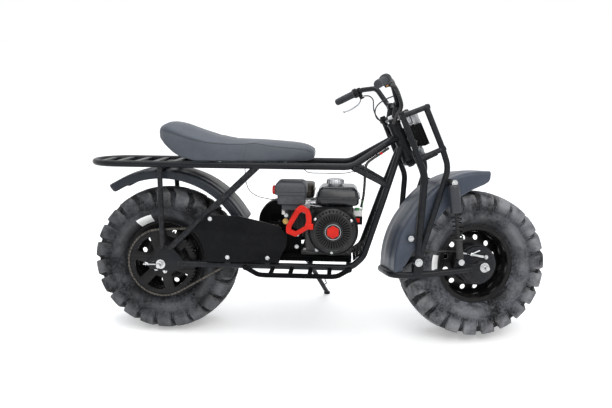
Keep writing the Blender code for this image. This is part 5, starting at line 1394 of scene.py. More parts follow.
def weld_bead(at: tuple, axis: tuple, radius: float, thick: float = 0.0022) -> Shell:
    """A rippled bead round a joint: a ring whose thickness rises and falls along it.

    Args:
        at: middle of the joint.
        axis: direction through it.
        radius: radius of the ring.
        thick: mean radius of the bead.

    Returns:
        The bead.
    """
    u, v = tilted(vec(*axis))
    a = np.linspace(0.0, math.tau, 60, endpoint=False)
    path = vec(*at) + radius * (np.cos(a)[:, None] * u + np.sin(a)[:, None] * v)
    return sweep(path, thick * (1.0 + 0.22 * np.sin(a * 15.0)), 8, True)


@dataclass
class MainFrame(Assembly):
    """Upper rails with the rack, the cradle, the rear struts and the plates fixed to them."""

    sides: int = 24
    strut: float = 0.011
    diagonal: float = 0.013
    guard_thick: float = 0.003
    skid_thick: float = 0.0024
    step_reach: float = 0.26
    slats: tuple = (-0.62, -0.7, -0.78, -0.86, -0.93)
    rungs: tuple = (-0.185, -0.105, -0.025, 0.055)

    @staticmethod
    def rail_path() -> np.ndarray:
        """Right rail from the head tube back round the rack loop to the left rail.

        Returns:
            The centre line's points.
        """
        head = axis_point(0.105)
        right = rounded([(head[0] - 0.004, -0.01, head[2] - 0.002), (0.306, -0.034, 0.85),
                         (0.138, -RAIL_HALF_SPAN, RAIL_HEIGHT), (RACK_TURN_X, -RAIL_HALF_SPAN, RAIL_HEIGHT)],
                        0.09)
        a = np.linspace(0.0, math.pi, 25)[1:-1]
        loop = np.stack([RACK_TURN_X - RAIL_HALF_SPAN * np.sin(a), -RAIL_HALF_SPAN * np.cos(a),
                         np.full_like(a, RAIL_HEIGHT)], -1)
        return np.vstack([right, loop, (right * vec(1, -1, 1))[::-1]])

    @staticmethod
    def down_points() -> list:
        """Right down tube from the head tube into the lower rail.

        Returns:
            The polyline's points.
        """
        return [(0.348, -0.02, 0.822), (0.336, -0.04, 0.79), (0.276, -0.09, 0.608), (0.196, -0.12, 0.364),
                (0.145, -LOWER_HALF_SPAN, LOWER_HEIGHT), (-0.597, -LOWER_HALF_SPAN, LOWER_HEIGHT)]

    def upper(self) -> None:
        """Head tube with its bearing cups, rails, rack slats and seat cross tubes."""
        n = unit(axis_point(1.0) - axis_point(0.0))
        profile = [(0.0, 0.02), (0.0, 0.0285), (0.0008, 0.0295), (0.012, 0.0295), (0.013, 0.027),
                   (HEAD_LENGTH - 0.013, 0.027), (HEAD_LENGTH - 0.012, 0.0295),
                   (HEAD_LENGTH - 0.0008, 0.0295), (HEAD_LENGTH, 0.0285), (HEAD_LENGTH, 0.02)]
        parts = [revolve(profile, axis_point(0.0), n, 40, True),
                 sweep(self.rail_path(), RAIL_RADIUS, self.sides)]
        y = RAIL_HALF_SPAN
        for x in self.slats:
            reach = y if x > RACK_TURN_X else math.sqrt(y**2 - (x - RACK_TURN_X) ** 2)
            parts.append(block((x - 0.0125, -reach, RAIL_HEIGHT + 0.0035),
                               (x + 0.0125, reach, RAIL_HEIGHT + 0.0085), 0.0012))
        for x in (-0.16, -0.46):
            parts.append(rod((x, -y, RAIL_HEIGHT - 0.001), (x, y, RAIL_HEIGHT - 0.001), self.strut))
        low = REAR_AXLE[2] + 0.405 + GAP
        parts.append(block((REAR_AXLE[0] - 0.015, -0.112, low), (REAR_AXLE[0] + 0.015, 0.112, RAIL_HEIGHT),
                           0.0015))
        parts.append(weld_bead(tuple(axis_point(0.104)), (-1.0, 0.0, 0.42), 0.0262, 0.0018))
        self.add("upper_rails", merged(parts), FRAME_PAINT, "upper_frame")

    def cradle(self) -> None:
        """Down tubes, lower rails, cross members, gussets, guard lugs and the stand's lug."""
        right = [pipe(self.down_points(), RAIL_RADIUS, 0.075, self.sides)]
        right.append(pipe([(0.143, -RAIL_HALF_SPAN, 0.743), (0.298, -0.077, 0.66)], self.strut, 0.0, 20))
        right.append(weld_bead((0.29, -0.0795, 0.664), (-0.87, -0.27, 0.47), 0.0118))
        right.append(weld_bead((0.156, -0.121, 0.736), (0.87, 0.27, -0.47), 0.0118))
        parts = right + [mirror_y(s) for s in right]
        for x in (0.135, -0.03, -0.305):
            ends = [(x, s * LOWER_HALF_SPAN, LOWER_HEIGHT - 0.001) for s in (-1, 1)]
            parts.append(rod(*ends, self.strut))
            parts += [weld_bead((x, s * 0.127, LOWER_HEIGHT - 0.001), (0, 1, 0), 0.0112, 0.0018)
                      for s in (-1, 1)]
        face = LOWER_HALF_SPAN + RAIL_RADIUS
        for x, z in ((-0.3786, 0.3568), (-0.208, 0.358)):
            parts.append(block((x - 0.012, -face, LOWER_HEIGHT + 0.004), (x + 0.012, 0.003 - face, z + 0.012),
                               0.001))
        p, a = vec(*STAND_PIVOT), Stand.axis()
        parts.append(rod(p - a * 0.0136, p - a * 0.0076, 0.016))
        parts.append(rod(p - a * 0.0106, (p[0], LOWER_HALF_SPAN, LOWER_HEIGHT - 0.004), 0.0085))
        parts.append(rod(p - a * 0.0106, p + a * 0.0096, 0.005, sides=16))
        parts.append(hex_bolt(p + a * 0.0076, a, 0.0085, False))
        self.add("cradle_tubes", merged(parts), FRAME_PAINT, "cradle")

    def rear(self, side: float, name: str) -> None:
        """Strut, diagonal and dropout plate of one side, with its chain adjuster.

        Args:
            side: -1 for the right side, 1 for the left.
            name: the side's name in the pieces' names.
        """
        ax, az, y = REAR_AXLE[0], REAR_AXLE[2], PLATE_Y
        parts = [pipe([(-0.668, -RAIL_HALF_SPAN, RAIL_HEIGHT), (-0.66, -y, 0.386)], self.strut, 0.0, 20),
                 pipe([(-0.252, -RAIL_HALF_SPAN, RAIL_HEIGHT), (-0.63, -y, 0.386)], self.diagonal, 0.0, 20),
                 weld_bead((-0.264, -0.1256, 0.737), (-0.72, -0.04, -0.69), 0.0135),
                 weld_bead((-0.6678, -0.1258, 0.733), (0, -0.06, -1), 0.0115),
                 weld_bead((-0.6602, -0.1446, 0.396), (0, -0.06, 1), 0.0112),
                 weld_bead((-0.623, -0.1446, 0.393), (0.72, 0.04, 0.69), 0.0132)]
        outline = [(ax - 0.045, az - 0.022), (ax + 0.042, az - 0.03), (ax + 0.1, az - 0.016),
                   (ax + 0.1, az + 0.016), (ax + 0.056, az + 0.07), (ax + 0.02, az + 0.084),
                   (ax - 0.005, az + 0.084), (ax - 0.035, az + 0.03), (ax - 0.045, az + 0.022),
                   (ax - 0.045, az + AXLE_HOLE), *ring2(ax, az, AXLE_HOLE, 90.0, -90.0, 12),
                   (ax - 0.045, az - AXLE_HOLE)]
        parts.append(plate(outline, -y - 0.003, -y + 0.003, (), 0.0007))
        if side < 0:
            face = LOWER_HALF_SPAN + RAIL_RADIUS
            parts.append(block((-0.491, -face, 0.507), (-0.444, 0.003 - face, 0.531), 0.001))
        shell = merged(parts)
        self.add(f"rear_struts_{name}", self.to_side(shell, side), FRAME_PAINT, f"rear_frame_{name}")
        screw = [rod((ax - 0.074, -0.1545, az), (ax - 0.02, -0.1545, az), 0.0028, sides=12),
                 hex_bolt((ax - 0.05, -0.1545, az), (-1, 0, 0), 0.0052, False),
                 hex_bolt((ax - 0.06, -0.1545, az), (-1, 0, 0), 0.0052, False)]
        shell = merged(screw)
        self.add(f"chain_adjuster_{name}", self.to_side(shell, side), ZINC, smooth=30.0)

    def guard(self) -> None:
        """Chain guard with its folded top edge and dome bolts."""
        out, t = -(LOWER_HALF_SPAN + RAIL_RADIUS + GAP), self.guard_thick
        edge = [(-0.156, 0.336), (-0.156, 0.362), (-0.13, 0.406), (-0.124, 0.457), (-0.156, 0.492),
                (-0.21, 0.508), (-0.334, 0.536), (-0.464, 0.538)]
        outline = soft_corners(edge + ring2(-0.7, 0.32, 0.2345, 40.0, 4.0, 20), 0.012)
        sheet = plate(outline, out - t, out, (), 0.0006)
        lip = sweep(np.array([(-0.17, out - t * 0.4, 0.495), (-0.21, out - t * 0.4, 0.5065),
                              (-0.334, out - t * 0.4, 0.5345), (-0.456, out - t * 0.4, 0.5365)]), 0.0022, 12)
        fold = plate([(-0.18, 0.4985), (-0.21, 0.507), (-0.334, 0.535), (-0.334, 0.5322), (-0.21, 0.5042),
                      (-0.18, 0.4957)], out - t, out + 0.012, (), 0.0005)
        self.add("chain_guard_sheet", merged([sheet, lip, fold]), GUARD_PAINT, "chain_guard")
        bolts = [dome_bolt(vec(x, out - t, z), (0, -1, 0), 0.0072)
                 for x, z in ((-0.3786, 0.3568), (-0.208, 0.358), (-0.4503, 0.5214))]
        self.add("guard_bolts", merged(bolts), ZINC, smooth=50.0)

    def plates(self) -> None:
        """Engine plate and the perforated skid plate."""
        low, top = LOWER_HEIGHT + 0.0103, 0.3597
        parts = [block((-0.192, -0.115, top - 0.005), (0.147, 0.115, top), 0.001)]
        parts += [block((-0.192, s * 0.085, low), (0.147, s * 0.09, top - 0.001), 0.001) for s in (-1, 1)]
        self.add("engine_bed", merged(parts), DULL_PAINT, "engine_plate")
        upper = self.punched(self.skid_thick, vec(0.205, 0.0, 0.39), vec(0.25, 0.0, 0.527), 6, 0.0)
        lower = self.punched(self.skid_thick, vec(0.153, 0.0, 0.342), vec(0.204, 0.0, 0.388), 3, 0.006)
        self.add("skid_sheet", merged([upper, lower]), DULL_PAINT, "skid_plate", smooth=30.0)

    @staticmethod
    def punched(thick: float, a: np.ndarray, b: np.ndarray, rows: int, more: float) -> Shell:
        """A sheet between the down tubes with staggered rows of round holes.

        Args:
            thick: its thickness.
            a: middle of its lower edge.
            b: middle of its upper edge.
            rows: rows of holes.
            more: what its upper edge is wider by on each side.

        Returns:
            The sheet.
        """
        along = unit(b - a)
        out = vec(along[2], 0.0, -along[0])
        length = float(np.linalg.norm(b - a))
        cols, w = 8, 0.096
        holes = [ring2((col - (cols - 1) / 2.0 + 0.25 * (1 if row % 2 else -1)) * 0.0205,
                       length * (row + 0.75) / (rows + 0.5), 0.0062,
                       count=14) for row in range(rows) for col in range(cols)]
        outline = soft_corners([(-w - 0.01, 0.0), (w + 0.01, 0.0), (w - 0.004 + more, length),
                                (-w + 0.004 - more, length)], 0.008)
        flat = plate(outline, 0.0, thick, tuple(holes), 0.0004)
        x, d, z = flat.points.T
        flat.points = a + z[:, None] * along + x[:, None] * vec(0, 1, 0) + d[:, None] * out
        return flat

    def steps(self, side: float, name: str) -> None:
        """Ladder foot step with four flat rungs.

        Args:
            side: -1 for the right side, 1 for the left.
            name: the side's name in the pieces' names.
        """
        edge, z = LOWER_HALF_SPAN + RAIL_RADIUS - 0.001, LOWER_HEIGHT - 0.006
        parts = [pipe([(-0.304, -edge, z), (-0.23, -self.step_reach, z), (0.085, -self.step_reach, z),
                       (0.138, -edge, z)], 0.01, 0.045, 18)]
        for x in self.rungs:
            parts.append(block((x - 0.009, -self.step_reach, z - 0.003), (x + 0.009, -edge, z + 0.003),
                               0.0012))
        for x in (-0.303, 0.137):
            parts.append(weld_bead((x, -edge - 0.0015, z), (0, 1, 0), 0.0106, 0.0018))
        shell = merged(parts)
        self.add(f"foot_ladder_{name}", self.to_side(shell, side), DULL_PAINT, f"foot_step_{name}")

    def build(self) -> None:
        """Make every piece of the frame."""
        self.upper()
        self.cradle()
        self.rear(-1.0, "right")
        self.rear(1.0, "left")
        self.guard()
        self.plates()
        self.steps(-1.0, "right")
        self.steps(1.0, "left")
        x, z = REAR_AXLE[0], REAR_AXLE[2]
        parts = [rod((x, -AXLE_HALF_LENGTH, z), (x, AXLE_HALF_LENGTH, z), AXLE_RADIUS, 0.0012)]
        for side in (-1, 1):
            seat = PLATE_Y + 0.0033
            parts.append(hex_bolt(vec(x, side * seat, z), (0, side, 0), AXLE_NUT))
            parts.append(rod((x, side * (seat + 0.012), z), (x, side * (seat + 0.015), z), 0.0108))
        self.add("rear_axle_bar", merged(parts), ZINC, "rear_axle", smooth=30.0)


@dataclass
class Fenders(Assembly):
    """One bent sheet mudguard with a raised rib down its crown and a groove beside each edge."""

    name: str = "rear"
    centre: tuple = REAR_AXLE
    radius: float = 0.405
    half: float = 0.092
    start: float = 27.0
    end: float = 126.0
    deep: bool = False
    across: int = 61
    thick: float = 0.0022
    corner: float = 0.016

    def section(self, share: np.ndarray) -> tuple[np.ndarray, np.ndarray]:
        """Side position and radius of the outer skin for each share of the way along.

        The crown falls off as a rounded corner of the skirt; ridges are narrow bell curves.

        Args:
            share: shares of the way along.

        Returns:
            Both, one row for each point across and one column for each share.
        """
        depth = np.full_like(share, 0.038)
        if self.deep:
            depth = 0.032 + 0.068 * np.abs(np.sin(math.pi * np.minimum(1.0, share * 1.05))) ** 0.6
        tip, narrow = (0.02, 0.1) if self.deep else (0.028, 0.16)
        arc_in = np.clip(np.minimum(share, 1.0 - share) / tip, 0.0, 1.0)
        width = self.half * (1.0 - narrow * (1.0 - np.sqrt(1.0 - (1.0 - arc_in) ** 2)))
        corner = self.corner
        depth = corner + (depth - corner) * (0.15 + 0.85 * np.sqrt(1.0 - (1.0 - arc_in) ** 2))
        flat = width - corner
        legs = np.stack([depth - corner, np.full_like(depth, corner * math.pi / 2), 2 * flat,
                         np.full_like(depth, corner * math.pi / 2), depth - corner])
        ends = np.vstack([np.zeros_like(depth), np.cumsum(legs, 0)])
        s = np.linspace(0.0, 1.0, self.across)[:, None] * ends[-1]
        y = np.select([s < ends[1], s < ends[2], s < ends[3], s < ends[4]],
                      [-width, -flat - corner * np.cos((s - ends[1]) / corner), -flat + (s - ends[2]),
                       flat + corner * np.sin((s - ends[3]) / corner)], width)
        r = np.select([s < ends[1], s < ends[2], s < ends[3], s < ends[4]], [self.radius - depth + s,
                       self.radius - corner + corner * np.sin((s - ends[1]) / corner),
                       self.radius, self.radius - corner + corner * np.cos((s - ends[3]) / corner)],
                      self.radius - corner - (s - ends[4]))
        if self.deep:
            r = r - 0.026 * np.clip((share - 0.12) / 0.45, 0.0, 1.0) ** 1.5
        fade = np.clip(np.minimum(share, 1.0 - share) / 0.05, 0.0, 1.0)
        r = r - 0.003 * fade * (1.0 - np.exp(-((y / (self.half * 0.42)) ** 6)))
        edge = np.clip(1.0 - np.minimum(s, ends[-1] - s) / 0.006, 0.0, 1.0)
        y = y + np.sign(y) * 0.0016 * edge * fade
        bead = np.exp(-(((np.minimum(s, ends[-1] - s) - 0.013) / 0.0022) ** 2)) * fade
        return y + np.sign(y) * 0.0012 * bead, r

    def build(self) -> None:
        """Make the sheet as two skins joined at every edge, with its brackets and bolts."""
        share = np.concatenate([np.linspace(0, 0.05, 12)[:-1], np.linspace(0.05, 0.95, 84),
                                np.linspace(0.95, 1, 12)[1:]])
        a = np.radians(self.start + (self.end - self.start) * share)
        y, r = self.section(share)
        skins = []
        for thick in (0.0, self.thick):
            yy = y - np.sign(y) * thick * np.clip((np.abs(y) - 0.6 * self.half) / (0.3 * self.half), 0, 1)
            rr = r - thick
            skins.append(np.stack([self.centre[0] + rr * np.cos(a), yy, self.centre[2] + rr * np.sin(a)], -1))
        paint = FENDER_PAINT if self.deep else SHADED_FENDER
        self.add(f"fender_{self.name}_sheet", joined_skins(*skins), paint, f"{self.name}_fender", smooth=50.0)
        if self.deep:
            bolts = []
            for x, z in (SHOCK_TOP, (0.355, 0.442)):
                for side in (-1, 1):
                    end = side * 0.1277
                    bolts.append(rod((x, side * 0.11, z), (x, end, z), 0.0085))
            self.add("fender_front_bosses", merged(bolts), FRAME_PAINT)
            heads = [hex_bolt(vec(0.355, s * 0.1322, 0.442), (0, s, 0), 0.0085) for s in (-1, 1)]
            self.add("fender_front_bolts", merged(heads), ZINC, smooth=30.0)


@dataclass
class Stand(Assembly):
    """Side stand with its flat foot and the wire loop to kick it by."""

    body: Body = Body.STAND
    leg: float = 0.011
    foot: float = 0.016

    @staticmethod
    def axis() -> np.ndarray:
        """Hinge direction of the stand."""
        return unit(vec(0.0607787, 0.7544122, 0.6535811))

    def build(self) -> None:
        """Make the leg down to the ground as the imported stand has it."""
        back = np.linalg.inv(STANCE.bike)
        p, a, up = vec(*STAND_PIVOT), self.axis(), unit(back[:3, :3] @ vec(0, 0, 1))
        foot = (back @ np.append(self.foot_point(), 1.0))[:3]
        line = unit(foot - p)
        parts = [rod(p - a * 0.007, p + a * 0.007, self.foot), rod(p + line * 0.01, p + line * 0.024, 0.0067),
                 pipe([p + line * 0.019, foot + up * 0.006], self.leg, 0.0, 20),
                 rod(foot, foot + up * 0.007, self.foot)]
        length = float(np.linalg.norm(foot - p))
        front = unit(vec(1, 0, 0) - line * line[0])
        at78, at58 = p + line * (length * 0.78), p + line * (length * 0.58)
        parts.append(pipe([at78, at78 + front * 0.026 - line * 0.015, at58 + front * 0.03,
                           at58 + front * 0.018, at58], 0.0024, 0.01, 10))
        parts.append(weld_bead(tuple(p + line * 0.0235), tuple(line), 0.0105, 0.0018))
        self.add("stand_leg", merged(parts), FRAME_PAINT, "side_stand")

    @staticmethod
    def foot_point() -> np.ndarray:
        """Middle of the foot's underside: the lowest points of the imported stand.

        Returns:
            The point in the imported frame.
        """
        co = np.array([v.co for v in frame["nodes"]["side_stand"].data.vertices])
        sole = co[co[:, 2] < co[:, 2].min() + 0.0004]
        mid = (sole.min(0) + sole.max(0)) / 2.0
        return vec(mid[0], mid[1], 0.0)


@dataclass
class Fork(Assembly):
    """Steering stem, side frames, leading arm, shocks and the front axle with its brake plate."""

    body: Body = Body.FORK
    tube: float = 0.0125
    brace: float = 0.011
    arm_tube: float = 0.0135
    spring_turns: float = 5.6
    spring_wire: float = 0.0029

    @staticmethod
    def rear_points() -> list:
        """Rear tube of the right side frame, from its top to the pivot eye."""
        y = FORK_HALF_SPAN
        return [(0.304, -y, 0.958), (0.376, -y, 0.79), (0.413, -y, 0.7), (0.384, -y, 0.344)]

    def side_frame(self, side: float, name: str) -> None:
        """Two long tubes joined at the top, the middle and the eye, with the tabs for shock and mudguard.

        Args:
            side: -1 for the right side, 1 for the left.
            name: the side's name in the pieces' names.
        """
        y = FORK_HALF_SPAN
        parts = [pipe(self.rear_points(), self.tube, 0.1), pipe([(0.296, -y, 0.937), (0.424, -y, 0.985)],
                                                                self.brace, 0.0),
                 pipe([(0.412, -y, 0.978), (0.485, -y, 0.812), (0.512, -y, 0.733), (0.388, -y, 0.344)],
                      self.tube, 0.1), pipe([(0.378, -y, 0.766), (0.496, -y, 0.816)], self.brace, 0.0),
                 revolve([(-0.013, 0.0065), (-0.013, 0.0172), (-0.0122, 0.018), (0.0122, 0.018),
                          (0.013, 0.0172),
                          (0.013, 0.0065)], vec(ARM_PIVOT[0], -y, ARM_PIVOT[1]), (0, 1, 0), 36, True),
                 plate(soft_corners([(0.487, 0.659), (0.531, 0.657), (0.54, 0.672), (0.531, 0.687),
                                     (0.495, 0.691)], 0.006), -y - 0.002, -y + 0.002, (), 0.0005),
                 plate(soft_corners([(0.344, 0.431), (0.392, 0.431), (0.394, 0.453), (0.344, 0.453)], 0.005),
                       -y - 0.002, -y + 0.002, (), 0.0005),
                 weld_bead((0.414, -y, 0.981), (0.37, 0, 0.14), 0.0113),
                 weld_bead((0.306, -y, 0.9408), (0.37, 0, 0.14), 0.0113),
                 weld_bead((0.39, -y, 0.7715), (0.92, 0, 0.39), 0.0112),
                 weld_bead((0.483, -y, 0.811), (0.92, 0, 0.39), 0.0112)]
        shell = merged(parts)
        self.add(f"fork_tubes_{name}", self.to_side(shell, side), FRAME_PAINT, f"fork_frame_{name}")
        ends = []
        for point, toward in ((vec(0.304, -y, 0.958), vec(0.376, -y, 0.79)),
                              (vec(0.412, -y, 0.978), vec(0.485, -y, 0.812))):
            d = unit(point - toward)
            ends.append(rod(point - d * 0.001, point + d * 0.0022, self.tube * 0.97, 0.0012))
        shell = merged(ends)
        self.add(f"fork_tube_caps_{name}", self.to_side(shell, side), SOFT_BLACK)

    def stem(self) -> None:
        """Stem with its nuts and both yokes."""
        n = unit(axis_point(1.0) - axis_point(0.0))
        f = vec(math.cos(RAKE), 0.0, math.sin(RAKE))
        y = FORK_HALF_SPAN - 0.01
        parts = [rod(axis_point(-0.012), axis_point(HEAD_LENGTH + 0.018), 0.019)]
        for s, depth in ((-0.012, 0.01), (HEAD_LENGTH + 0.012, 0.008)):
            outline = soft_corners([(0.012, -y), (-0.025, -0.022), (-0.025, 0.022), (0.012, y), (0.088, y),
                                    (0.088, -y)], 0.012)
            flat = plate(outline, -depth / 2.0, depth / 2.0, (), 0.001)
            a, d, v = flat.points.T
            flat.points = axis_point(s) + a[:, None] * f + v[:, None] * vec(0, 1, 0) + d[:, None] * n
            parts.append(flat)
        parts.append(hex_bolt(axis_point(-0.0165), -n, 0.015))
        self.add("stem_and_yokes", merged(parts), FRAME_PAINT, "fork_stem")
        top = axis_point(HEAD_LENGTH + 0.0162)
        self.add("stem_nut", hex_bolt(top, n, 0.0155), ZINC, smooth=30.0)

    def arm(self) -> None:
        """Leading arm with its pivot plates, axle plates and shock ears."""
        half = [(0.612, -0.15, 0.311), (0.435, -0.142, 0.295), (0.285, -0.118, 0.286)]
        parts = [pipe(half + [(x, -v, z) for x, v, z in reversed(half)], self.arm_tube, 0.075, 24)]
        y, x, z = FORK_HALF_SPAN, FRONT_AXLE[0], FRONT_AXLE[2]
        pivot = soft_corners([(0.364, 0.286), (0.404, 0.286), (0.402, 0.352), (0.394, 0.362), (0.374, 0.362),
                              (0.366, 0.352)], 0.005)
        tab = [(0.59, z - 0.018), (x, z - 0.022), *ring2(x, z, 0.022, -60.0, 60.0, 12), (x, z + 0.022),
               (0.59, z + 0.01)]
        ear = soft_corners([(0.54, 0.308), (0.582, 0.312), (0.574, 0.356), (0.548, 0.356)], 0.006)
        for side in (-1, 1):
            for v in (y - 0.0186, y + 0.0133):
                parts.append(plate(pivot, side * v, side * (v + 0.005), (), 0.0006))
            parts.append(plate(tab, side * 0.146, side * 0.154, (ring2(x, z, AXLE_HOLE, count=24),), 0.0006))
            parts.append(plate(ear, side * 0.14, side * 0.1355, (), 0.0006))
            parts.append(weld_bead((0.608, side * 0.1498, 0.3107), (1, 0, 0.09), 0.0135, 0.0018))
        self.add("leading_arm", merged(parts), FRAME_PAINT, "swing_arm")
        bolts = []
        for side in (-1, 1):
            at = vec(ARM_PIVOT[0], side * (y + 0.0184), ARM_PIVOT[1])
            bolts.append(hex_bolt(at, (0, side, 0), 0.0115))
            bolts.append(rod(at - vec(0, side * 0.038, 0), at + vec(0, side * 0.012, 0), 0.0058))
        self.add("arm_pivot_bolts", merged(bolts), ZINC, smooth=30.0)

    def shock(self, side: float, name: str) -> None:
        """Spring strut: smooth cover, five open coils, lower tube and rubber eyes.

        Args:
            side: -1 for the right side, 1 for the left.
            name: the side's name in the pieces' names.
        """
        y = side * 0.156
        top, low = (vec(x, y, z) for x, z in (SHOCK_TOP, SHOCK_FOOT))
        line = low - top
        length = float(np.linalg.norm(line))
        d = unit(line)
        cover = revolve([(0.02 * length, 0), (0.02 * length, 0.017), (0.035 * length, 0.0215),
                         (0.06 * length, 0.0232), (0.34 * length, 0.0228), (0.355 * length, 0.0236),
                         (0.372 * length, 0.0236), (0.378 * length, 0.0215), (0.378 * length, 0)], top, d, 48)
        self.add(f"shock_cover_{name}", cover, STRUT_GREY, f"shock_{name}")
        lower = revolve([(0.34 * length, 0), (0.34 * length, 0.0075), (0.7 * length, 0.0075),
                         (0.7 * length, 0.0205), (0.712 * length, 0.0212), (0.722 * length, 0.0205),
                         (0.725 * length, 0.015), (0.955 * length, 0.015), (0.965 * length, 0.012),
                         (0.985 * length, 0.009), (0.985 * length, 0)], top, d, 40)
        eyes = []
        for at in (top, low):
            eyes.append(revolve([(-0.013, 0.0055), (-0.013, 0.0105), (-0.0115, 0.0125), (0.0115, 0.0125),
                                 (0.013, 0.0105), (0.013, 0.0055)], at, (0, 1, 0), 32, True))
        self.add(f"shock_tube_{name}", merged([lower] + eyes), SOFT_BLACK)
        u, v = tilted(d)
        t = np.linspace(0.0, 1.0, 260)
        q = (math.tau * self.spring_turns * t)[:, None]
        lead = (0.385 + 0.31 * t) * length
        coil = top + lead[:, None] * d + 0.0185 * (np.cos(q) * u + np.sin(q) * v)
        self.add(f"shock_spring_{name}", sweep(coil, self.spring_wire, 10), FRAME_PAINT)
        bolts = []
        for at, inner in ((top, FORK_HALF_SPAN + 0.0023), (low, 0.1403)):
            bolts.append(rod((at[0], side * inner, at[2]), (at[0], y + side * 0.013, at[2]), 0.0052))
            bolts.append(hex_bolt(vec(at[0], y + side * 0.013, at[2]), (0, side, 0), 0.0088))
        self.add(f"shock_bolts_{name}", merged(bolts), ZINC, smooth=30.0)

    def axle(self) -> None:
        """Front axle, its spacers and nuts, and the brake plate with its arm and adjuster."""
        x, z = FRONT_AXLE[0], FRONT_AXLE[2]
        parts = [rod((x, -AXLE_HALF_LENGTH, z), (x, AXLE_HALF_LENGTH, z), AXLE_RADIUS, 0.0012)]
        for side in (-1, 1):
            parts.append(hex_bolt(vec(x, side * 0.1543, z), (0, side, 0), AXLE_NUT))
            parts.append(rod((x, side * 0.12, z), (x, side * 0.1457, z), 0.014))
        self.add("front_axle_bar", merged(parts), ZINC, "front_axle", smooth=30.0)
        dish = revolve([(-0.13, 0.01), (-0.13, 0.02), (-0.1285, 0.022), (-0.095, 0.022), (-0.093, 0.026),
                        (-0.0915, 0.05), (-0.09, 0.064), (-0.089, 0.079), (-0.087, 0.08), (-0.086, 0.0795),
                        (-0.086, 0.01)], vec(*FRONT_AXLE), (0, 1, 0), 72, True)
        arm = [(x - 0.04, z + 0.042), (x + 0.035, z + 0.03), (x + 0.037, z + 0.039), (x - 0.038, z + 0.052)]
        lever = plate(soft_corners(arm, 0.004), -0.099, -0.0945, (), 0.0006)
        boss = rod((x + 0.032, -0.101, z + 0.035), (x + 0.032, -0.086, z + 0.035), 0.0095)
        stop = plate(soft_corners([(x - 0.07, z - 0.03), (x - 0.015, z - 0.018), (x - 0.015, z + 0.002),
                                   (x - 0.07, z - 0.015)], 0.004), -0.133, -0.129, (), 0.0006)
        self.add("brake_plate", merged([dish, boss, stop]), DRUM_GREY)
        screw = rod((x - 0.038, -0.0967, z + 0.047), (x + 0.005, -0.0967, z + 0.064), 0.0028)
        nut = hex_bolt(vec(x - 0.033, -0.0967, z + 0.049), (0.93, 0, 0.37), 0.006, False)
        self.add("brake_arm",
                 merged([lever, screw, nut, hex_bolt(vec(x + 0.032, -0.101, z + 0.035), (0, -1, 0), 0.0062)]),
                 ZINC, smooth=30.0)

    def build(self) -> None:
        """Make every piece that turns with the steering below the handlebar."""
        self.stem()
        self.side_frame(-1.0, "right")
        self.side_frame(1.0, "left")
        self.arm()
        self.shock(-1.0, "right")
        self.shock(1.0, "left")
        self.axle()


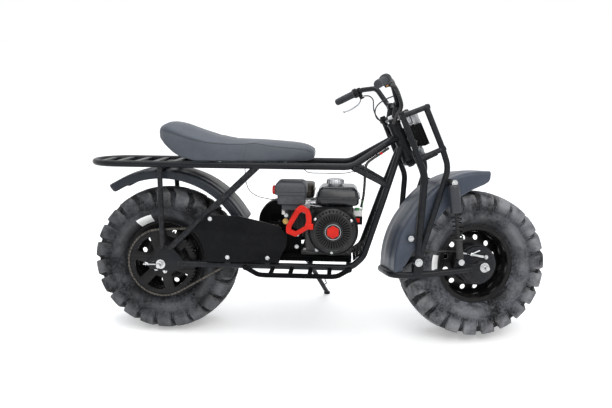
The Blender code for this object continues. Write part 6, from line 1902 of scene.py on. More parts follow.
@dataclass
class Controls(Assembly):
    """Handlebar, grips, throttle housing, lever, lamp and the two free cables."""

    body: Body = Body.FORK
    bar: float = 0.0111
    grip: float = 0.0156
    loom: float = 0.008
    brake_sleeve: float = 0.0029
    throttle_sleeve: float = 0.0028
    lamp_ribs: int = 17

    @staticmethod
    def points(side: float) -> list:
        """Half of the handlebar from the clamp to its tip."""
        return [(CLAMP[0], 0.0, CLAMP[1]), (CLAMP[0], side * 0.06, CLAMP[1]), (0.27, side * 0.115, 1.082),
                (0.225, side * 0.19, 1.082), (0.148, side * 0.335, 1.042)]

    def bars(self) -> None:
        """Bar, risers and clamps."""
        right, left = self.points(-1.0), self.points(1.0)
        parts = [pipe(right[::-1] + left[1:], self.bar, 0.045, 24)]
        low = axis_point(HEAD_LENGTH + 0.0163)
        for side in (-1, 1):
            parts.append(rod((low[0], side * 0.04, low[2]), (CLAMP[0], side * 0.04, CLAMP[1]), 0.013))
            ends = [(CLAMP[0], side * y, CLAMP[1]) for y in (0.028, 0.052)]
            parts.append(rod(*ends, 0.0165, 0.0015))
        self.add("bar_tube", merged(parts), FRAME_PAINT, "handlebar")
        caps = [dome_bolt(vec(CLAMP[0] + dx, s * 0.04, 1.0105), (0, 0, 1), 0.0038) for s in (-1, 1)
                for dx in (-0.009, 0.009)]
        self.add("clamp_screws", merged(caps), ZINC, smooth=50.0)

    def grips(self, side: float, name: str) -> None:
        """Ribbed rubber sleeve with its flange and end cap.

        Args:
            side: -1 for the right side, 1 for the left.
            name: the side's name in the pieces' names.
        """
        tip, inner = vec(*self.points(side)[-1]), vec(*self.points(side)[-2])
        line = unit(inner - tip)
        s = np.linspace(-0.006, 0.118, 125)
        rib = 0.00075 * (0.5 + 0.5 * np.sign(np.sin(s * 1150.0))) * (s > 0.01) * (s < 0.106)
        sleeve = [(-0.0085, 0.0), (-0.0085, 0.012), (-0.007, 0.015)]
        sleeve += list(zip(s, self.grip + rib)) + [(0.1185, 0.0205), (0.1195, 0.0222), (0.1265, 0.0222),
                                                   (0.128, 0.0205), (0.128, 0.0)]
        self.add(f"grip_sleeve_{name}", revolve(sleeve, tip, line, 40), GRIP, f"grip_{name}", smooth=30.0)
        if side > 0:
            return
        house = revolve([(0.1285, 0.0), (0.1285, 0.02), (0.1305, 0.0222), (0.14, 0.0226), (0.141, 0.0216),
                         (0.1425, 0.0216), (0.1435, 0.0226), (0.155, 0.0222), (0.158, 0.019), (0.158, 0.0)],
                        tip, line, 40)
        down = unit(vec(0.35, 0.0, -0.94) - line * (vec(0.35, 0.0, -0.94) @ line))
        pod = rod(tip + line * 0.143 + down * 0.01, tip + line * 0.143 + down * 0.03, 0.013, 0.003)
        self.add("throttle_housing", merged([house, pod]), SHROUD)
        out = unit(vec(-0.6, -1.0, 0.0) - down * (vec(-0.6, -1.0, 0.0) @ down))
        at = tip + line * 0.143 + down * 0.0215 + out * 0.011
        self.add("stop_button", rod(at, at + out * 0.0045, 0.0052, 0.0014), AMBER)
        screws = [dome_bolt(tip + line * p + down * 0.0222, down, 0.0024) for p in (0.133, 0.152)]
        self.add("throttle_screws", merged(screws), ZINC, smooth=50.0)

    def bar_loom(self) -> None:
        """Taped bundle from the throttle housing along the right bar leg to the top yoke."""
        foot = axis_point(HEAD_LENGTH - 0.004, -0.018)
        route = [(0.215, -0.206, 1.062), (0.242, -0.164, 1.063), (0.278, -0.127, 1.06),
                 (0.308, -0.098, 1.022), (0.323, -0.078, 0.985), (0.308, -0.07, 0.95),
                 (foot[0], -0.05, foot[2])]
        path = smooth_path(route, 120)
        turns = 0.0004 * np.sign(np.sin(np.linspace(0.0, 150.0, 120)))
        self.add("bar_loom", sweep(path, self.loom + turns, 18), CABLE, smooth=50.0)

    def lever(self) -> None:
        """Lever perch, bent blade with its ball end, and the cable's ferrule."""
        tip, inner = vec(*self.points(1.0)[-1]), vec(*self.points(1.0)[-2])
        line, down = unit(inner - tip), unit(vec(0.55, 0.0, -0.83))
        mid = tip + line * 0.143
        clamp = revolve([(-0.011, 0.0112), (-0.011, 0.016), (-0.01, 0.017), (0.01, 0.017), (0.011, 0.016),
                         (0.011, 0.0112)], mid, line, 32, True)
        parts = [clamp, rod(mid + down * 0.014, mid + down * 0.036, 0.0098, 0.0015),
                 rod(mid + down * 0.03 - line * 0.004, mid + down * 0.03 + line * 0.012, 0.0072)]
        knee = mid + down * 0.03
        route = [knee - line * 0.002, knee - line * 0.04 + down * 0.022, knee - line * 0.105 + down * 0.03,
                 knee - line * 0.145 + down * 0.026]
        path = smooth_path(route, 40)
        thick = 0.0029 + 0.0013 * np.sin(np.linspace(0.0, math.pi, 40)) ** 2
        blade = sweep(path, thick, 16)
        round_end = [(-0.0062 * math.cos(t), 0.0062 * math.sin(t)) for t in np.linspace(0.2, 2.94, 12)]
        ball = revolve([(-0.0062, 0), *round_end, (0.0062, 0)], path[-1], line, 20)
        self.add("lever_perch", merged(parts), SHROUD, smooth=30.0)
        self.add("lever_blade", merged([blade, ball]), RAW_METAL, "brake_lever")
        start = tip + line * 0.1545 + down * 0.026
        teeth = [(k * 0.0008, 0.0044 + 0.0005 * (k % 2)) for k in range(13)]
        knurl = [(0.0, 0.0), *teeth, (0.01, 0.0032), (0.013, 0.0)]
        self.add("cable_ferrule", revolve(knurl, start, unit(line * 0.03 + vec(0.008, 0, -0.01)), 20), ZINC,
                 smooth=30.0)

    def brake_line(self) -> None:
        """Brake cable from the lever past the left tube and the head to the drum, and the throttle cable."""
        tip, inner = vec(*self.points(1.0)[-1]), vec(*self.points(1.0)[-2])
        line, down = unit(inner - tip), unit(vec(0.55, 0.0, -0.83))
        start = tip + line * 0.1548 + down * 0.026
        hold = (0.0125 + 0.003 + GAP) * 0.7071
        y = FORK_HALF_SPAN - hold
        rear = rounded(Fork.rear_points(), 0.1)[::-1]

        def beside(z: float, side: float, inset: float = 0.0) -> tuple:
            """A point at a height, touching the rear of one fork tube."""
            return (float(np.interp(z, rear[:, 2], rear[:, 0])) - hold * 1.14, side * (y - inset), z)

        def ahead(s: float, v: float, f: float = 0.044) -> tuple:
            """A point in front of the steering head, v metres to the left."""
            p = axis_point(s, f)
            return (p[0], v, p[2])

        knee = beside(0.445, -1)
        route = [start, start + line * 0.03 + vec(0.008, 0.0, -0.01), (0.2672, 0.157, 1.037),
                 (0.267, 0.146, 1.014), (0.2665, 0.137, 0.988), (0.278, 0.128, 0.958), beside(0.92, 1, 0.003),
                 beside(0.895, 1, 0.003), (0.343, 0.111, 0.869), ahead(0.085, 0.072, 0.04), ahead(0.078, 0.0),
                 ahead(0.07, -0.072, 0.04), (0.378, -0.107, 0.834), beside(0.795, -1, 0.002),
                 beside(0.75, -1), beside(0.7, -1), beside(0.64, -1), beside(0.52, -1), knee,
                 (knee[0] + 0.0085, -0.113, 0.413), (knee[0] + 0.033, -0.1115, 0.39), (0.47, -0.11, 0.384),
                 (0.55, -0.106, 0.382), (FRONT_AXLE[0] - 0.052, -0.096, FRONT_AXLE[2] + 0.05)]
        path = smooth_path(route, 300)
        end = vec(*route[-1])
        back = unit(end - path[-12])
        fitting = self.add("cable_end", merged([rod(end - back * 0.03, end - back * 0.004, 0.0042),
                                                rod(end - back * 0.006, end + back * 0.01, 0.0012,
                                                    sides=10)]), ZINC)
        self.cable("brake_cable_sleeve", path, self.brake_sleeve, CABLE, "brake_cable", ends=(fitting,))
        top = beside(0.93, 1, 0.012)
        loop = [(0.302, -0.101, 1.03), (0.308, -0.064, 1.036), (0.3, -0.024, 1.032), (0.283, 0.014, 1.024),
                (0.268, 0.044, 1.012), (0.259, 0.07, 0.996), (0.259, 0.091, 0.975), (0.272, 0.1055, 0.95),
                (top[0] - 0.002, top[1], top[2]), (top[0] + 0.018, top[1] + 0.006, top[2] - 0.023)]
        self.cable("throttle_cable", smooth_path(loop, 150), self.throttle_sleeve, CABLE)

    def lamp(self) -> None:
        """Slim lamp block: ribbed back, lens in front, raw sheet brackets above and below."""
        n = unit(axis_point(1.0) - axis_point(0.0))
        f = vec(math.cos(RAKE), 0.0, math.sin(RAKE))
        turn = np.eye(4)
        turn[:3, :3] = np.stack([f, vec(0, 1, 0), n], 1)
        turn[:3, 3] = axis_point(0.085, 0.068)
        body = [block((-0.008, -0.078, -0.05), (0.015, 0.078, 0.048), 0.006, 4)]
        for k in range(self.lamp_ribs):
            y = -0.072 + 0.009 * k
            body.append(block((-0.016, y - 0.0018, -0.046), (-0.006, y + 0.0018, 0.044), 0.0012, 2))
        bezel = block((0.013, -0.0775, -0.0495), (0.018, 0.0775, 0.0475), 0.0022, 3)
        self.add("lamp_block", merged(body + [bezel]).moved(turn), SHROUD, "headlight")
        self.add("lamp_glass", block((0.016, -0.0715, -0.0435), (0.0198, 0.0715, 0.0415), 0.0018,
                                     3).moved(turn), LENS)
        lights = [rod((0.0186, y, z), (0.02, y, z), 0.0088, 0.0006, 24)
                  for y in (-0.054, -0.018, 0.018, 0.054) for z in (-0.017, 0.017)]
        self.add("lamp_cells", merged(lights).moved(turn), RAW_METAL)
        low, high = -0.012 + 0.005 + GAP - 0.085, HEAD_LENGTH + 0.012 - 0.004 - GAP - 0.085
        straps = []
        for a, b, s in ((low, -0.04, -1.0), (0.04, high, 1.0)):
            straps.append(block((-0.004, -0.03, a), (-0.0015, 0.03, b), 0.0006, 2))
            end = a if s < 0 else b
            straps.append(block((-0.004, -0.03, end), (0.018, 0.03, end - s * 0.0024), 0.0006, 2))
        straps += [block((-0.006, y - 0.0008, 0.047), (0.026, y + 0.0008, high - 0.0006), 0.0004, 2)
                   for y in (-0.052, 0.052)]
        straps.append(block((0.0245, -0.0528, 0.048), (0.026, 0.0528, high - 0.0006), 0.0004, 2))
        self.add("lamp_brackets", merged(straps).moved(turn), RAW_METAL, smooth=30.0)
        bolts = [hex_bolt(vec(-0.0044, y, z), (-1, 0, 0), 0.005) for y in (-0.018, 0.018)
                 for z in (-0.054, 0.054)]
        self.add("lamp_bolts", merged(bolts).moved(turn), ZINC, smooth=30.0)

    def build(self) -> None:
        """Make every control and the lamp."""
        self.bars()
        self.grips(-1.0, "right")
        self.grips(1.0, "left")
        self.bar_loom()
        self.lever()
        self.lamp()
        self.brake_line()


def stack(x: tuple, y: tuple, levels: list, corner: float = 0.02) -> Shell:
    """A body built of rounded rectangles one above the other.

    Args:
        x: its side limits along X.
        y: its side limits along Y.
        levels: rows of (height, inset), rising.
        corner: corner radius of an uninset row.

    Returns:
        A closed body.
    """
    a = np.linspace(0.0, math.pi / 2.0, 12)
    rings = []
    for z, inset in levels:
        r = max(corner - inset * 0.5, 0.004)
        hx, hy = (x[1] - x[0]) / 2.0 - inset - r, (y[1] - y[0]) / 2.0 - inset - r
        corners = [(hx, hy), (-hx, hy), (-hx, -hy), (hx, -hy)]
        ring = np.concatenate([np.stack([cx + r * np.cos(a + k * math.pi / 2),
                                         cy + r * np.sin(a + k * math.pi / 2)], -1)
                               for k, (cx, cy) in enumerate(corners)])
        ring += vec((x[0] + x[1]) / 2.0, (y[0] + y[1]) / 2.0)
        rings.append(np.column_stack([ring, np.full(len(ring), z)]))
    n = len(rings[0])
    faces = [grid_faces(len(rings), n, False, True), np.arange(n)[None, ::-1],
             (np.arange(n) + (len(rings) - 1) * n)[None]]
    return Shell(np.concatenate(rings), faces)


@dataclass
class Engine(Assembly):
    """Utility engine: block, fan shroud with recoil starter, tank, air box, muffler and clutch cover."""

    shroud: float = 0.105
    slots: int = 36
    notches: int = 14
    fins: int = 11
    foot_z: float = 0.36
    thin_cable: float = 0.0017
    loom: float = 0.006

    def block_and_head(self) -> None:
        """Crankcase, finned cylinder, head and the box at the front."""
        z0 = self.foot_z
        parts = [block((-0.055, -0.09, z0 + 0.01), (0.15, 0.085, 0.578), 0.012, 4),
                 block((-0.07, -0.095, z0), (0.14, 0.09, z0 + 0.016), 0.004),
                 rod((CRANK[0], 0.07, CRANK[1]), (CRANK[0], 0.1077, CRANK[1]), 0.048, 0.002),
                 block((-0.14, -0.052, 0.464), (-0.05, 0.052, HEAD_TOP_Z), 0.008)]
        for k in range(self.fins):
            x = -0.06 - 0.0068 * k
            parts.append(block((x - 0.0014, -0.072, 0.432 + 0.002 * k), (x + 0.0014, 0.072, 0.575), 0.0012,
                               2))
        feet = [(x, y) for y in (-0.087, 0.082) for x in (-0.056, 0.127)]
        for x, y in feet:
            parts.append(block((x - 0.012, y - 0.008, z0), (x + 0.012, y + 0.008, z0 + 0.022), 0.003))
        self.add("crankcase", merged(parts), CAST, "engine_block")
        bolts = [hex_bolt(vec(x, y, z0 + 0.022), (0, 0, 1), 0.007) for x, y in feet]
        self.add("mount_bolts", merged(bolts), ZINC, smooth=30.0)
        drain = [rod((-0.002, -0.089, 0.386), (-0.002, -0.108, 0.386), 0.0085),
                 hex_bolt(vec(-0.002, -0.108, 0.386), (0, -1, 0), 0.0062, False)]
        self.add("drain_boss", merged(drain), RAW_METAL, smooth=30.0)
        self.add("switch_box", block((0.147, -0.09, 0.495), (0.19, -0.03, 0.53), 0.004), SHROUD)
        self.add("plug_box", block((0.15, -0.089, 0.531), (0.189, -0.033, 0.5575), 0.004), PALE_PLUG)
        self.add("green_plug", block((0.158, -0.09, 0.556), (0.176, -0.076, 0.568), 0.002), GREEN_WIRE)
        self.add("rocker_switch", block((0.156, -0.0935, 0.506), (0.178, -0.0895, 0.524), 0.0016), RED)

    def cover(self) -> None:
        """Fan shroud, the starter's domed cover with two rings of slots, and its plain centre."""
        top = [(-0.035, HEAD_TOP_Z), (0.12, HEAD_TOP_Z)]
        outline = soft_corners(ring2(*CRANK, self.shroud, 40.0, -230.0, 60) + top, 0.008)
        body = plate(outline, -0.17, -0.0905, (), 0.01)
        inner = plate(soft_corners(ring2(*CRANK, 0.0985, 40.0, -230.0, 60) + [(-0.031, 0.5735),
                                                                              (0.116, 0.5735)], 0.008),
                      -0.1745, -0.16, (), 0.003)
        self.add("fan_shroud", merged([body, inner]), SHROUD, "blower_housing")
        profile = [(-0.17, 0.0), (-0.17, 0.0945), (-0.1735, 0.095), (-0.176, 0.093), (-0.18, 0.086),
                   (-0.1825, 0.0815), (-0.1845, 0.08), (-0.1868, 0.08), (-0.1878, 0.079), (-0.1878, 0.0765),
                   (-0.1866, 0.0752), (-0.1852, 0.0748), (-0.1862, 0.06), (-0.1872, 0.042), (-0.189, 0.0395),
                   (-0.1898, 0.038), (-0.1898, 0.0355), (-0.1888, 0.0345), (-0.188, 0.034), (-0.188, 0.0)]
        dome = revolve([(-y, r) for y, r in profile], vec(CRANK[0], 0, CRANK[1]), (0, -1, 0), 144)
        slot = block((-0.015, -0.2, -0.0024), (0.015, -0.1745, 0.0024), 0.002, 2)
        notch = block((-0.005, -0.2, -0.0024), (0.005, -0.172, 0.0024), 0.0018, 2)
        cutters = [on_spoke(slot, CRANK, 0.0555, math.tau * (k + 0.5) / self.slots)
                   for k in range(self.slots)]
        cutters += [on_spoke(notch, CRANK, 0.085, math.radians(20.0 + 10.0 * k)) for k in range(self.notches)]
        self.add("starter_cover", cut(dome, cutters), FINS, smooth=30.0)
        plaque = soft_corners(ring2(CRANK[0], CRANK[1], 0.0275, 90.0, 450.0, 6), 0.004)
        self.add("starter_centre", plate(plaque, -0.1898, -0.1875, (), 0.0006), RED)
        ring = np.array([(x, -0.1886, z) for x, z in ring2(*CRANK, 0.0318, count=80)])
        self.add("starter_ring", sweep(ring, 0.0012, 10, True), RAW_METAL)
        screws = []
        for deg in (145.0, 33.0, 267.0):
            a = math.radians(deg)
            screws.append(dome_bolt(vec(CRANK[0] + 0.0885 * math.cos(a), -0.1782,
                                        CRANK[1] + 0.0885 * math.sin(a)), (0, -1, 0), 0.0052))
        self.add("starter_screws", merged(screws), ZINC, smooth=50.0)

    def handle(self) -> None:
        """Pull handle with a ribbed grip side and the stub that its rope comes out of."""
        y, half = -0.183, 0.0064
        outer = [(-0.0393, 0.489), (-0.0216, 0.516), (-0.0216, 0.545), (-0.0314, 0.574), (-0.056, 0.591),
                 (-0.07, 0.591), (-0.08, 0.582), (-0.127, 0.502), (-0.1267, 0.474), (-0.0865, 0.459)]
        inner = [(-0.0865, 0.482), (-0.0511, 0.504), (-0.0432, 0.526), (-0.0472, 0.558), (-0.061, 0.564),
                 (-0.0708, 0.558), (-0.1023, 0.506), (-0.1062, 0.49)]
        loop = plate(soft_corners(outer, 0.008), y - half, y + half, (soft_corners(inner, 0.005),), 0.0034)
        parts = [loop]
        a, b = vec(-0.076, 0.0, 0.574), vec(-0.116, 0.0, 0.503)
        along = unit(b - a)
        square = vec(along[2], 0.0, -along[0])
        for k in range(10):
            at = a + along * (0.004 + 0.0082 * k) + vec(0, y, 0)
            rib = block((-0.0108, -half - 0.0016, -0.002), (0.0108, half + 0.0016, 0.002), 0.0016, 2)
            turn = np.eye(4)
            turn[:3, :3] = np.stack([square, vec(0, 1, 0), along], 1)
            turn[:3, 3] = at
            parts.append(rib.moved(turn))
        parts.append(block((-0.04, y - 0.008, 0.49), (-0.014, y + 0.008, 0.515), 0.005, 3))
        parts.append(rod((-0.026, y, 0.503), (-0.018, -0.164, 0.502), 0.0085, 0.001))
        self.add("pull_handle", merged(parts), RED, "recoil_handle")

    def tank(self) -> None:
        """Pressed tank with a seam flange, slanted shoulders, filler neck and cap."""
        levels = [(0.5803, 0.02), (0.583, 0.009), (0.588, 0.003), (0.596, 0.0), (0.613, 0.0),
                  (0.6132, -0.0052), (0.6192, -0.0052), (0.6194, 0.0005), (0.645, 0.007), (0.647, 0.0084),
                  (0.657, 0.019), (0.6584, 0.0214), (0.6597, 0.027), (0.66, 0.042)]
        body = stack((-0.004, 0.173), (-0.142, 0.03), levels, 0.024)
        self.add("tank_shell", body, TANK_PAINT, "fuel_tank", smooth=24.0)
        at = vec(0.072, -0.056, 0.0)
        neck = [(0.655, 0.0), (0.655, 0.033), (0.661, 0.033), (0.6625, 0.029), (0.669, 0.0285), (0.669, 0.0)]
        self.add("tank_neck", revolve(neck, at, (0, 0, 1), 40), RAW_METAL)
        a = np.linspace(0.0, math.tau, 120, endpoint=False)
        rings = [(0.667, 0.0), (0.667, 0.036), (0.6685, 0.0372), (0.68, 0.0368), (0.685, 0.0345),
                 (0.6868, 0.029), (0.6876, 0.014), (0.6878, 0.0)]
        points = []
        for z, r in rings:
            wave = 1.0 + (0.022 * np.sign(np.cos(a * 20)) if 0.668 < z < 0.684 else 0.0)
            points.append(np.stack([at[0] + r * wave * np.cos(a), at[1] + r * wave * np.sin(a),
                                    np.full_like(a, z)], -1))
        cap = Shell(np.concatenate(points), [grid_faces(len(rings), len(a), False, True)])
        self.add("tank_cap", cap, RAW_METAL, smooth=30.0)

    def breather(self) -> None:
        """Air cleaner: case, deep cover with a bevelled lid, and its knob."""
        case = stack((-0.168, -0.05), (-0.15, -0.03), [(0.586, 0.006), (0.589, 0.001), (0.627, 0.0)], 0.012)
        lid = stack((-0.178, -0.046), (-0.156, -0.024),
                    [(0.6262, 0.004), (0.6275, 0.0005), (0.63, 0.0), (0.639, 0.0), (0.6392, 0.0014),
                     (0.6412, 0.0014), (0.6414, 0.0), (0.664, 0.0008), (0.672, 0.005), (0.679, 0.014),
                     (0.6818, 0.022)], 0.014)
        duct = block((-0.11, -0.075, HEAD_TOP_Z + GAP), (-0.07, -0.04, 0.59), 0.002)
        arm = block((-0.15, -0.135, 0.56), (-0.075, -0.09, 0.587), 0.006)
        self.add("air_cleaner", merged([case, lid, duct, arm]), CLEANER_BLACK, "air_box", smooth=28.0)
        knob = [(0.0, 0.0), (0.0, 0.017), (0.002, 0.019), (0.013, 0.0194), (0.0165, 0.0165), (0.0168, 0.0)]
        self.add("air_cleaner_knob", revolve(knob, vec(-0.1762, -0.09, 0.64), (-1, 0, 0), 36), RED)

    def exhaust(self) -> None:
        """Box muffler with a slotted heat shield, its pipe and outlet."""
        can = stack((-0.16, -0.02), (0.0, 0.115), [(0.59, 0.012), (0.593, 0.004), (0.599, 0.0), (0.62, 0.0),
                    (0.6205, -0.003), (0.6245, -0.003), (0.625, 0.0), (0.647, 0.0), (0.653, 0.004),
                                                   (0.656, 0.012)], 0.022)
        pipe_in = rod((-0.115, 0.035, HEAD_TOP_Z + GAP), (-0.115, 0.035, 0.595), 0.016)
        out = rod((-0.156, 0.08, 0.615), (-0.182, 0.08, 0.605), 0.012)
        self.add("muffler_can", merged([can, pipe_in, out]), DARK_STEEL, "muffler", smooth=28.0)
        holes = [ring2(-0.138 + 0.016 * k, 0.61 + 0.014 * j, 0.004, count=12) for k in range(7)
                 for j in range(3)]
        shield = plate(soft_corners([(-0.153, 0.599), (-0.027, 0.599), (-0.027, 0.65), (-0.153, 0.65)], 0.01),
                       0.116, 0.1176, tuple(holes), 0.0005)
        self.add("heat_shield", shield, STRUT_GREY, smooth=30.0)

    def clutch(self) -> None:
        """Long cover of the belt clutch with its bolts and cooling slots."""
        span = vec(DRIVE[0] - CRANK[0], DRIVE[1] - CRANK[1])
        base = math.degrees(math.atan2(span[1], span[0]))
        outline = ring2(*DRIVE, 0.1, base - 88.0, base + 88.0, 40) + ring2(*CRANK, 0.09, base + 92.0,
                                                                           base + 268.0, 40)
        inner = ring2(*DRIVE, 0.09, base - 88.0, base + 88.0, 40) + ring2(*CRANK, 0.08, base + 92.0,
                                                                          base + 268.0, 40)
        parts = [plate(outline, 0.108, 0.17, (), 0.006), plate(inner, 0.165, 0.178, (), 0.004)]
        boss = revolve([(0.176, 0.0), (0.176, 0.06), (0.18, 0.059), (0.187, 0.051), (0.188, 0.049),
                        (0.188, 0.0)], vec(DRIVE[0], 0, DRIVE[1]), (0, 1, 0), 64)
        parts.append(boss)
        rib = block((-0.016, 0.179, -0.0022), (0.016, 0.1893, 0.0022), 0.0018, 2)
        parts += [on_spoke(rib, DRIVE, 0.03, math.tau * k / 8) for k in range(8)]
        self.add("belt_cover", merged(parts), SHROUD, "clutch_cover", smooth=30.0)
        bolts = []
        for (cx, cz), r, degs in ((DRIVE, 0.095, (-70.0, 0.0, 70.0)), (CRANK, 0.085, (110.0, 180.0, 250.0))):
            for d in degs:
                a = math.radians(base + d)
                bolts.append(hex_bolt(vec(cx + r * math.cos(a), 0.17, cz + r * math.sin(a)), (0, 1, 0),
                                      0.005))
        self.add("belt_cover_bolts", merged(bolts), ZINC, smooth=30.0)

    def carrier(self) -> None:
        """Bearing bracket of the driving shaft: a cheek plate with its boss, foot and two stiffening ribs."""
        cheek = soft_corners([(-0.22, 0.44), (-0.215, 0.495), (-0.15, 0.5), (-0.07, 0.455), (-0.07, 0.38),
                              (-0.11, 0.364), (-0.19, 0.364)], 0.014)
        parts = [plate(cheek, -0.074, -0.069, (ring2(*DRIVE, 0.0125, count=24),), 0.0008)]
        parts.append(revolve([(0.0, 0.0125), (0.0, 0.024), (0.003, 0.025), (0.02, 0.025), (0.02, 0.0125)],
                             vec(DRIVE[0], -0.074, DRIVE[1]), (0, 1, 0), 40, True))
        parts.append(block((-0.195, -0.074, 0.362), (-0.075, -0.03, 0.368), 0.002))
        parts += [block((x - 0.0022, -0.07, 0.366), (x + 0.0022, -0.04, z), 0.001) for x, z in
                  ((-0.115, 0.43), (-0.15, 0.435))]
        self.add("shaft_bracket", merged(parts), DULL_PAINT, smooth=30.0)
        bolts = [hex_bolt(vec(x, -0.074, z), (0, -1, 0), 0.0062) for x,
                 z in ((-0.088, 0.445), (-0.09, 0.39), (-0.195, 0.475))]
        self.add("shaft_bracket_bolts", merged(bolts), ZINC, smooth=30.0)

    def small_parts(self) -> None:
        """Carburettor, throttle link and spring, plugs, coloured leads and the clipped loom."""
        carb = [block((-0.07, -0.128, 0.568), (-0.03, -0.09, 0.605), 0.004),
                rod((-0.05, -0.109, 0.545), (-0.05, -0.109, 0.57), 0.017, 0.004),
                rod((-0.034, -0.112, 0.59), (-0.008, -0.112, 0.59), 0.008)]
        self.add("carburettor", merged(carb), RAW_METAL)
        link = pipe([(-0.045, -0.13, 0.59), (-0.03, -0.142, 0.5855), (0.02, -0.142, 0.579),
                     (0.05, -0.13, 0.579)], 0.0012, 0.006, 8)
        t = np.linspace(0.0, 1.0, 160)
        spring = np.stack([-0.05 + 0.044 * t, -0.135 + 0.003 * np.cos(t * 75.0),
                           0.602 + 0.003 * np.sin(t * 75.0)], -1)
        lever = plate(soft_corners([(-0.07, 0.56), (-0.06, 0.56), (-0.038, 0.598), (-0.048, 0.605)], 0.003),
                      -0.134, -0.1318, (), 0.0005)
        self.add("throttle_link", merged([link, sweep(spring, 0.0006, 6), lever]), ZINC)
        routes = [[(-0.307, -0.115, 0.733), (-0.307, -0.09, 0.6745), (-0.2943, -0.07, 0.6313),
                   (-0.2598, -0.062, 0.6058), (-0.2164, -0.06, 0.5956), (-0.16, -0.06, 0.585)],
                  [(-0.06, -0.112, 0.732), (-0.0363, -0.112, 0.718), (0.0276, -0.11, 0.7165),
                   (0.0913, -0.106, 0.716), (0.15, -0.1, 0.727), (0.23, -0.08, 0.776)]]
        for name, route in zip(("choke_cable", "rail_cable"), routes):
            self.cable(name, smooth_path(route, 60), self.thin_cable, CABLE)
        self.add("brass_plug", hex_bolt(vec(-0.136, -0.11, 0.508), (0, -1, 0), 0.0085), BRASS, smooth=30.0)
        self.add("brass_plug_seat", rod((-0.136, -0.05, 0.508), (-0.136, -0.1102, 0.508), 0.01), CAST)
        plug = [(0.0, 0.0), (0.0, 0.0075), (0.018, 0.007), (0.019, 0.0052), (0.03, 0.005), (0.031, 0.0)]
        self.add("spark_plug", revolve(plug, vec(-0.144, -0.115, 0.54), (0, 0, 1), 24), PALE_PLUG)
        self.add("cleaner_nut", hex_bolt(vec(-0.134, -0.104, 0.533), (0, -1, 0), 0.006), ZINC, smooth=30.0)
        r = self.loom
        head, bend = vec(0.306, -0.034, 0.85), vec(0.138, -RAIL_HALF_SPAN, RAIL_HEIGHT)
        along = unit(bend - head)
        under = unit(vec(0, 0, -1) + along * along[2]) * (RAIL_RADIUS + r + GAP + 0.0014)
        route = [head + (bend - head) * s + under for s in (0.12, 0.26, 0.4, 0.54)]
        route += [(0.203, -0.088, 0.756), (0.196, -0.086, 0.72), (0.196, -0.078, 0.675),
                  (0.193, -0.066, 0.62), (0.188, -0.061, 0.588), (0.184, -0.06, 0.566)]
        path = smooth_path(route, 150)
        wrap = r * (0.92 + 0.05 * np.sin(np.arange(150) * 1.3))
        self.add("loom", sweep(path, wrap, 12), CABLE, "wiring_harness")
        q = np.linspace(0, math.tau, 30, endpoint=False)[:, None]
        band = (RAIL_RADIUS + 0.0006) * (np.cos(q) * unit(under) + np.sin(q) * np.cross(along, unit(under)))
        clips = [sweep(head + (bend - head) * s + band, 0.0012, 8, True) for s in (0.2, 0.42)]
        self.add("loom_clips", merged(clips), SOFT_BLACK)
        self.add("loom_tag", block((0.256, -0.076, 0.794), (0.268, -0.064, 0.803), 0.002), RED)
        for k, finish in enumerate((GREEN_WIRE, YELLOW_WIRE, RED_WIRE)):
            y = -0.088 + 0.006 * k
            lead = smooth_path([(0.183, y * 0.5 - 0.018, 0.6), (0.1885, y, 0.59),
                                (0.189, y - 0.002, 0.568 - 0.003 * k), (0.187, y, 0.554)], 30)
            self.add(f"lead_{k}", sweep(lead, 0.0013, 8), finish)

    def build(self) -> None:
        """Make every piece of the engine."""
        self.block_and_head()
        self.cover()
        self.handle()
        self.tank()
        self.breather()
        self.exhaust()
        self.clutch()
        self.carrier()
        self.small_parts()


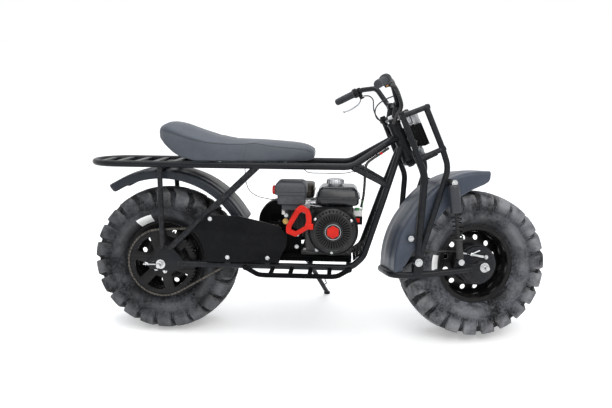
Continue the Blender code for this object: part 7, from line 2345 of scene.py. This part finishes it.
@dataclass
class Seat(Assembly):
    """Padded seat: foam pressed against a vinyl cover that is held at its base and along its seam."""

    skin: float = 0.0045
    reach: float = 0.006
    voxel: float = 0.005
    steps: int = 20
    fill: float = 0.6

    STATIONS = ((-0.684, 0.866, 0.892, 0.05), (-0.674, 0.85, 0.91, 0.092), (-0.652, 0.828, 0.922, 0.114),
                (-0.634, 0.812, 0.924, 0.124), (-0.612, 0.794, 0.9215, 0.132), (-0.58, 0.775, 0.914, 0.138),
                (-0.52, 0.7595, 0.888, 0.142), (-0.44, 0.7595, 0.862, 0.142), (-0.36, 0.7595, 0.848, 0.138),
                (-0.283, 0.7595, 0.845, 0.132), (-0.2, 0.7595, 0.843, 0.124), (-0.11, 0.7595, 0.838, 0.112),
                (-0.05, 0.763, 0.83, 0.098), (-0.02, 0.77, 0.812, 0.084))
    SEAM = ((-0.701, 0.883), (-0.66, 0.886), (-0.6258, 0.8796), (-0.5421, 0.8557), (-0.4625, 0.8401),
            (-0.3745, 0.8351), (-0.3075, 0.837), (-0.2687, 0.842), (-0.2201, 0.833), (-0.1785, 0.826),
            (-0.1246, 0.82), (-0.0749, 0.816), (-0.02, 0.802))

    def rows(self, x: np.ndarray) -> tuple:
        """Base height, crown height, half width, seam height and seam half width along the seat.

        Args:
            x: positions along the seat.

        Returns:
            The five, one value for each position.
        """
        st = np.array(self.STATIONS)
        low, high, w = (np.interp(x, st[:, 0], st[:, i]) for i in (1, 2, 3))
        zs = np.minimum(np.interp(x, *np.array(self.SEAM).T), high - 0.003)
        share = (zs - low) / (high - low)
        return low, high, w, zs, w * (0.955 - 0.5 * np.clip(share - 0.72, 0.0, 1.0))

    def shape(self, inset: float) -> Shell:
        """The seat's closed form, drawn in by inset all round.

        Args:
            inset: how far it is drawn in.

        Returns:
            A closed form.
        """
        x = np.concatenate([-0.688 + 0.05 * np.linspace(0, 1, 16) ** 1.6, np.linspace(-0.632, -0.06, 96),
                            -0.055 + 0.035 * np.sin(np.linspace(0, math.pi / 2, 12))])
        low, high, w, zs, ws = self.rows(x)
        a = np.linspace(0.0, math.pi / 2.0, 14)
        side = np.linspace(0.0, 1.0, 16)
        bulge = np.sin(side * math.pi) ** 0.8
        y1 = (w * 0.94)[:, None] * (1 - side) + ws[:, None] * side + (0.045 * w)[:, None] * bulge
        z1 = low[:, None] + (zs - low)[:, None] * side
        y2, z2 = ws[:, None] * np.cos(a), zs[:, None] + (high - zs)[:, None] * np.sin(a) ** 0.9
        half = np.concatenate([np.stack([y1, z1], -1), np.stack([y2, z2], -1)[:, 1:]], 1)
        ring = np.concatenate([half, (half * vec(-1, 1))[:, ::-1][:, 1:]], 1)
        mid = np.stack([np.zeros_like(low), (low + high) / 2.0], -1)[:, None]
        off = ring - mid
        ring = mid + off * (1.0 - inset / np.maximum(np.linalg.norm(off, axis=-1, keepdims=True), 0.02))
        points = np.concatenate([np.broadcast_to(x[:, None, None], (*ring.shape[:2], 1)), ring], -1)
        n = ring.shape[1]
        faces = [grid_faces(len(x), n, False, True), np.arange(n)[None, ::-1],
                 (np.arange(n) + (len(x) - 1) * n)[None]]
        return Shell(points.reshape(-1, 3), faces)

    def press(self, item: bpy.types.Object) -> None:
        """Inflate the foam for twenty frames of cloth, held at its base and seam, and keep the moves short.

        Args:
            item: the cushion.
        """
        mod = item.modifiers.new("Remesh", "REMESH")
        mod.mode = "VOXEL"
        mod.voxel_size = self.voxel
        self.bake(item)
        co = np.empty(len(item.data.vertices) * 3)
        item.data.vertices.foreach_get("co", co)
        co = co.reshape(-1, 3)
        low, _, _, zs, ws = self.rows(co[:, 0])
        held = np.clip(1.0 - (co[:, 2] - low - 0.004) / 0.012, 0.0, 1.0)
        near = np.hypot(co[:, 2] - zs, np.abs(co[:, 1]) - ws)
        held = np.maximum(held, 0.9 * np.exp(-((near / 0.006) ** 2)))
        group = item.vertex_groups.new(name="held")
        for level in np.unique(np.round(held, 1)):
            if level > 0:
                group.add(np.flatnonzero(np.round(held, 1) == level).tolist(), float(level), "REPLACE")
        cloth = item.modifiers.new("Cloth", "CLOTH")
        cloth.settings.use_pressure = True
        cloth.settings.uniform_pressure_force = 4.0
        cloth.settings.effector_weights.gravity = 0.0
        cloth.settings.vertex_group_mass = "held"
        cloth.settings.tension_stiffness = 12.0
        cloth.settings.bending_stiffness = 0.6
        cloth.collision_settings.use_collision = False
        for step in range(1, self.steps + 1):
            bpy.context.scene.frame_set(step)
        self.bake(item)
        bpy.context.scene.frame_set(1)
        after = np.empty(co.size)
        item.data.vertices.foreach_get("co", after)
        move = after.reshape(-1, 3) - co
        size = np.linalg.norm(move, axis=1, keepdims=True)
        move *= np.minimum(1.0, self.reach / np.maximum(size, 1e-9))
        move[:, 2] = np.where(co[:, 2] < low + 0.012, np.maximum(move[:, 2], 0.0), move[:, 2])
        item.data.vertices.foreach_set("co", (co + move).ravel())

    @staticmethod
    def bake(item: bpy.types.Object) -> None:
        """Put the evaluated mesh in place of the object's own and drop its modifiers.

        Args:
            item: the object.
        """
        bpy.context.view_layer.update()
        mesh = bpy.data.meshes.new_from_object(item.evaluated_get(bpy.context.evaluated_depsgraph_get()))
        item.modifiers.clear()
        item.data = mesh

    def build(self) -> None:
        """Make the cushion, its seam piping and its stitched joint lines."""
        item = bpy.data.objects.new("seat_cushion", clean_mesh(self.shape(self.skin), "seat_cushion"))
        bpy.context.scene.collection.objects.link(item)
        self.press(item)
        mod = item.modifiers.new("Finer", "SUBSURF")
        mod.levels = mod.render_levels = 1
        self.bake(item)
        mesh = item.data
        co = np.empty(len(mesh.vertices) * 3)
        mesh.vertices.foreach_get("co", co)
        co = co.reshape(-1, 3)
        low, high, w, zs, ws = self.rows(co[:, 0])
        near = np.hypot(co[:, 2] - zs, np.abs(co[:, 1]) - ws)
        centre = np.stack([co[:, 0], np.zeros_like(w), (low + high) / 2.0], -1)
        inward = centre - co
        inward /= np.linalg.norm(inward, axis=1, keepdims=True)
        co = co + inward * (0.0022 * np.exp(-((near / 0.0042) ** 2)))[:, None]
        under = np.clip((zs + 0.0005 - co[:, 2]) / 0.003, 0.0, 1.0)
        matrix = STANCE.bike
        mesh.vertices.foreach_set("co", (co @ matrix[:3, :3].T + matrix[:3, 3]).ravel())
        mesh.attributes.new(VINYL_PAINTED_REFLECTION.mark, "FLOAT", "POINT").data.foreach_set("value", under.astype(np.float32))
        mesh.name = "seat_cushion"
        mesh.materials.clear()
        mesh.materials.append(VINYL_PAINTED_REFLECTION.material())
        mesh.shade_smooth()
        self.place(item, VINYL_PAINTED_REFLECTION, "seat")
        tree = bvhtree.BVHTree.FromPolygons([Vector(v) for v in co],
                                            [tuple(p.vertices) for p in mesh.polygons])
        x = np.linspace(-0.03, -0.679, 120)
        _, _, _, zs, ws = self.rows(x)
        right = np.stack([x, -ws, zs], -1)
        tail = np.linspace(-1.0, 1.0, 26)[1:-1]
        back = np.stack([-0.679 - 0.009 * np.cos(tail * math.pi / 2), ws[-1] * np.sin(tail * math.pi / 2),
                         np.full_like(tail, zs[-1])], -1)
        path = np.vstack([right, back, (right * vec(1, -1, 1))[::-1]])
        path = np.array([tree.find_nearest(Vector(p))[0] for p in path])
        for _ in range(3):
            path[1:-1] = 0.25 * path[:-2] + 0.5 * path[1:-1] + 0.25 * path[2:]
        self.add("seat_piping", sweep(path, 0.0017, 8), PIPING)
        lines = []
        for side in (-1.0, 1.0):
            z = np.linspace(0.83, 0.766, 20)
            start = np.stack([np.interp(z, [0.78, 0.8386], [-0.307, -0.2939]), np.full_like(z, side * 0.15),
                              z], -1)
            hit = np.array([tree.find_nearest(Vector(p))[0] for p in start])
            lines.append(sweep(hit, 0.0009, 6))
        self.add("seat_joint_lines", merged(lines), PIPING)


# Studio


@dataclass
class Studio:
    """Pale floor, soft lamps, and the photograph's camera."""

    focal: float = 608.5147
    width: int = 612
    place: tuple = (0.0939971, -2.4875753, 1.3430517)
    yaw: float = 0.0592452
    pitch: float = 0.2954466
    roll: float = 0.004754
    lift: float = 0.3

    def camera(self) -> None:
        """Set the camera where the photograph was taken from, over the machine as it is placed."""
        data = bpy.data.cameras.new("camera")
        item = bpy.data.objects.new("camera", data)
        bpy.context.scene.collection.objects.link(item)
        data.sensor_width = 36.0
        data.lens = self.focal / self.width * 36.0
        fwd = vec(-math.sin(self.yaw) * math.cos(self.pitch), math.cos(self.yaw) * math.cos(self.pitch),
                  -math.sin(self.pitch))
        right = vec(math.cos(self.yaw), math.sin(self.yaw), 0.0)
        up = np.cross(right, fwd)
        r2 = right * math.cos(self.roll) + up * math.sin(self.roll)
        u2 = -right * math.sin(self.roll) + up * math.cos(self.roll)
        turn = np.eye(4)
        turn[:3, :3] = np.stack([r2, u2, -fwd], 1)
        turn[:3, 3] = vec(*self.place) + vec(*STANCE.bike[:2, 3], 0.0)
        item.matrix_world = Matrix(turn.tolist())
        bpy.context.scene.camera = item

    def floor(self) -> None:
        """A wide plain pale floor."""
        data = bpy.data.meshes.new("floor")
        data.from_pydata([(-30, -30, 0), (30, -30, 0), (30, 30, 0), (-30, 30, 0)], [], [(0, 1, 2, 3)])
        item = bpy.data.objects.new("floor", data)
        bpy.context.scene.collection.objects.link(item)
        mat = bpy.data.materials.new("floor_white")
        mat.use_nodes = True
        shader = mat.node_tree.nodes["Principled BSDF"]
        shader.inputs["Base Color"].default_value = (0.92, 0.92, 0.92, 1.0)
        shader.inputs["Roughness"].default_value = 0.9
        shader.inputs["Specular IOR Level"].default_value = 0.0
        shader.inputs["Emission Color"].default_value = (1.0, 1.0, 1.0, 1.0)
        w = Wires(mat.node_tree)
        path = w.add("ShaderNodeLightPath").outputs
        seen = w.math("ADD", path["Is Camera Ray"],
                      w.math("ADD", path["Is Glossy Ray"], path["Is Transmission Ray"]), True)
        seen = w.math("MULTIPLY", seen, self.lift)
        mat.node_tree.links.new(seen, shader.inputs["Emission Strength"])
        data.materials.append(mat)

    def lamp(self, name: str, at: tuple, target: tuple, size: tuple, watts: float, colour: tuple) -> None:
        """One soft rectangular lamp.

        Args:
            name: the lamp's name.
            at: where it hangs.
            target: what it points at.
            size: its width and height.
            watts: its power.
            colour: its colour.
        """
        data = bpy.data.lights.new(name, "AREA")
        data.shape = "RECTANGLE"
        data.size, data.size_y = size
        data.energy = watts
        data.color = colour
        item = bpy.data.objects.new(name, data)
        item.location = at
        item.rotation_euler = (Vector(target) - Vector(at)).to_track_quat("-Z", "Y").to_euler()
        bpy.context.scene.collection.objects.link(item)

    def sky(self) -> None:
        """Pale even light all round, brighter above; the camera sees plain white."""
        world = bpy.data.worlds.new("studio")
        bpy.context.scene.world = world
        world.use_nodes = True
        tree = world.node_tree
        tree.nodes.clear()
        w = Wires(tree)
        direction = w.add("ShaderNodeTexCoord").outputs["Generated"]
        z = w.add("ShaderNodeSeparateXYZ", {0: direction}).outputs[2]
        share = w.add("ShaderNodeMapRange", {0: z, 1: -0.15, 2: 0.75, 3: 0.0, 4: 1.0}).outputs[0]
        tone = w.mix(share, (0.5, 0.5, 0.5, 1.0), (0.87, 0.89, 0.92, 1.0))
        path = w.add("ShaderNodeLightPath").outputs
        seen = w.math("ADD", path["Is Camera Ray"],
                      w.math("ADD", path["Is Glossy Ray"], path["Is Transmission Ray"]), True)
        colour = w.mix(seen, tone, (1.0, 1.0, 1.0, 1.0))
        back = w.add("ShaderNodeBackground", {"Color": colour, "Strength": 1.0})
        w.add("ShaderNodeOutputWorld", {"Surface": back.outputs[0]})

    def build(self) -> None:
        """Set everything round the machine."""
        self.sky()
        self.floor()
        self.lamp("key", (1.2, -2.6, 3.4), (0.0, 0.0, 0.4), (3.0, 2.0), 60.0, (1.0, 0.98, 0.95))
        self.lamp("top", (-0.6, 0.4, 3.6), (0.0, 0.0, 0.5), (3.4, 2.4), 70.0, (0.95, 0.98, 1.0))
        self.camera()
        bpy.context.scene.view_settings.view_transform = "Standard"


def main() -> None:
    """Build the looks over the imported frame."""
    Tyre(Body.FRONT_WHEEL, "front", FRONT_AXLE, 3.5, (166.0, 184.0)).build()
    Tyre(Body.REAR_WHEEL, "rear", REAR_AXLE, 8.6, (103.7, 123.7)).build()
    Rim(Body.FRONT_WHEEL, "front", FRONT_AXLE, 0.01).build()
    Rim(Body.REAR_WHEEL, "rear", REAR_AXLE, -0.004).build()
    FrontHub(Body.FRONT_WHEEL).build()
    RearHub(Body.REAR_WHEEL).build()
    Chain().build()
    MainFrame().build()
    Fenders().build()
    Fenders(Body.FORK, "front", FRONT_AXLE, 0.405, 0.112, 83.5, 184.0, True).build()
    Stand().build()
    Fork().build()
    Controls().build()
    Engine().build()
    Seat().build()
    Studio().build()


if __name__ == "__main__":
    logging.basicConfig(level=logging.INFO)
    main()
